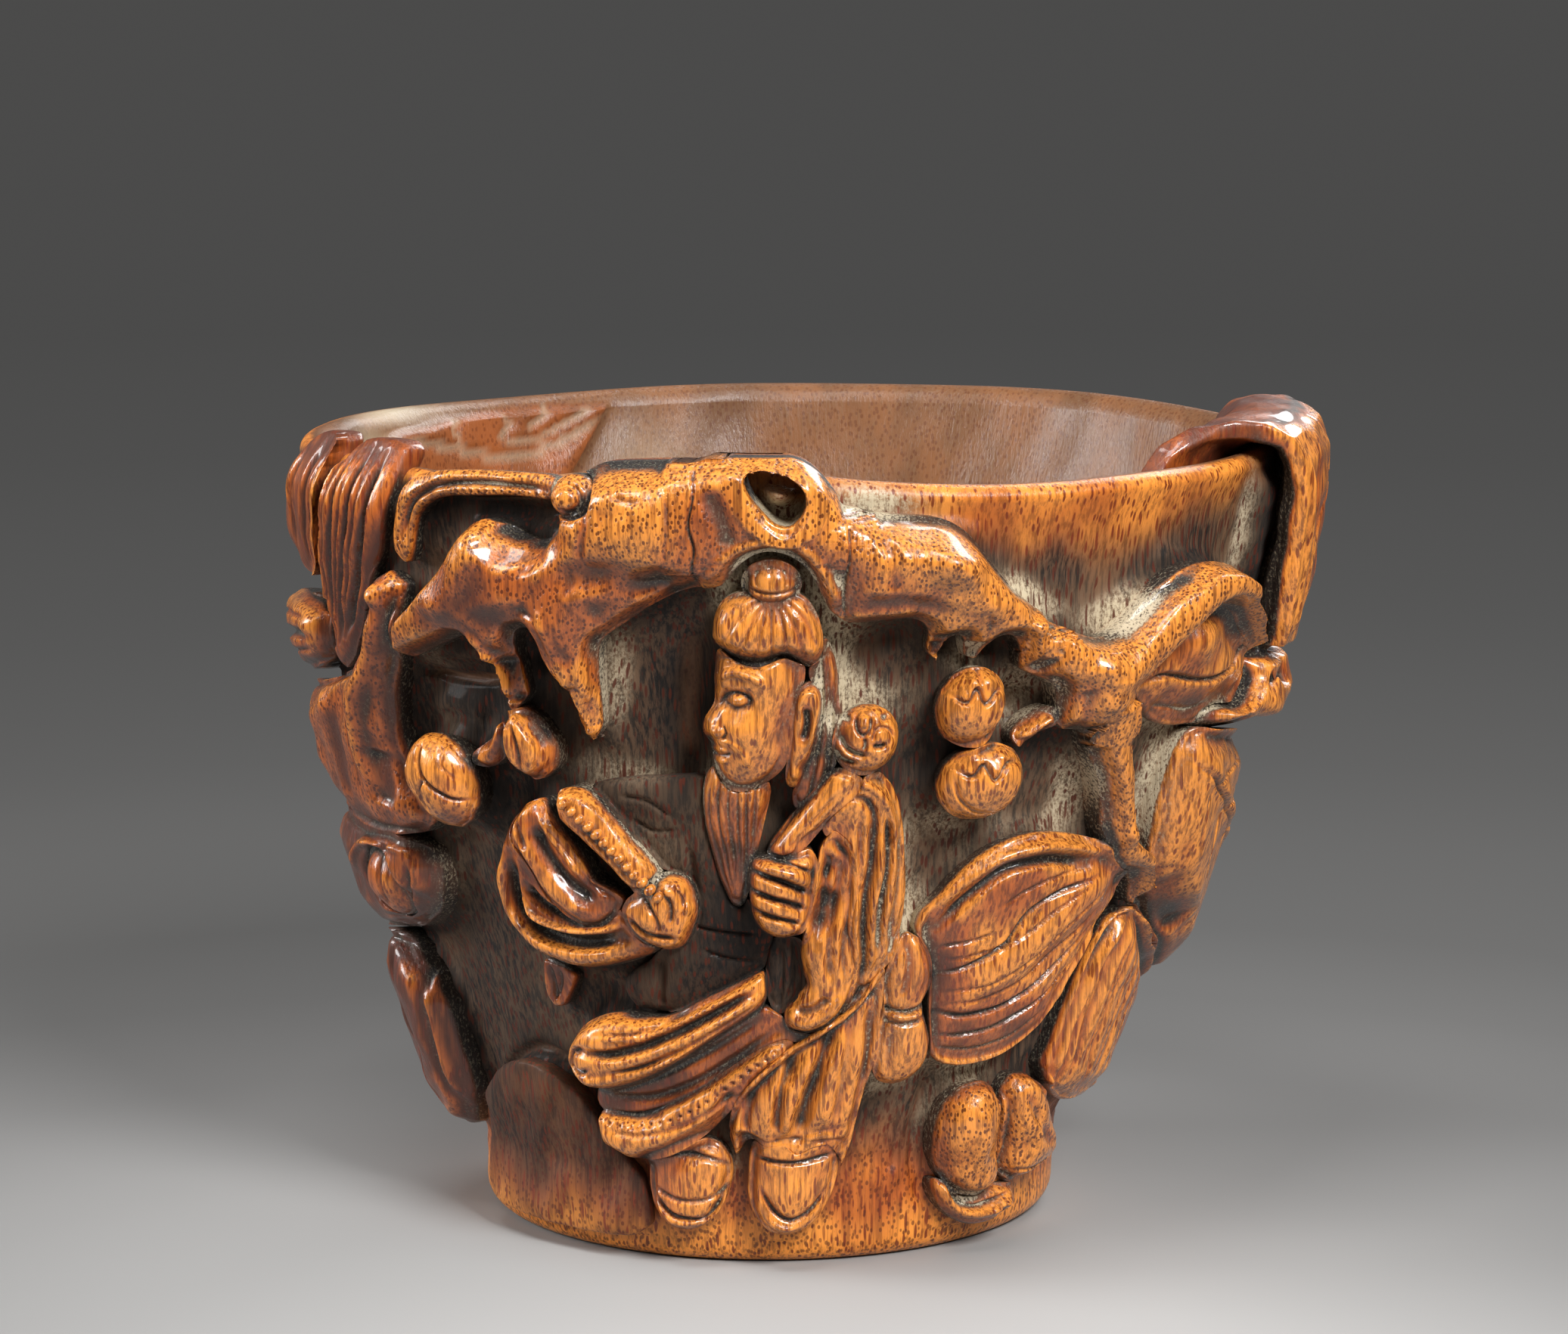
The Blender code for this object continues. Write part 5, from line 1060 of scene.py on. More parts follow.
DRAPED_LEAF = (
    ridge(0.9, 0.5, (75.4, 63), (73, 70), (71.2, 77), (69.8, 83)),
    fold(0.8, 0.4, (78.4, 63), (76, 70), (74.4, 77), (73, 83.4)),
    fold(0.7, 0.8, (83, 86), (83.4, 74), (84.4, 60)),
    fold(0.6, 0.6, (83.2, 80), (88, 77.4), (93, 71)),
    fold(0.6, 0.6, (83.5, 74), (88, 71), (92.6, 64.6)),
    fold(0.6, 0.6, (83.9, 67.6), (87, 65), (89.4, 61)),
    fold(0.6, 0.5, (83.2, 80), (79.6, 77), (76.6, 71.6)),
    fold(0.6, 0.5, (83.5, 74), (80.4, 70.6), (78.6, 65.4)),
    ridge(0.8, 0.6, (95, 84), (95.6, 76), (93.4, 66), (90, 60.6)),
    fold(2.4, 2, (72, 59.6), (78, 58.8), (86, 58.4)),
    ridge(1.2, 0.7, (72, 56.6), (80, 55.4), (88, 54.8), (94, 56.4)),
    fold(1.2, 0.7, (64, 59.4), (68, 59), (72, 59.6)),
)

DRAPED_NODES = ("leaf_over_rim", "leaf_curl")

# The braid on the forearm: where its beads run, and how far off the wall, in millimetres
CUFF_PATH = ((-25.6, 51.4), (-22.4, 48.9), (-19.2, 46), (-16.4, 43.3), (-14.8, 42))
CUFF_RISE = 5.6

# The low leaf on the inside of the wall, seen over the rim at the left
LINING_MIDDLE = -132.0
LINING_LEAF = (
    (-155.5, 82.2), (-147.5, 82.6), (-140, 82.6), (-132, 82.2), (-122.8, 81.6), (-112, 80.8),
    (-106, 76), (-112, 70), (-128, 66.5), (-142, 69), (-148.5, 74.6), (-152.6, 78.6),
)
LINING_VEINS = (
    fold(0.8, 0.5, (-154.6, 81), (-147, 78.2), (-140.8, 76.9), (-134, 77.1), (-125.2, 78.8),
         (-115.2, 80.4)),
    fold(0.7, 0.4, (-152.5, 81.8), (-146.5, 79.8), (-142.2, 78.5), (-136, 78.2)),
    fold(0.7, 0.4, (-145, 82.4), (-144.2, 81.2), (-141, 79.8)),
    fold(0.7, 0.4, (-137.5, 81.6), (-138, 80.2), (-135.8, 78.9)),
    fold(0.7, 0.4, (-129, 81.7), (-127.2, 80.4), (-128.6, 79.2)),
)
LINING_DUST = ((-117, 83.4, 9, 1.5, 0.7), (-108, 80, 5, 2.4, 0.5), (-160, 74, 6, 5, 0.25))

GROUND_CUTS = (
    knob(2.2, 4.2, (-1, 83.9)),
    ridge(0.7, 1, (-38, 82), (-31, 82.3), (-24.4, 82.1)),
    fold(1.4, 0.8, (-37, 80.4), (-31, 80.6), (-25, 80.4)),
    fold(0.8, 1.3, (-51, 62.6), (-43, 62.3), (-36, 62.8)),
    ridge(1.8, 0.8, (-50, 65), (-38, 65.4)),
    ridge(1.8, 0.6, (-51, 59.4), (-40, 59.6)),
    fold(1, 1, (-63, 14.8), (-57, 18.3), (-47, 21.4), (-40, 20.8), (-34, 18), (-30, 14.6), (-26, 11)),
    fold(2.4, 0.9, (-11.4, 55), (-11.4, 62), (-10.6, 70)),
    fold(2, 0.7, (8, 66), (11, 69), (14.5, 69.4)),
    knob(2.6, -1.3, (-29.5, 66.2)),
    knob(1.8, -1.3, (18.6, 68.2), (23.6, 67.8)),
    knob(3, -1.2, (28.5, 61)),
    fold(2, 0.9, (-17.2, 35), (-17.2, 31), (-17.6, 28.4)),
    fold(1.6, 0.8, (29, 20.6), (28.6, 15.5), (29.8, 9.6), (33.6, 4.2)),
)

# The wall

# Rings of its mesh, which stand closer near the rim on the lining
FOOT_RINGS = 7
LIP_RINGS = 13
LINING_RINGS = 41
LINING_CLOSENESS = 1.6
BOWL_RINGS = 12
BOWL_ANGLES = (8, 86)
FOOT_INSET = 4.0
# Dips of the worn rim: how many go round, how deep each is, and where it starts
RIM_DIPS = ((2, 1, 0.6), (3, 0.6, 2.1), (7, 0.4, 0))
RIM_DIPS_SHARE = 0.5
# The crest under the bough isn't worn: its middle, and the turns over which wear sets in
CREST_MIDDLE = -4.0
CREST_CLEAR = (12, 40)
# Heights between which the ground and the shallow rim panel set in and run out, and the panel's turns
GROUND_BOTTOM = (9, 15)
GROUND_TOP = (66, 76)
PANEL_BOTTOM = (70, 75)
PANEL_TOP = (78, 83.5)
PANEL_LEFT = (4, 16)
PANEL_RIGHT = (66, 78)
PANEL_DEPTH = 0.7
SHOULDER_END = (79, 82)
# The lining's leaf: its height, the slope of its edge, and how far from its middle it is looked for
LEAF_RISE = 1.1
LEAF_EDGE = (0, 0.9)
LEAF_REACH = 90.0
# Tool marks: how close they stand, and where on the wall they show
GOUGE_PITCH = 1.7
GOUGE_BOTTOM = (3, 8)
GOUGE_TOP = (78, 83)
GOUGE_OUT = (-1, -0.2)
LINING_PITCH = 0.6
LINING_MARKS = 0.9
LINING_OUT = (-2, -3.2)


def inside_loop(places, loop):
    """Which places lie inside a closed loop."""
    crossings = np.zeros(len(places), dtype=int)
    for start, end in zip(loop, np.roll(loop, -1, axis=0)):
        spans = (places[:, 1] < start[1]) != (places[:, 1] < end[1])
        rise = end[1] - start[1]
        reach = start[0] + (places[:, 1] - start[1]) * (end[0] - start[0]) / (rise if rise else 1e-9)
        crossings += (spans & (places[:, 0] < reach)).astype(int)
    return crossings % 2 == 1


def lining_leaf(turn, up):
    """Low leaf on the lining, and its veins, as a rise in millimetres."""
    middle = LINING_MIDDLE
    loop = smooth_path(LINING_LEAF + LINING_LEAF[:1], middle)
    places = flat(turn, up, middle)
    near = np.all(np.abs(places) < LEAF_REACH, axis=1)
    rise = np.zeros(len(places))
    apart, _ = path_distance(places[near], loop)
    rise[near] = np.where(inside_loop(places[near], loop), LEAF_RISE * ease(*LEAF_EDGE, apart), 0.0)
    return rise + np.where(rise > 0.0, cut_depth(turn, up, LINING_VEINS, middle), 0.0)


def ground_cut(turn, up, settings):
    """How deep the ground lies under the rim panel and the foot band, in millimetres."""
    depth = ease(*GROUND_BOTTOM, up) * (1.0 - ease(*GROUND_TOP, up))
    dish = ease(*PANEL_BOTTOM, up) * (1.0 - ease(*PANEL_TOP, up))
    dish = dish * ease(*PANEL_LEFT, turn) * (1.0 - ease(*PANEL_RIGHT, turn))
    return depth * settings.ground_depth / MM + PANEL_DEPTH * dish


def worn_rim(turns, settings):
    """Height of the rim round the cup, with its worn dips."""
    angle = np.radians(turns)
    dip = sum(depth * np.sin(times * angle + start) for times, depth, start in RIM_DIPS)
    worn = settings.rim_sway / MM * (1.0 + RIM_DIPS_SHARE * dip)
    return rim_height(turns) - worn * ease(*CREST_CLEAR, np.abs(turns - CREST_MIDDLE))


def wall_rings(turns, settings):
    """Heights and reach of each ring, from under the foot, over the rim and down inside."""
    level = np.ones(len(turns))
    top = worn_rim(turns, settings)
    lip = 0.5 * WALL_AT_RIM
    rings = [(0.0 * level, (FOOT_INSET - FOOT_HALF_WIDTH) * level, "edge")]
    for angle in np.radians(np.linspace(90.0, 0.0, FOOT_RINGS)):
        height = FOOT_ROUND * (1.0 - math.sin(angle))
        rings.append((height * level, -FOOT_ROUND * (1.0 - math.cos(angle)) * level, "edge"))
    for share in np.linspace(0.0, 1.0, settings.rows + 1)[1:]:
        rings.append((FOOT_ROUND + (top - lip - FOOT_ROUND) * share, 0.0 * level, "outside"))
    for angle in np.radians(np.linspace(0.0, 180.0, LIP_RINGS))[1:-1]:
        rings.append((top - lip + lip * math.sin(angle), (-lip + lip * math.cos(angle)) * level, "edge"))
    bowl = FLOOR_THICKNESS + BOWL_DEPTH
    for share in np.linspace(0.0, 1.0, LINING_RINGS) ** LINING_CLOSENESS:
        height = top - lip + (bowl - top + lip) * share
        rings.append((height, -wall_thickness(height), "inside"))
    thickness = float(wall_thickness(bowl))
    reach = FOOT_HALF_WIDTH - thickness
    for angle in np.radians(np.linspace(*BOWL_ANGLES, BOWL_RINGS)):
        height = bowl - BOWL_DEPTH * math.sin(angle)
        rings.append((height * level, (-thickness - reach * (1.0 - math.cos(angle))) * level, "inside"))
    return rings


def wall_points(turns, rings, settings):
    """Points of the wall's rings, with the carved ground outside and the low leaf inside."""
    points = []
    for height, out, side in rings:
        if side == "outside":
            out = out - ground_cut(turns, height, settings) + cut_depth(turns, height, GROUND_CUTS, 0.0)
            out = out + read_map(SHEET["shoulder"], turns, height) * (1.0 - ease(*SHOULDER_END, height))
        elif side == "inside":
            out = out - lining_leaf(turns, height)
        points.append(on_wall(turns, height, out))
    return np.vstack(points)


def build_wall(settings):
    """The cup itself."""
    columns = settings.columns
    turns = np.linspace(-180.0, 180.0, columns, endpoint=False)
    rings = wall_rings(turns, settings)
    points = wall_points(turns, rings, settings)
    turn, up, out = on_sheet(points)
    outside = ease(*GOUGE_OUT, out) * ease(*GOUGE_BOTTOM, up) * (1.0 - ease(*GOUGE_TOP, up))
    marks = sway(points * GOUGE_PITCH, settings.gouge_depth) * outside
    lining = sway(points * LINING_PITCH, LINING_MARKS * settings.gouge_depth) * ease(*LINING_OUT, out)
    points = on_wall(turn, up, out + marks + lining)
    faces = []
    for ring in range(len(rings) - 1):
        here = ring * columns
        for column in range(columns):
            following = (column + 1) % columns
            above = here + columns
            faces.append((here + column, here + following, above + following, above + column))
    under = len(points)
    floor = under + 1
    last = (len(rings) - 1) * columns
    points = np.vstack((points, ((0.0, 0.0, 0.0), (0.0, 0.0, FLOOR_THICKNESS * MM))))
    for column in range(columns):
        following = (column + 1) % columns
        faces.append((under, following, column))
        faces.append((floor, last + column, last + following))
    mesh = bpy.data.meshes.new("cup_wall")
    mesh.from_pydata([tuple(point) for point in points], [], faces)
    mesh.update()
    set_points(mesh, points)
    return add_piece("cup_wall", mesh, ("cup_body",), "bamboo_wall")


# Beads strung along a path

BEAD_SEGMENTS = 12
BEAD_RINGS = 8
# Beads are flattened along the string and towards the wall
BEAD_SCALE = (0.62, 1, 0.8)
# Distance between points of the string, in millimetres
STRING_STEP = 0.4


def bead_tree(material):
    """Geometry Nodes: flattened beads set along a curve."""
    tree = bpy.data.node_groups.new("beads_along_path", "GeometryNodeTree")
    face = tree.interface
    face.new_socket("Path", in_out="INPUT", socket_type="NodeSocketGeometry")
    spacing = face.new_socket("Spacing", in_out="INPUT", socket_type="NodeSocketFloat")
    radius = face.new_socket("Bead Radius", in_out="INPUT", socket_type="NodeSocketFloat")
    face.new_socket("Beads", in_out="OUTPUT", socket_type="NodeSocketGeometry")
    nodes = tree.nodes
    start = nodes.new("NodeGroupInput")
    steps = nodes.new("GeometryNodeResampleCurve")
    steps.mode = "LENGTH"
    bead = nodes.new("GeometryNodeMeshUVSphere")
    bead.inputs["Segments"].default_value = BEAD_SEGMENTS
    bead.inputs["Rings"].default_value = BEAD_RINGS
    tangent = nodes.new("GeometryNodeInputTangent")
    turned = nodes.new("FunctionNodeAlignRotationToVector")
    turned.axis = "X"
    placed = nodes.new("GeometryNodeInstanceOnPoints")
    placed.inputs["Scale"].default_value = BEAD_SCALE
    real = nodes.new("GeometryNodeRealizeInstances")
    shaded = nodes.new("GeometryNodeSetShadeSmooth")
    finish = nodes.new("GeometryNodeSetMaterial")
    finish.inputs["Material"].default_value = material
    end = nodes.new("NodeGroupOutput")
    joins = (
        (start, "Path", steps, "Curve"), (start, "Spacing", steps, "Length"),
        (start, "Bead Radius", bead, "Radius"), (tangent, "Tangent", turned, "Vector"),
        (steps, "Curve", placed, "Points"), (bead, "Mesh", placed, "Instance"),
        (turned, "Rotation", placed, "Rotation"), (placed, "Instances", real, "Geometry"),
        (real, "Geometry", shaded, "Geometry"), (shaded, "Geometry", finish, "Geometry"),
        (finish, "Geometry", end, "Beads"),
    )
    for source, output, target, entry in joins:
        tree.links.new(source.outputs[output], target.inputs[entry])
    return tree, spacing.identifier, radius.identifier


def string_beads(name, path, rise, tree_parts, spacing, radius):
    """Beads along a path on the sheet, as a plain mesh."""
    tree, spacing_key, radius_key = tree_parts
    middle = path[len(path) // 2][0]
    line = smooth_path(path, middle, step=STRING_STEP)
    up = line[:, 1]
    turn = middle + line[:, 0] / (np.radians(1.0) * half_sizes(up)[0])
    places = on_wall(turn, up, rise)
    curve = bpy.data.curves.new(name + "_path", "CURVE")
    curve.dimensions = "3D"
    spline = curve.splines.new("POLY")
    spline.points.add(len(places) - 1)
    for point, place in zip(spline.points, places):
        point.co = (place[0], place[1], place[2], 1.0)
    string = add_object(name + "_path", curve)
    modifier = string.modifiers.new("beads", "NODES")
    modifier.node_group = tree
    modifier[spacing_key] = spacing
    modifier[radius_key] = radius
    graph = bpy.context.evaluated_depsgraph_get()
    mesh = bpy.data.meshes.new_from_object(string.evaluated_get(graph))
    string.modifiers.remove(modifier)
    bpy.data.objects.remove(string, do_unlink=True)
    if len(mesh.vertices) == 0:
        raise RuntimeError("no beads were made for " + name)
    return add_piece(name, mesh, (), "bamboo_worn")


# Height maps


def blurred(field, reach):
    """Gaussian blur of the height map, wrapped round the cup. Reach is in cells."""
    size = int(3.0 * reach) + 1
    steps = np.arange(-size, size + 1)
    weights = np.exp(-0.5 * (steps / reach) ** 2)
    weights /= weights.sum()
    padded = np.pad(field, ((size, size), (0, 0)), mode="edge")
    total = sum(weight * padded[index:index + len(field)] for index, weight in enumerate(weights))
    return sum(weight * np.roll(total, -step, axis=1) for step, weight in zip(steps, weights))


def height_map(clouds):
    """How far the carving stands off the wall, as a map of rows up and columns round."""
    rows = int(MAP_TOP / MAP_STEP)
    field = np.zeros((rows, MAP_COLUMNS))
    for points in clouds:
        turn, up, out = on_sheet(points)
        row = np.clip((up / MAP_STEP).astype(int), 0, rows - 1)
        column = ((turn + 180.0) / 360.0 * MAP_COLUMNS).astype(int) % MAP_COLUMNS
        np.maximum.at(field, (row, column), out)
    filled = field.copy()
    for row_step in (-1, 0, 1):
        for column_step in (-1, 0, 1):
            moved = np.roll(np.roll(field, row_step, axis=0), column_step, axis=1)
            filled = np.where(field <= 0.0, np.maximum(filled, moved), filled)
    return filled


def read_map(field, turn, up):
    """Values of a map at places on the sheet."""
    row = np.clip(up / MAP_STEP - 0.5, 0.0, len(field) - 1.001)
    column = ((turn + 180.0) / 360.0 * MAP_COLUMNS - 0.5) % MAP_COLUMNS
    row_low, column_low = row.astype(int), column.astype(int) % MAP_COLUMNS
    row_share, column_share = row - row_low, column - np.floor(column)
    column_high = (column_low + 1) % MAP_COLUMNS
    low, high = (
        field[line, column_low] * (1.0 - column_share) + field[line, column_high] * column_share
        for line in (row_low, row_low + 1)
    )
    return low * (1.0 - row_share) + high * row_share


# Patina


def set_value(mesh, name, values):
    """Keep one number at each vertex."""
    if name in mesh.attributes:
        mesh.attributes.remove(mesh.attributes[name])
    layer = mesh.attributes.new(name, "FLOAT", "POINT")
    layer.data.foreach_set("value", np.ascontiguousarray(values, dtype=np.float32))


# How far round a point the carving's height is averaged, in millimetres
CLOSE_REACH = 0.7
WIDE_REACH = 2.4

# Wear of carved pieces: everywhere, for each millimetre that a point stands over the carving round it,
# over what is close to it, then painted light where it faces up, and painted light and shade in the patches
WEAR_EVEN = 0.42
WEAR_STANDING = 0.12
WEAR_PROUD = 0.75
LIGHT_ON_TOPS = 0.2
LIT_PATCH_SHARE = 0.34
SHADED_PATCH_SHARE = -0.38
# Painted light at the front and painted shade at the left: how much, and the turns over which it sets in and
# runs out
LIGHT_AT_FRONT = (0.18, (-25, 5), (78, 96))
SHADE_AT_LEFT = (-0.08, (-34, -50), (-96, -112))

# Painted shade and grime of carved pieces in hollows and creases, painted shade on undersides, and dust, by
# depth in millimetres or by how far they face down: how much, and the limits between which it sets in
HOLLOW_SHADE_AND_GRIME = (0.4, 0.5, 3)
CREASE_SHADE_AND_GRIME = (1, 0.08, 0.55)
UNDERSIDE_SHADE = (0.5, 0.4, 1)
CREASE_DUST = (1, 0.02, 0.45)
LOW_DUST = (0.25, -1.5, 0.5)
# Share of the creases' dust that lies anywhere, and what the patches add
DUST_ANYWHERE = 0.25
DUST_IN_PATCH = 0.75
# Heights off the wall between which a flank runs out. In a patch dust covers it and its grime and painted
# shade
FLANK_HEIGHTS = (2.2, 0.6)
FLANK_DUST = 0.9
FLANK_COVER = 1.25
# What hangs over the rim or inside it is worn evenly: heights, and heights off the wall
RIM_HEIGHTS = (80, 84)
RIM_OUT = (1.5, -0.5)
RIM_INSIDE = (-0.5, -2)

# Warm parts of the wall, by heights and turns: a foot band, higher behind, a panel at the right, which
# starts higher at its far end, the back and the lip
BEHIND_TURNS = (78, 112)
WARM_FOOT = (4, 19)
WARM_FOOT_BEHIND = 15.0
WARM_PANEL = (71.5, 84)
WARM_PANEL_LEFT = (6, 18)
WARM_PANEL_RIGHT = (66, 80)
PANEL_CLIMB = (4, 2.4)
PANEL_CLIMB_TURNS = (38, 66)
WARM_LIP = (81.5, 84)
WARM_BACK = (0.5, 54, 82)
WARM_BACK_LOW = 0.3
WARM_MOUND = (0.4, 13, 3)
WARM_MOUND_TOP = 0.25
# Where the lining starts, in millimetres off the wall
LINING_STARTS = (-0.9, -2.2)
# Dust of the wall, and its grime with painted shade, by heights of the carving beside it, by depth or by
# height: how much, and the limits between which it sets in. Dust and the painted shade with soot keep each
# other off by the share given last
DUST_BESIDE = (1, 0, 1.7)
DUST_NOT_WALL = 0.5
SHADE_AND_GRIME_BESIDE = (0.6, 0.2, 1.2)
SHADE_AND_GRIME_IN_HOLLOWS = (0.35, 1.2, 3.6)
WIPED_FOOT = (0.7, 12, 8)
WIPED_WARM = 0.6
KEPT_OFF = 0.8
# Wear of the wall everywhere, at the foot, where it is also painted light on the bottom edge as if thrown up
# from the floor, and under and on the rim
WALL_WEAR = 0.36
FOOT_WEAR_AND_LIGHT = (0.36, 8, 2)
PANEL_WEAR = (0.22, 70, 80)
RIM_WEAR = (0.08, 80, 84)
# Rise of the lining's leaf at which it turns warm, and depth of its veins at which they hold dust
LEAF_WARM = (0.2, 0.9)
VEIN_DUST = (0.3, 0.05, 0.3)

# Fibre ends that show on the foot, on pieces cut across the fibres and on the others
FOOT_DOTS = (0.7, 20, 10)
DOTS_ACROSS = 0.85
DOTS_ALONG = 0.12
# Pieces whose fibres are cut across and show as dots
DOTTED_PIECES = (
    "trunk", "trunk_knob", "rim_ribbon", "leaf_left_side", "nut_side", "nut_front", "back_bough_right",
    "back_bough_left",
)

# Soft patches on the sheet: turn, height, their reach, and how strong
DUST_PATCHES = (
    (9, 64, 7, 8, 0.75), (20, 47, 8, 4, 0.7), (31, 50, 8, 4, 0.6), (29, 62, 5, 5, 0.7),
    (24, 18, 7, 7, 0.8), (40, 50, 5, 6, 0.8), (-20, 55, 9, 4, 0.8), (-30, 83.6, 9, 1.4, 1),
    (9, 82.6, 6, 2, 1), (27, 72, 9, 3, 1), (42, 69.4, 7, 3, 0.9), (66.5, 73, 3, 9, 1),
    (58, 50, 8, 10, 0.8), (56, 58.2, 12, 3.4, 0.9), (17, 38, 5, 8, 0.9), (18, 24, 4, 8, 0.9),
    (-3, 77, 6, 4, 0.8), (5, 70, 3, 8, 0.9), (-16, 46, 8, 6, 0.6), (12, 8, 5, 4, 0.5),
    (-8, 10, 4, 5, 0.6), (36, 22, 8, 4, 0.9), (40, 6, 8, 4, 0.6), (-7, 52, 5, 6, 0.8),
    (-1.6, 82, 3, 2.6, 1), (21, 67, 4, 2, 1), (6, 65, 4, 8, 1), (3.6, 74, 3, 4, 1),
    (-6.4, 73.6, 2.4, 4, 0.9), (-20, 62, 3, 9, 0.7), (-50, 40, 8, 6, 0.5), (-46, 62, 4, 7, 0.5),
    (7.6, 58.2, 3, 2.6, 0.9),
)
# Painted shadow, with soot: the dark recess beside the face, the holes, and the shaded left of the ground
SHADE_AND_SOOT_PATCHES = (
    (-12, 61, 3.6, 9, 1), (-27, 59, 6, 7, 0.7), (-41, 61, 8, 5, 1), (12, 68.5, 4.5, 3, 0.8),
    (-29.5, 66, 4, 4, 1), (18.6, 68.2, 2.6, 2.6, 1), (23.6, 67.8, 2.6, 2.6, 1), (-33, 80, 10, 2.4, 0.8),
    (-5, 40, 6, 8, 0.6), (80, 30, 14, 5, 1), (-45, 22, 14, 3, 0.8), (-60, 30, 9, 12, 0.6),
    (-34, 44, 6, 9, 0.6), (-46, 38, 22, 24, 0.4), (33, 58, 4, 5, 1), (27, 54, 4, 6, 0.5),
    (15, 56, 4, 5, 0.6), (14, 14, 4, 5, 0.7), (-20, 8, 5, 5, 0.7), (-30, 52, 12, 10, 0.5),
)
# Patches of painted light, which lift the tone
LIT_PATCHES = (
    (12, 42, 6, 13, 1), (8, 20, 8, 7, 0.9), (6, 34, 4, 6, 0.8), (-16, 80, 5, 3, 0.6),
    (-33, 77, 4, 2.4, 0.4), (14, 77, 6, 3, 0.8), (52, 71, 10, 3, 1), (38, 58, 4, 6, 0.6),
    (47, 46, 5, 5, 0.8), (36, 36, 8, 3.4, 0.6), (-30, 35, 8, 2, 0.9), (-14, 41, 4, 4, 0.9),
    (37, 12, 4, 4, 1), (47, 13, 5, 4, 0.5), (-22, 15.5, 8, 2, 0.9), (-26, 24, 8, 3, 0.8),
    (21, 60, 4, 6, 0.6), (-44, 53, 5, 5, 0.6), (75, 45, 14, 12, 0.9), (-57, 81, 9, 4, 0.8),
    (76, 66, 4, 14, 0.8), (60, 26, 6, 9, 0.6),
)
# Patches of painted shade, which lower the tone
SHADED_PATCHES = (
    (24, 33, 4, 5, 0.9), (34, 25.5, 12, 2.5, 1), (30, 41, 8, 2.4, 0.5), (-6, 48, 4, 7, 1),
    (-8, 82, 3, 4, 0.6), (36, 18.8, 5, 1.8, 1), (46, 19, 6, 2, 0.8), (0, 41, 3.5, 4, 0.4),
    (-40, 66, 8, 3, 0.6), (4, 62, 3, 9, 0.5), (-24, 43, 3, 3, 0.7), (-76, 24, 10, 14, 0.6),
    (60, 30, 3, 8, 0.4), (21, 64.6, 4, 1.8, 1), (56, 58.4, 12, 2.6, 1), (-36, 71, 9, 6, 0.6),
    (-24, 68, 4, 3, 0.5), (-6, 76.6, 6, 1.8, 0.7), (10, 72.4, 6, 1.8, 0.7), (8.4, 59.4, 3, 2.6, 0.8),
)


def patches(turn, up, spots):
    """Strongest of a list of soft patches at each place."""
    strength = np.zeros(len(turn))
    for middle, height, reach_turn, reach_up, most in spots:
        apart = ((turn - middle) / reach_turn) ** 2 + ((up - height) / reach_up) ** 2
        strength = np.maximum(strength, most * np.exp(-apart))
    return strength


def amount(limits, value):
    """How much there is of what sets in between two limits of a value."""
    most, low, high = limits
    return most * ease(low, high, value)


def wall_warmth(turn, up):
    """Where the plain wall is rubbed warm: foot band, rim panel at the right, back and lip."""
    behind = ease(*BEHIND_TURNS, np.abs(turn))
    foot = 1.0 - ease(WARM_FOOT[0], WARM_FOOT[1] + WARM_FOOT_BEHIND * behind, up)
    climb = ease(*PANEL_CLIMB_TURNS, turn)
    bottom, top = (height + rise * climb for height, rise in zip(WARM_PANEL, PANEL_CLIMB))
    panel = ease(bottom, top, up) * ease(*WARM_PANEL_LEFT, turn) * (1.0 - ease(*WARM_PANEL_RIGHT, turn))
    back = behind * (WARM_BACK_LOW + amount(WARM_BACK, up))
    lip = ease(*WARM_LIP, up)
    return np.clip(np.maximum.reduce((foot, panel, back, lip)), 0.0, 1.0)


class Relief:
    """How each point of a piece stands over the carving round it, in millimetres."""

    def __init__(self, piece, close, wide):
        points = mesh_points(piece.data)
        self.turn, self.up, self.out = on_sheet(points)
        self.close_rise = read_map(close, self.turn, self.up)
        self.wide_rise = read_map(wide, self.turn, self.up)
        self.proud = self.out - self.close_rise
        self.stands = self.out - self.wide_rise
        self.upward = vertex_normals(piece.data, points)[:, 2]
        self.dusty = patches(self.turn, self.up, DUST_PATCHES)
        # How strongly painted shadow, with soot, lies at each point
        self.shaded_and_sooty = patches(self.turn, self.up, SHADE_AND_SOOT_PATCHES)


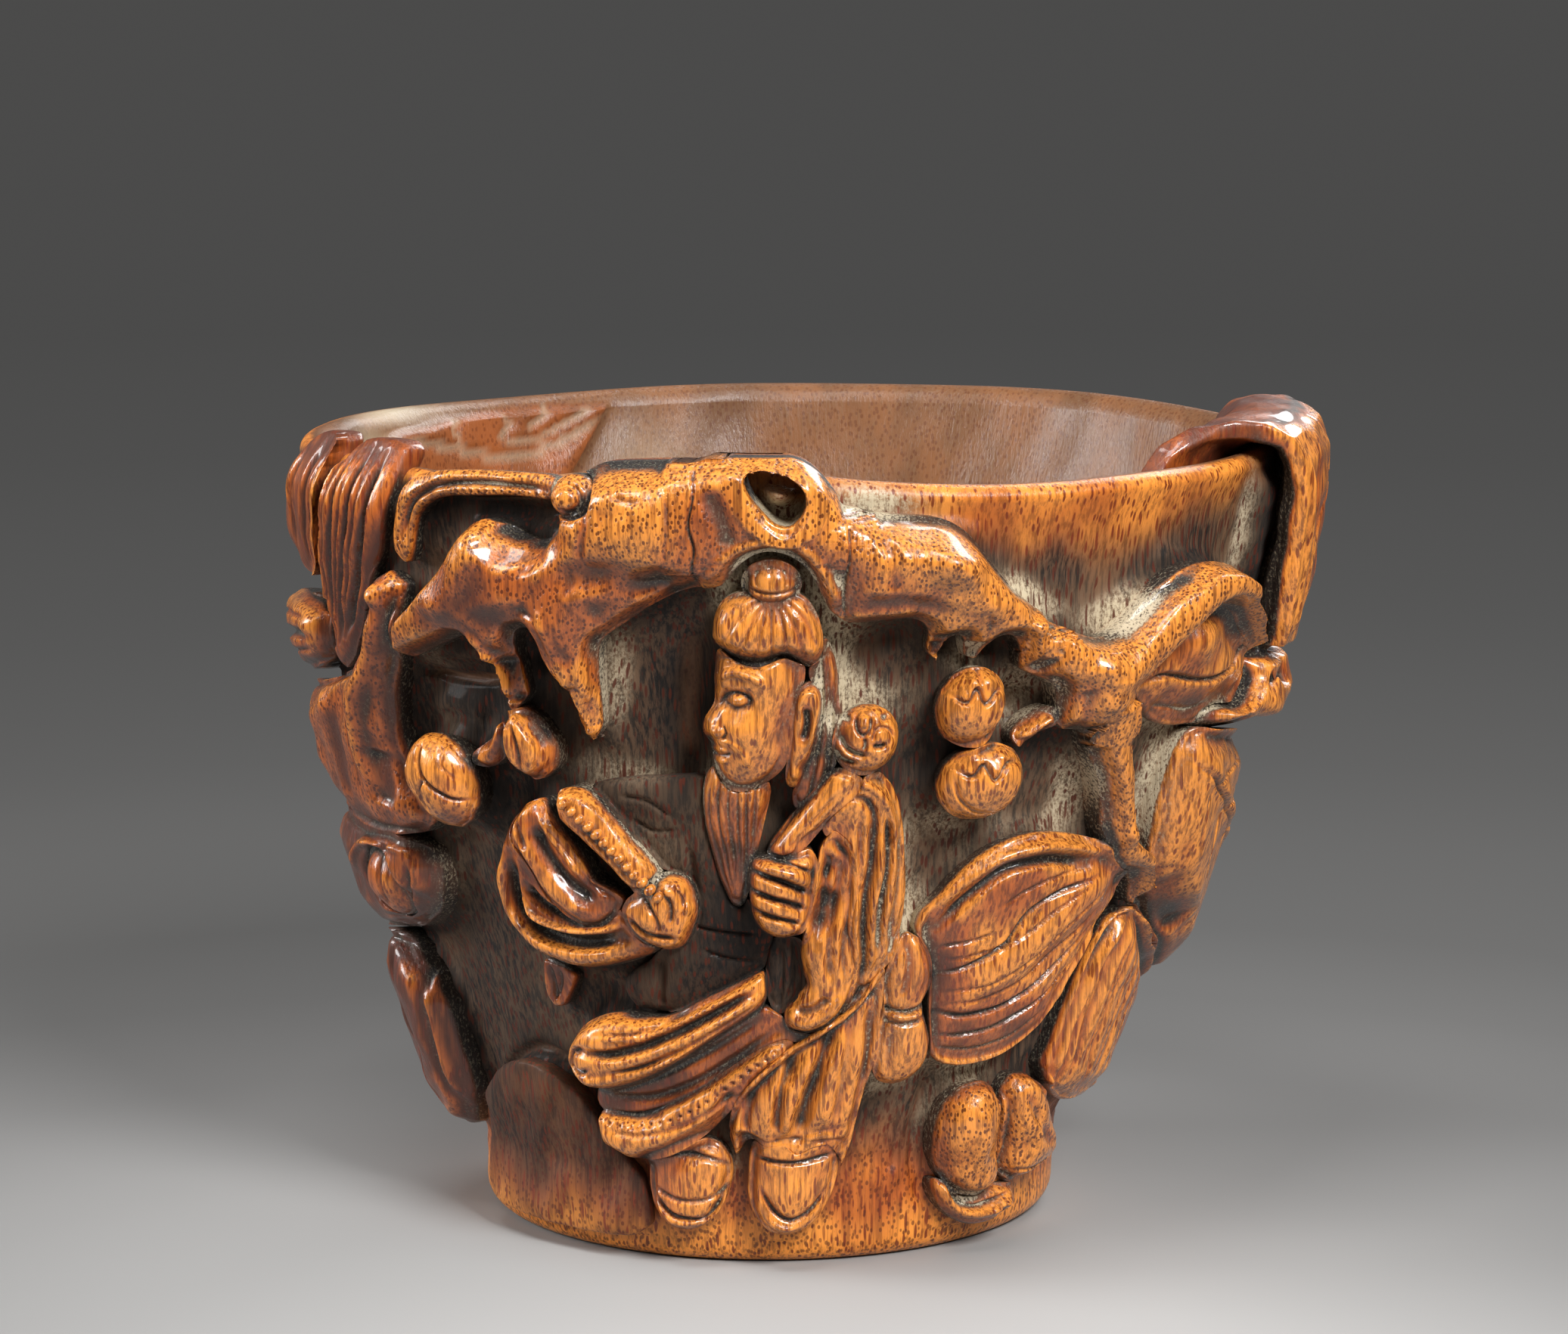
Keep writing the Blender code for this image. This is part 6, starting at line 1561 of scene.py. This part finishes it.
def wall_values(piece, relief):
    """Values for the wall and its like: ground darkened by old dirt and painted shade, warm foot and rim,
    lining.
    """
    turn, up, out = relief.turn, relief.up, relief.out
    warmth = wall_warmth(turn, up)
    inside = np.zeros(len(turn))
    near = np.full(len(turn), DUST_NOT_WALL)
    if piece.name == "mound_carved":
        warmth = WARM_MOUND_TOP + amount(WARM_MOUND, up)
    if piece.name == "cup_wall":
        inside = ease(*LINING_STARTS, out)
        near = amount(DUST_BESIDE, relief.wide_rise)
    # Painted shade, with grime, on the ground beside the carving and in its hollows
    beside = amount(SHADE_AND_GRIME_BESIDE, relief.close_rise) * (1.0 - KEPT_OFF * relief.dusty)
    grime = np.clip(amount(SHADE_AND_GRIME_IN_HOLLOWS, -relief.stands) + relief.shaded_and_sooty + beside, 0.0, 1.0)
    dust = near * relief.dusty * (1.0 - KEPT_OFF * relief.shaded_and_sooty) * (1.0 - amount(WIPED_FOOT, up))
    veins = amount(VEIN_DUST, -cut_depth(turn, up, LINING_VEINS, LINING_MIDDLE))
    inner_dust = np.maximum(veins, patches(turn, up, LINING_DUST))
    leaf = ease(*LEAF_WARM, lining_leaf(turn, up))
    # At the foot's bottom edge the wear is also painted light, as if thrown up from the floor
    wear = WALL_WEAR + amount(FOOT_WEAR_AND_LIGHT, up) + amount(RIM_WEAR, up) + amount(PANEL_WEAR, up)
    return {
        "inside": inside,
        "warmth": warmth + (leaf - warmth) * inside,
        "dotted": amount(FOOT_DOTS, up),
        "wear": wear,
        "grime": grime * (1.0 - WIPED_WARM * warmth) * (1.0 - inside),
        "dust": dust + (inner_dust - dust) * inside,
    }


def carved_values(piece, relief):
    """Values for a carved piece: worn where it stands proud, painted lighter on tops, at the front and in
    lit patches, painted darker at the left and in shaded patches, with painted shade and dirt in its
    creases, painted shade underneath, and dusty in its creases.
    """
    turn, up, out = relief.turn, relief.up, relief.out
    proud, stands, dusty = relief.proud, relief.stands, relief.dusty
    standing = WEAR_STANDING * stands + WEAR_PROUD * proud
    # Painted light on what faces up, painted shade on what faces down
    wear = np.clip(WEAR_EVEN + standing + LIGHT_ON_TOPS * relief.upward, 0.0, 1.0)
    # Painted light at the front, painted shade at the left
    for more, start, end in (LIGHT_AT_FRONT, SHADE_AT_LEFT):
        wear = wear + more * ease(*start, turn) * (1.0 - ease(*end, turn))
    # Painted light and painted shade in patches
    wear = wear + LIT_PATCH_SHARE * patches(turn, up, LIT_PATCHES)
    wear = wear + SHADED_PATCH_SHARE * patches(turn, up, SHADED_PATCHES)
    # Painted shade, with grime, in hollows and creases, and painted shade on undersides
    grime = amount(HOLLOW_SHADE_AND_GRIME, -stands) + amount(CREASE_SHADE_AND_GRIME, -proud)
    grime = grime + amount(UNDERSIDE_SHADE, -relief.upward)
    dust = amount(CREASE_DUST, -proud) * (DUST_ANYWHERE + DUST_IN_PATCH * dusty)
    dust = dust + amount(LOW_DUST, -stands) * dusty
    flank = ease(*FLANK_HEIGHTS, out)
    grime = grime * (1.0 - np.minimum(FLANK_COVER * dusty, 1.0) * flank)
    dust = np.maximum(dust, FLANK_DUST * dusty * flank)
    dotted = piece.name.removesuffix("_carved") in DOTTED_PIECES
    over_rim = np.maximum(ease(*RIM_HEIGHTS, up) * ease(*RIM_OUT, out), ease(*RIM_INSIDE, out))
    return {
        "dotted": np.full(len(turn), DOTS_ACROSS if dotted else DOTS_ALONG),
        "wear": wear + (WEAR_EVEN - wear) * over_rim,
        "grime": grime * (1.0 - over_rim),
        "dust": dust * (1.0 - over_rim),
    }


def lay_patina(pieces, wall):
    """Work out how worn, dirty and dusty every point is, with painted light and shade."""
    field = height_map([mesh_points(piece.data) for piece in pieces])
    close = blurred(field, CLOSE_REACH / MAP_STEP)
    wide = blurred(field, WIDE_REACH / MAP_STEP)
    for piece in pieces + [wall]:
        like_wall = piece["cup_slot"] == "bamboo_wall"
        values = (wall_values if like_wall else carved_values)(piece, Relief(piece, close, wide))
        # The grime values carry painted shade as well as grime
        for name in ("grime", "dust"):
            values[name] = np.clip(values[name], 0.0, 1.0)
        for name, numbers in values.items():
            set_value(piece.data, name, numbers)


# Finishes

# Fibres wander: how slowly, across and along the grain, and how far in metres
DRIFT_PITCH = (90.0, 60.0)
DRIFT_REACH = (0.0016, 0.0016, 0.0)
# Patterns: how close across and along the fibres, detail and roughness
FIBRES = (2300.0, 90.0, 4.0, 0.65)
CLOUDS = (130.0, 70.0, 3.0)
SPECKS = (3800.0, 2400.0, 4.0, 0.7)
# Dots and dashes: where their edge is, and which of them show. Dots are a little longer than wide
DOT_EDGE = (0.44, 0.28)
DOT_CHANCE = (0.05, 0.35)
DOT_LENGTH = 1.5
DASH_EDGE = (0.40, 0.26)
DASH_CHANCE = (0.05, 0.45)
WALL_COARSENESS = 1.15
# Clouds make the tone uneven by this much
CLOUDY = (0.3, 0.7)
UNEVEN = 0.2
WALL_UNEVEN = 0.15
# How much darker the shaded copy of the bamboo finish is painted, as if in shade
SHADED_DARKENING = -0.2


class Finish:
    """A material being built, with short ways to add its nodes."""

    def __init__(self, name):
        self.material = bpy.data.materials.new(name)
        self.material.use_nodes = True
        self.tree = self.material.node_tree
        self.shader = self.tree.nodes["Principled BSDF"]
        self.place = self.add("TexCoord", {})["Object"]

    def link(self, source, target):
        """Join two sockets, or set a number, vector or colour on the second."""
        if isinstance(source, bpy.types.NodeSocket):
            self.tree.links.new(source, target)
        elif target.type == "RGBA":
            target.default_value = (*source, 1.0)
        else:
            target.default_value = source

    def add(self, kind, entries, **options):
        """Outputs of a new node with these options, its entries joined or set."""
        node = self.tree.nodes.new("ShaderNode" + kind)
        for name, value in options.items():
            setattr(node, name, value)
        for name, value in entries.items():
            self.link(value, node.inputs[name])
        return node.outputs

    def shade(self, **entries):
        """Join or set the shader's own sockets, named with low lines for spaces."""
        for name, value in entries.items():
            self.link(value, self.shader.inputs[name.replace("_", " ")])

    def values(self, *names):
        """Numbers kept at each vertex."""
        return [self.add("Attribute", {}, attribute_name=name)["Fac"] for name in names]

    def scaled(self, place, across, along):
        """Coordinates scaled across and along the fibres."""
        return self.add("Mapping", {"Vector": place, "Scale": (across, across, along)})["Vector"]

    def noise(self, across, along, detail=2.0, roughness=0.55):
        """Cloudy pattern."""
        place = self.scaled(self.place, across, along)
        entries = {"Vector": place, "Scale": 1.0, "Detail": detail, "Roughness": roughness}
        return self.add("TexNoise", entries)["Fac"]

    def rods(self, spacing, length):
        """Upright fibres: how near each place is to one, and a random number for it."""
        slow = self.scaled(self.place, *DRIFT_PITCH)
        drift = self.add("TexNoise", {"Vector": slow, "Scale": 1.0, "Detail": 1.0})["Color"]
        entries = {0: drift, 1: DRIFT_REACH, 2: self.place}
        moved = self.add("VectorMath", entries, operation="MULTIPLY_ADD")["Vector"]
        cells = self.scaled(moved, 1.0 / spacing, 1.0 / length)
        rod = self.add("TexVoronoi", {"Vector": cells, "Scale": 1.0})
        return rod["Distance"], rod["Color"]

    def span(self, value, low, high, bottom=0.0, top=1.0):
        """Smooth step of a value between two limits."""
        entries = {"Value": value, "From Min": low, "From Max": high, "To Min": bottom, "To Max": top}
        return self.add("MapRange", entries, interpolation_type="SMOOTHSTEP")["Result"]

    def math(self, kind, first, second):
        """Two values put together, held between 0 and 1."""
        return self.add("Math", {0: first, 1: second}, operation=kind, use_clamp=True)["Value"]

    def times(self, first, second):
        """Product of two values."""
        return self.math("MULTIPLY", first, second)

    def plus(self, first, second):
        """Sum of two values."""
        return self.math("ADD", first, second)

    def layers(self, colour, *coats):
        """A colour with others laid over it, each by its share."""
        for share, coat in coats:
            colour = self.add("Mix", {"Factor": share, 6: colour, 7: coat}, data_type="RGBA")[2]
        return colour

    def bump(self, height, distance, strength, normal=None):
        """Fine relief, over any relief there is."""
        entries = {"Height": height, "Distance": distance, "Strength": strength}
        if normal is not None:
            entries["Normal"] = normal
        return self.add("Bump", entries)["Normal"]


def bamboo_parts(finish, patina, coarse=1.0):
    """Patterns that every bamboo finish shares: dots, dashes, fibres, clouds and specks."""
    spacing = coarse * patina.dot_spacing
    near, chance = finish.rods(spacing, DOT_LENGTH * spacing)
    dots = finish.times(finish.span(near, *DOT_EDGE), finish.span(chance, *DOT_CHANCE))
    near, chance = finish.rods(patina.fleck_spacing, patina.fleck_length)
    dashes = finish.times(finish.span(near, *DASH_EDGE), finish.span(chance, *DASH_CHANCE))
    return dots, dashes, finish.noise(*FIBRES), finish.noise(*CLOUDS), finish.noise(*SPECKS)


def bamboo(name, patina, worn):
    """Oiled, handled bamboo: bright where rubbed and where light is painted on, dark with painted shade and
    dirt in the creases.
    """
    finish = Finish(name)
    dots, dashes, fibres, clouds, specks = bamboo_parts(finish, patina)
    wear, dotted, grime, dust = finish.values("wear", "dotted", "grime", "dust")
    # The tone carries wear together with painted light and shade; the shaded copy is painted darker still
    tone = finish.plus(wear, finish.span(clouds, *CLOUDY, worn - UNEVEN, worn + UNEVEN))
    dashes = finish.times(dashes, finish.span(dotted, 0.2, 0.9, 0.85, 0.3))
    dots = finish.times(dots, dotted)
    grime = finish.times(grime, finish.span(specks, 0.25, 0.6, 0.8, 1.1))
    veil = finish.times(dust, finish.span(fibres, 0.36, 0.6, 0.35, 0.95))
    crumbs = finish.plus(specks, finish.span(dust, 0.5, 1.0, 0.0, 0.16))
    colour = finish.layers(
        patina.deep,
        (finish.span(tone, 0.02, 0.42), patina.warm),
        (finish.span(tone, 0.36, 0.8), patina.bright),
        (finish.span(fibres, 0.58, 0.36, 0.0, 0.72), patina.deep),
        (dashes, patina.streak),
        (dots, patina.fleck),
        (veil, patina.veil),
        # Painted shade, with grime, laid in the soot colour
        (grime, patina.soot_and_shade),
        (finish.times(dust, finish.span(crumbs, 0.5, 0.66)), patina.dust),
    )
    rough = finish.span(finish.math("SUBTRACT", tone, grime), 0.05, 0.6, 0.5, patina.gloss)
    rough = finish.plus(rough, finish.times(veil, 0.35))
    normal = finish.bump(fibres, 0.0002, 0.6)
    normal = finish.bump(specks, 0.00004, 0.4, normal)
    normal = finish.bump(finish.math("MAXIMUM", dots, dashes), -0.00006, 0.5, normal)
    finish.shade(Base_Color=colour, Roughness=rough, Normal=normal, Coat_Weight=0.55, Coat_Roughness=0.08)
    return finish.material


def bamboo_wall(name, patina):
    """The wall: dark ground with dust, dirt and painted shade, warm foot and rim, brown lining."""
    finish = Finish(name)
    dots, dashes, fibres, clouds, specks = bamboo_parts(finish, patina, WALL_COARSENESS)
    warmth, inside, wear = finish.values("warmth", "inside", "wear")
    grime, dust, dotted = finish.values("grime", "dust", "dotted")
    uneven = finish.span(clouds, *CLOUDY, -WALL_UNEVEN, WALL_UNEVEN)
    tone = finish.plus(warmth, uneven)
    # The wall's rubbed tone also carries the painted light on the foot's bottom edge
    rubbing_and_light = finish.plus(wear, uneven)
    grime = finish.times(grime, 0.9)
    film = finish.times(dust, finish.span(fibres, 0.36, 0.6, 0.6, 1.0))
    crumbs = finish.plus(finish.times(fibres, 0.35), finish.times(specks, 0.65))
    crumbs = finish.plus(crumbs, finish.span(dust, 0.6, 1.0, 0.0, 0.06))
    powder = finish.times(finish.span(dust, 0.15, 0.9), finish.span(crumbs, 0.4, 0.6))
    ground = finish.layers(
        patina.soot_and_shade,
        (finish.span(fibres, 0.38, 0.6), patina.ground),
        (finish.span(clouds, 0.45, 0.75, 0.0, 0.45), patina.veil),
    )
    rubbed = finish.layers(
        patina.deep,
        (finish.span(rubbing_and_light, 0.0, 0.4), patina.warm),
        (finish.span(rubbing_and_light, 0.34, 0.75), patina.bright),
        (finish.span(fibres, 0.56, 0.36, 0.0, 0.5), patina.deep),
    )
    bared = finish.layers(patina.fleck, (finish.span(tone, 0.1, 0.5), patina.streak))
    leaf = finish.layers(patina.deep, (finish.span(clouds, *CLOUDY), patina.warm))
    lining = finish.layers(
        patina.lining,
        (finish.span(clouds, 0.35, 0.65, 0.0, 0.6), patina.ground),
        (finish.span(fibres, 0.5, 0.7, 0.0, 0.3), patina.veil),
        (finish.times(warmth, 0.5), leaf),
        (finish.times(dots, 0.4), patina.fleck),
        (finish.times(inside, dust), patina.dust),
    )
    colour = finish.layers(
        ground,
        (finish.span(tone, 0.05, 0.85), rubbed),
        # Painted shade, with grime and soot, laid on the ground
        (grime, patina.soot_and_shade),
        (film, patina.veil),
        (powder, patina.dust),
        (finish.times(dashes, 0.9), bared),
        (finish.times(dots, dotted), patina.fleck),
        (inside, lining),
    )
    rough = finish.span(finish.plus(tone, finish.times(inside, 0.7)), 0.1, 0.9, 0.68, 0.3)
    rough = finish.plus(rough, finish.times(finish.plus(film, grime), 0.3))
    normal = finish.bump(fibres, 0.00022, 0.6)
    normal = finish.bump(specks, 0.00006, 0.35, normal)
    finish.shade(Base_Color=colour, Roughness=rough, Normal=normal, Specular_IOR_Level=0.42)
    finish.shade(Coat_Weight=0.05, Coat_Roughness=0.2)
    return finish.material


def finish_for(slot, patina):
    """The finish of a slot, made the first time that it is asked for."""
    name = slot + "_finish"
    if name in bpy.data.materials:
        return bpy.data.materials[name]
    if slot == "bamboo_wall":
        return bamboo_wall(name, patina)
    # The shaded copy is the same bamboo painted darker, as if in shade
    return bamboo(name, patina, SHADED_DARKENING if slot == "bamboo_dim" else 0.0)


# Stage

# The floor, painted with a pool of light: its palest place, painted tones by distance from there in metres,
# and where it fades into a glow like the sweep
FLOOR_LIGHT_MIDDLE = (0.0, -0.08, 0.0)
FLOOR_PAINTED_LIGHT = (
    (0.0, 0.47), (0.03, 0.43), (0.08, 0.32), (0.10, 0.262), (0.14, 0.182), (0.18, 0.138), (0.22, 0.116),
    (0.28, 0.112), (0.34, 0.103), (0.42, 0.099), (0.72, 0.078), (1.0, 0.070),
)
FLOOR_TINT = (1.0, 0.99, 0.975)
FLOOR_GLOW_FADE = (0.12, 0.55)
FLOOR_SEGMENTS = 96
SKY_COLOUR = (1.0, 0.99, 0.97, 1.0)
SWEEP_COLOUR = (0.070, 0.069, 0.067, 1.0)
SENSOR_WIDTH = 36.0
CLIP_END = 50.0
# Soft lights aimed at the middle of the cup: place and width in metres
LIGHT_TARGET = (0.0, 0.0, 0.045)
LIGHTS = {
    "key": ((0.30, -0.55, 0.50), 0.22),
    "side": ((-0.60, -0.02, 0.27), 0.24),
    "top": ((-0.10, -0.26, 0.68), 0.22),
    "back": ((0.30, 0.50, 0.45), 0.30),
}


def floor_material():
    """Floor painted with a pool of light that falls away into grey, and glows where it is far off."""
    finish = Finish("floor_sweep")
    entries = {0: finish.place, 1: FLOOR_LIGHT_MIDDLE}
    apart = finish.add("VectorMath", entries, operation="DISTANCE")["Value"]
    ramp = finish.tree.nodes.new("ShaderNodeValToRGB")
    ramp.color_ramp.elements[0].position = FLOOR_PAINTED_LIGHT[0][0]
    ramp.color_ramp.elements[1].position = FLOOR_PAINTED_LIGHT[-1][0]
    for position, _ in FLOOR_PAINTED_LIGHT[1:-1]:
        ramp.color_ramp.elements.new(position)
    for element, (_, level) in zip(ramp.color_ramp.elements, FLOOR_PAINTED_LIGHT):
        element.color = (*(level * share for share in FLOOR_TINT), 1.0)
    finish.link(apart, ramp.inputs["Fac"])
    # A painted pool of light, palest in front of the cup
    tone = ramp.outputs["Color"]
    finish.shade(Base_Color=tone, Roughness=0.9, Specular_IOR_Level=0.0)
    # Far off, the floor glows in the same tone, though it is no lamp
    glow = finish.add("Emission", {"Color": tone})["Emission"]
    entries = {"Fac": finish.span(apart, *FLOOR_GLOW_FADE), 1: finish.shader.outputs["BSDF"], 2: glow}
    blend = finish.add("MixShader", entries)["Shader"]
    finish.link(blend, finish.tree.nodes["Material Output"].inputs["Surface"])
    return finish.material


def add_light(name, place, size, power):
    """A soft square light aimed at the cup."""
    lamp = bpy.data.lights.new(name, "AREA")
    lamp.size = size
    lamp.energy = power
    light = add_object(name, lamp)
    light.location = place
    aim = Vector(LIGHT_TARGET) - Vector(place)
    light.rotation_euler = aim.to_track_quat("-Z", "Y").to_euler()


def add_camera(settings):
    """A camera at the photograph's viewing angle."""
    camera = add_object("camera", bpy.data.cameras.new("camera"))
    camera.data.lens = settings.lens
    camera.data.sensor_width = SENSOR_WIDTH
    camera.data.clip_end = CLIP_END
    camera.location = settings.camera_place
    camera.rotation_euler = Euler((settings.camera_tilt, 0.0, 0.0))
    bpy.context.scene.camera = camera


def add_floor(settings):
    """A round floor."""
    shape = bmesh.new()
    bmesh.ops.create_circle(shape, cap_ends=True, segments=FLOOR_SEGMENTS, radius=settings.floor_radius)
    mesh = bpy.data.meshes.new("floor")
    shape.to_mesh(mesh)
    shape.free()
    mesh.materials.append(floor_material())
    floor = add_object("floor", mesh)


def add_sky(settings):
    """Even light from all round, with a grey sweep behind the cup."""
    world = bpy.data.worlds.new("studio")
    bpy.context.scene.world = world
    world.use_nodes = True
    tree = world.node_tree
    sky = tree.nodes["Background"]
    sky.inputs["Color"].default_value = SKY_COLOUR
    sky.inputs["Strength"].default_value = settings.sky
    far = tree.nodes.new("ShaderNodeBackground")
    far.inputs["Color"].default_value = SWEEP_COLOUR
    rays = tree.nodes.new("ShaderNodeLightPath")
    blend = tree.nodes.new("ShaderNodeMixShader")
    tree.links.new(rays.outputs["Is Camera Ray"], blend.inputs["Fac"])
    tree.links.new(sky.outputs["Background"], blend.inputs[1])
    tree.links.new(far.outputs["Background"], blend.inputs[2])
    tree.links.new(blend.outputs["Shader"], tree.nodes["World Output"].inputs["Surface"])


def build_stage(settings):
    """Camera, floor, sky and lights."""
    bpy.context.scene.view_settings.view_transform = "Standard"
    add_camera(settings)
    add_floor(settings)
    add_sky(settings)
    for name, (place, size) in LIGHTS.items():
        add_light(name + "_light", place, size, getattr(settings, name + "_power"))


# Operators


class CUP_OT_wall(Operator):
    """Turn the cup's wall"""

    bl_idname = "libation_cup.wall"
    bl_label = "Wall"

    def execute(self, context):
        build_wall(context.scene.cup_wall)
        return {"FINISHED"}


class CUP_OT_measure(Operator):
    """Measure how the solids stand off the wall"""

    bl_idname = "libation_cup.measure"
    bl_label = "Measure Solids"

    def execute(self, context):
        measure_solids(context.scene.cup_carving)
        return {"FINISHED"}


class CUP_OT_tree(Operator):
    """Carve trunk, bough and twigs"""

    bl_idname = "libation_cup.tree"
    bl_label = "Tree"

    def execute(self, context):
        carving = context.scene.cup_carving
        carve("trunk", TREE_NODES, TREE, carving, seams=TREE_SEAMS)
        carve_group(TWIGS, carving, fine=True)
        return {"FINISHED"}


class GroupStep:
    """A step that carves one group of pieces"""

    fine = True

    def execute(self, context):
        carve_group(self.group, context.scene.cup_carving, self.fine)
        return {"FINISHED"}


class CUP_OT_fruits(GroupStep, Operator):
    """Carve fruits, pods and nuts"""

    bl_idname = "libation_cup.fruits"
    bl_label = "Fruits"
    group = FRUITS


class CUP_OT_head(GroupStep, Operator):
    """Carve head, hair and beard"""

    bl_idname = "libation_cup.head"
    bl_label = "Head"
    group = HEAD


class CUP_OT_arms(GroupStep, Operator):
    """Carve staff, hands and sleeves"""

    bl_idname = "libation_cup.arms"
    bl_label = "Arms"
    group = ARMS


class CUP_OT_robe(GroupStep, Operator):
    """Carve robe, skirt, boots and ground"""

    bl_idname = "libation_cup.robe"
    bl_label = "Robe"
    group = ROBE
    fine = False


class CUP_OT_leaves(Operator):
    """Carve the leaves, with the one folded over the rim"""

    bl_idname = "libation_cup.leaves"
    bl_label = "Leaves"

    def execute(self, context):
        carving = context.scene.cup_carving
        carve_group(LEAVES, carving)
        carve("leaf_left_rim", LEFT_RIM_NODES, LEFT_RIM_CUTS, carving, seams=LEFT_RIM_SEAMS)
        carve("leaf_over_rim", DRAPED_NODES, DRAPED_LEAF, carving, along_normal=True)
        return {"FINISHED"}


class CUP_OT_beads(Operator):
    """String the beads of the braid on the forearm"""

    bl_idname = "libation_cup.beads"
    bl_label = "Beads"

    def execute(self, context):
        carving = context.scene.cup_carving
        parts = bead_tree(finish_for("bamboo_worn", context.scene.cup_patina))
        string_beads("forearm_braid", CUFF_PATH, CUFF_RISE, parts, carving.bead_spacing, carving.bead_radius)
        return {"FINISHED"}


class CUP_OT_patina(Operator):
    """Lay how worn, dirty and dusty each point is, with painted light and shade, on every piece, and finish
    it
    """

    bl_idname = "libation_cup.patina"
    bl_label = "Patina"

    def execute(self, context):
        patina = context.scene.cup_patina
        pieces = [item for item in bpy.data.objects if "cup_slot" in item]
        wall = next(item for item in pieces if item.name == "cup_wall")
        lay_patina([item for item in pieces if item is not wall], wall)
        for piece in pieces:
            piece.data.materials.clear()
            piece.data.materials.append(finish_for(piece["cup_slot"], patina))
        return {"FINISHED"}


class CUP_OT_stage(Operator):
    """Set up camera, floor and lights"""

    bl_idname = "libation_cup.stage"
    bl_label = "Stage"

    def execute(self, context):
        build_stage(context.scene.cup_stage)
        return {"FINISHED"}


class CUP_PT_panel(Panel):
    """Lists the steps in order"""

    bl_idname = "CUP_PT_panel"
    bl_label = "Libation Cup"
    bl_space_type = "VIEW_3D"
    bl_region_type = "UI"
    bl_category = "Libation Cup"

    def draw(self, context):
        for operator in OPERATORS:
            self.layout.operator(operator.bl_idname)


SETTINGS = {
    "cup_wall": WallSettings,
    "cup_carving": CarvingSettings,
    "cup_patina": PatinaSettings,
    "cup_stage": StageSettings,
}
OPERATORS = (
    CUP_OT_measure, CUP_OT_wall, CUP_OT_tree, CUP_OT_fruits, CUP_OT_head, CUP_OT_arms, CUP_OT_robe,
    CUP_OT_leaves, CUP_OT_beads, CUP_OT_patina, CUP_OT_stage,
)


def register():
    """Add the settings, operators and panel."""
    for name, group in SETTINGS.items():
        bpy.utils.register_class(group)
        setattr(bpy.types.Scene, name, PointerProperty(type=group))
    for operator in OPERATORS:
        bpy.utils.register_class(operator)
    bpy.utils.register_class(CUP_PT_panel)


def unregister():
    """Take them away again."""
    bpy.utils.unregister_class(CUP_PT_panel)
    for operator in reversed(OPERATORS):
        bpy.utils.unregister_class(operator)
    for name, group in SETTINGS.items():
        delattr(bpy.types.Scene, name)
        bpy.utils.unregister_class(group)


def main():
    """Carve, finish and stage the cup."""
    register()
    bpy.ops.libation_cup.measure()
    bpy.ops.libation_cup.wall()
    bpy.ops.libation_cup.tree()
    bpy.ops.libation_cup.fruits()
    bpy.ops.libation_cup.head()
    bpy.ops.libation_cup.arms()
    bpy.ops.libation_cup.robe()
    bpy.ops.libation_cup.leaves()
    bpy.ops.libation_cup.beads()
    bpy.ops.libation_cup.patina()
    bpy.ops.libation_cup.stage()


if __name__ == "__main__":
    main()
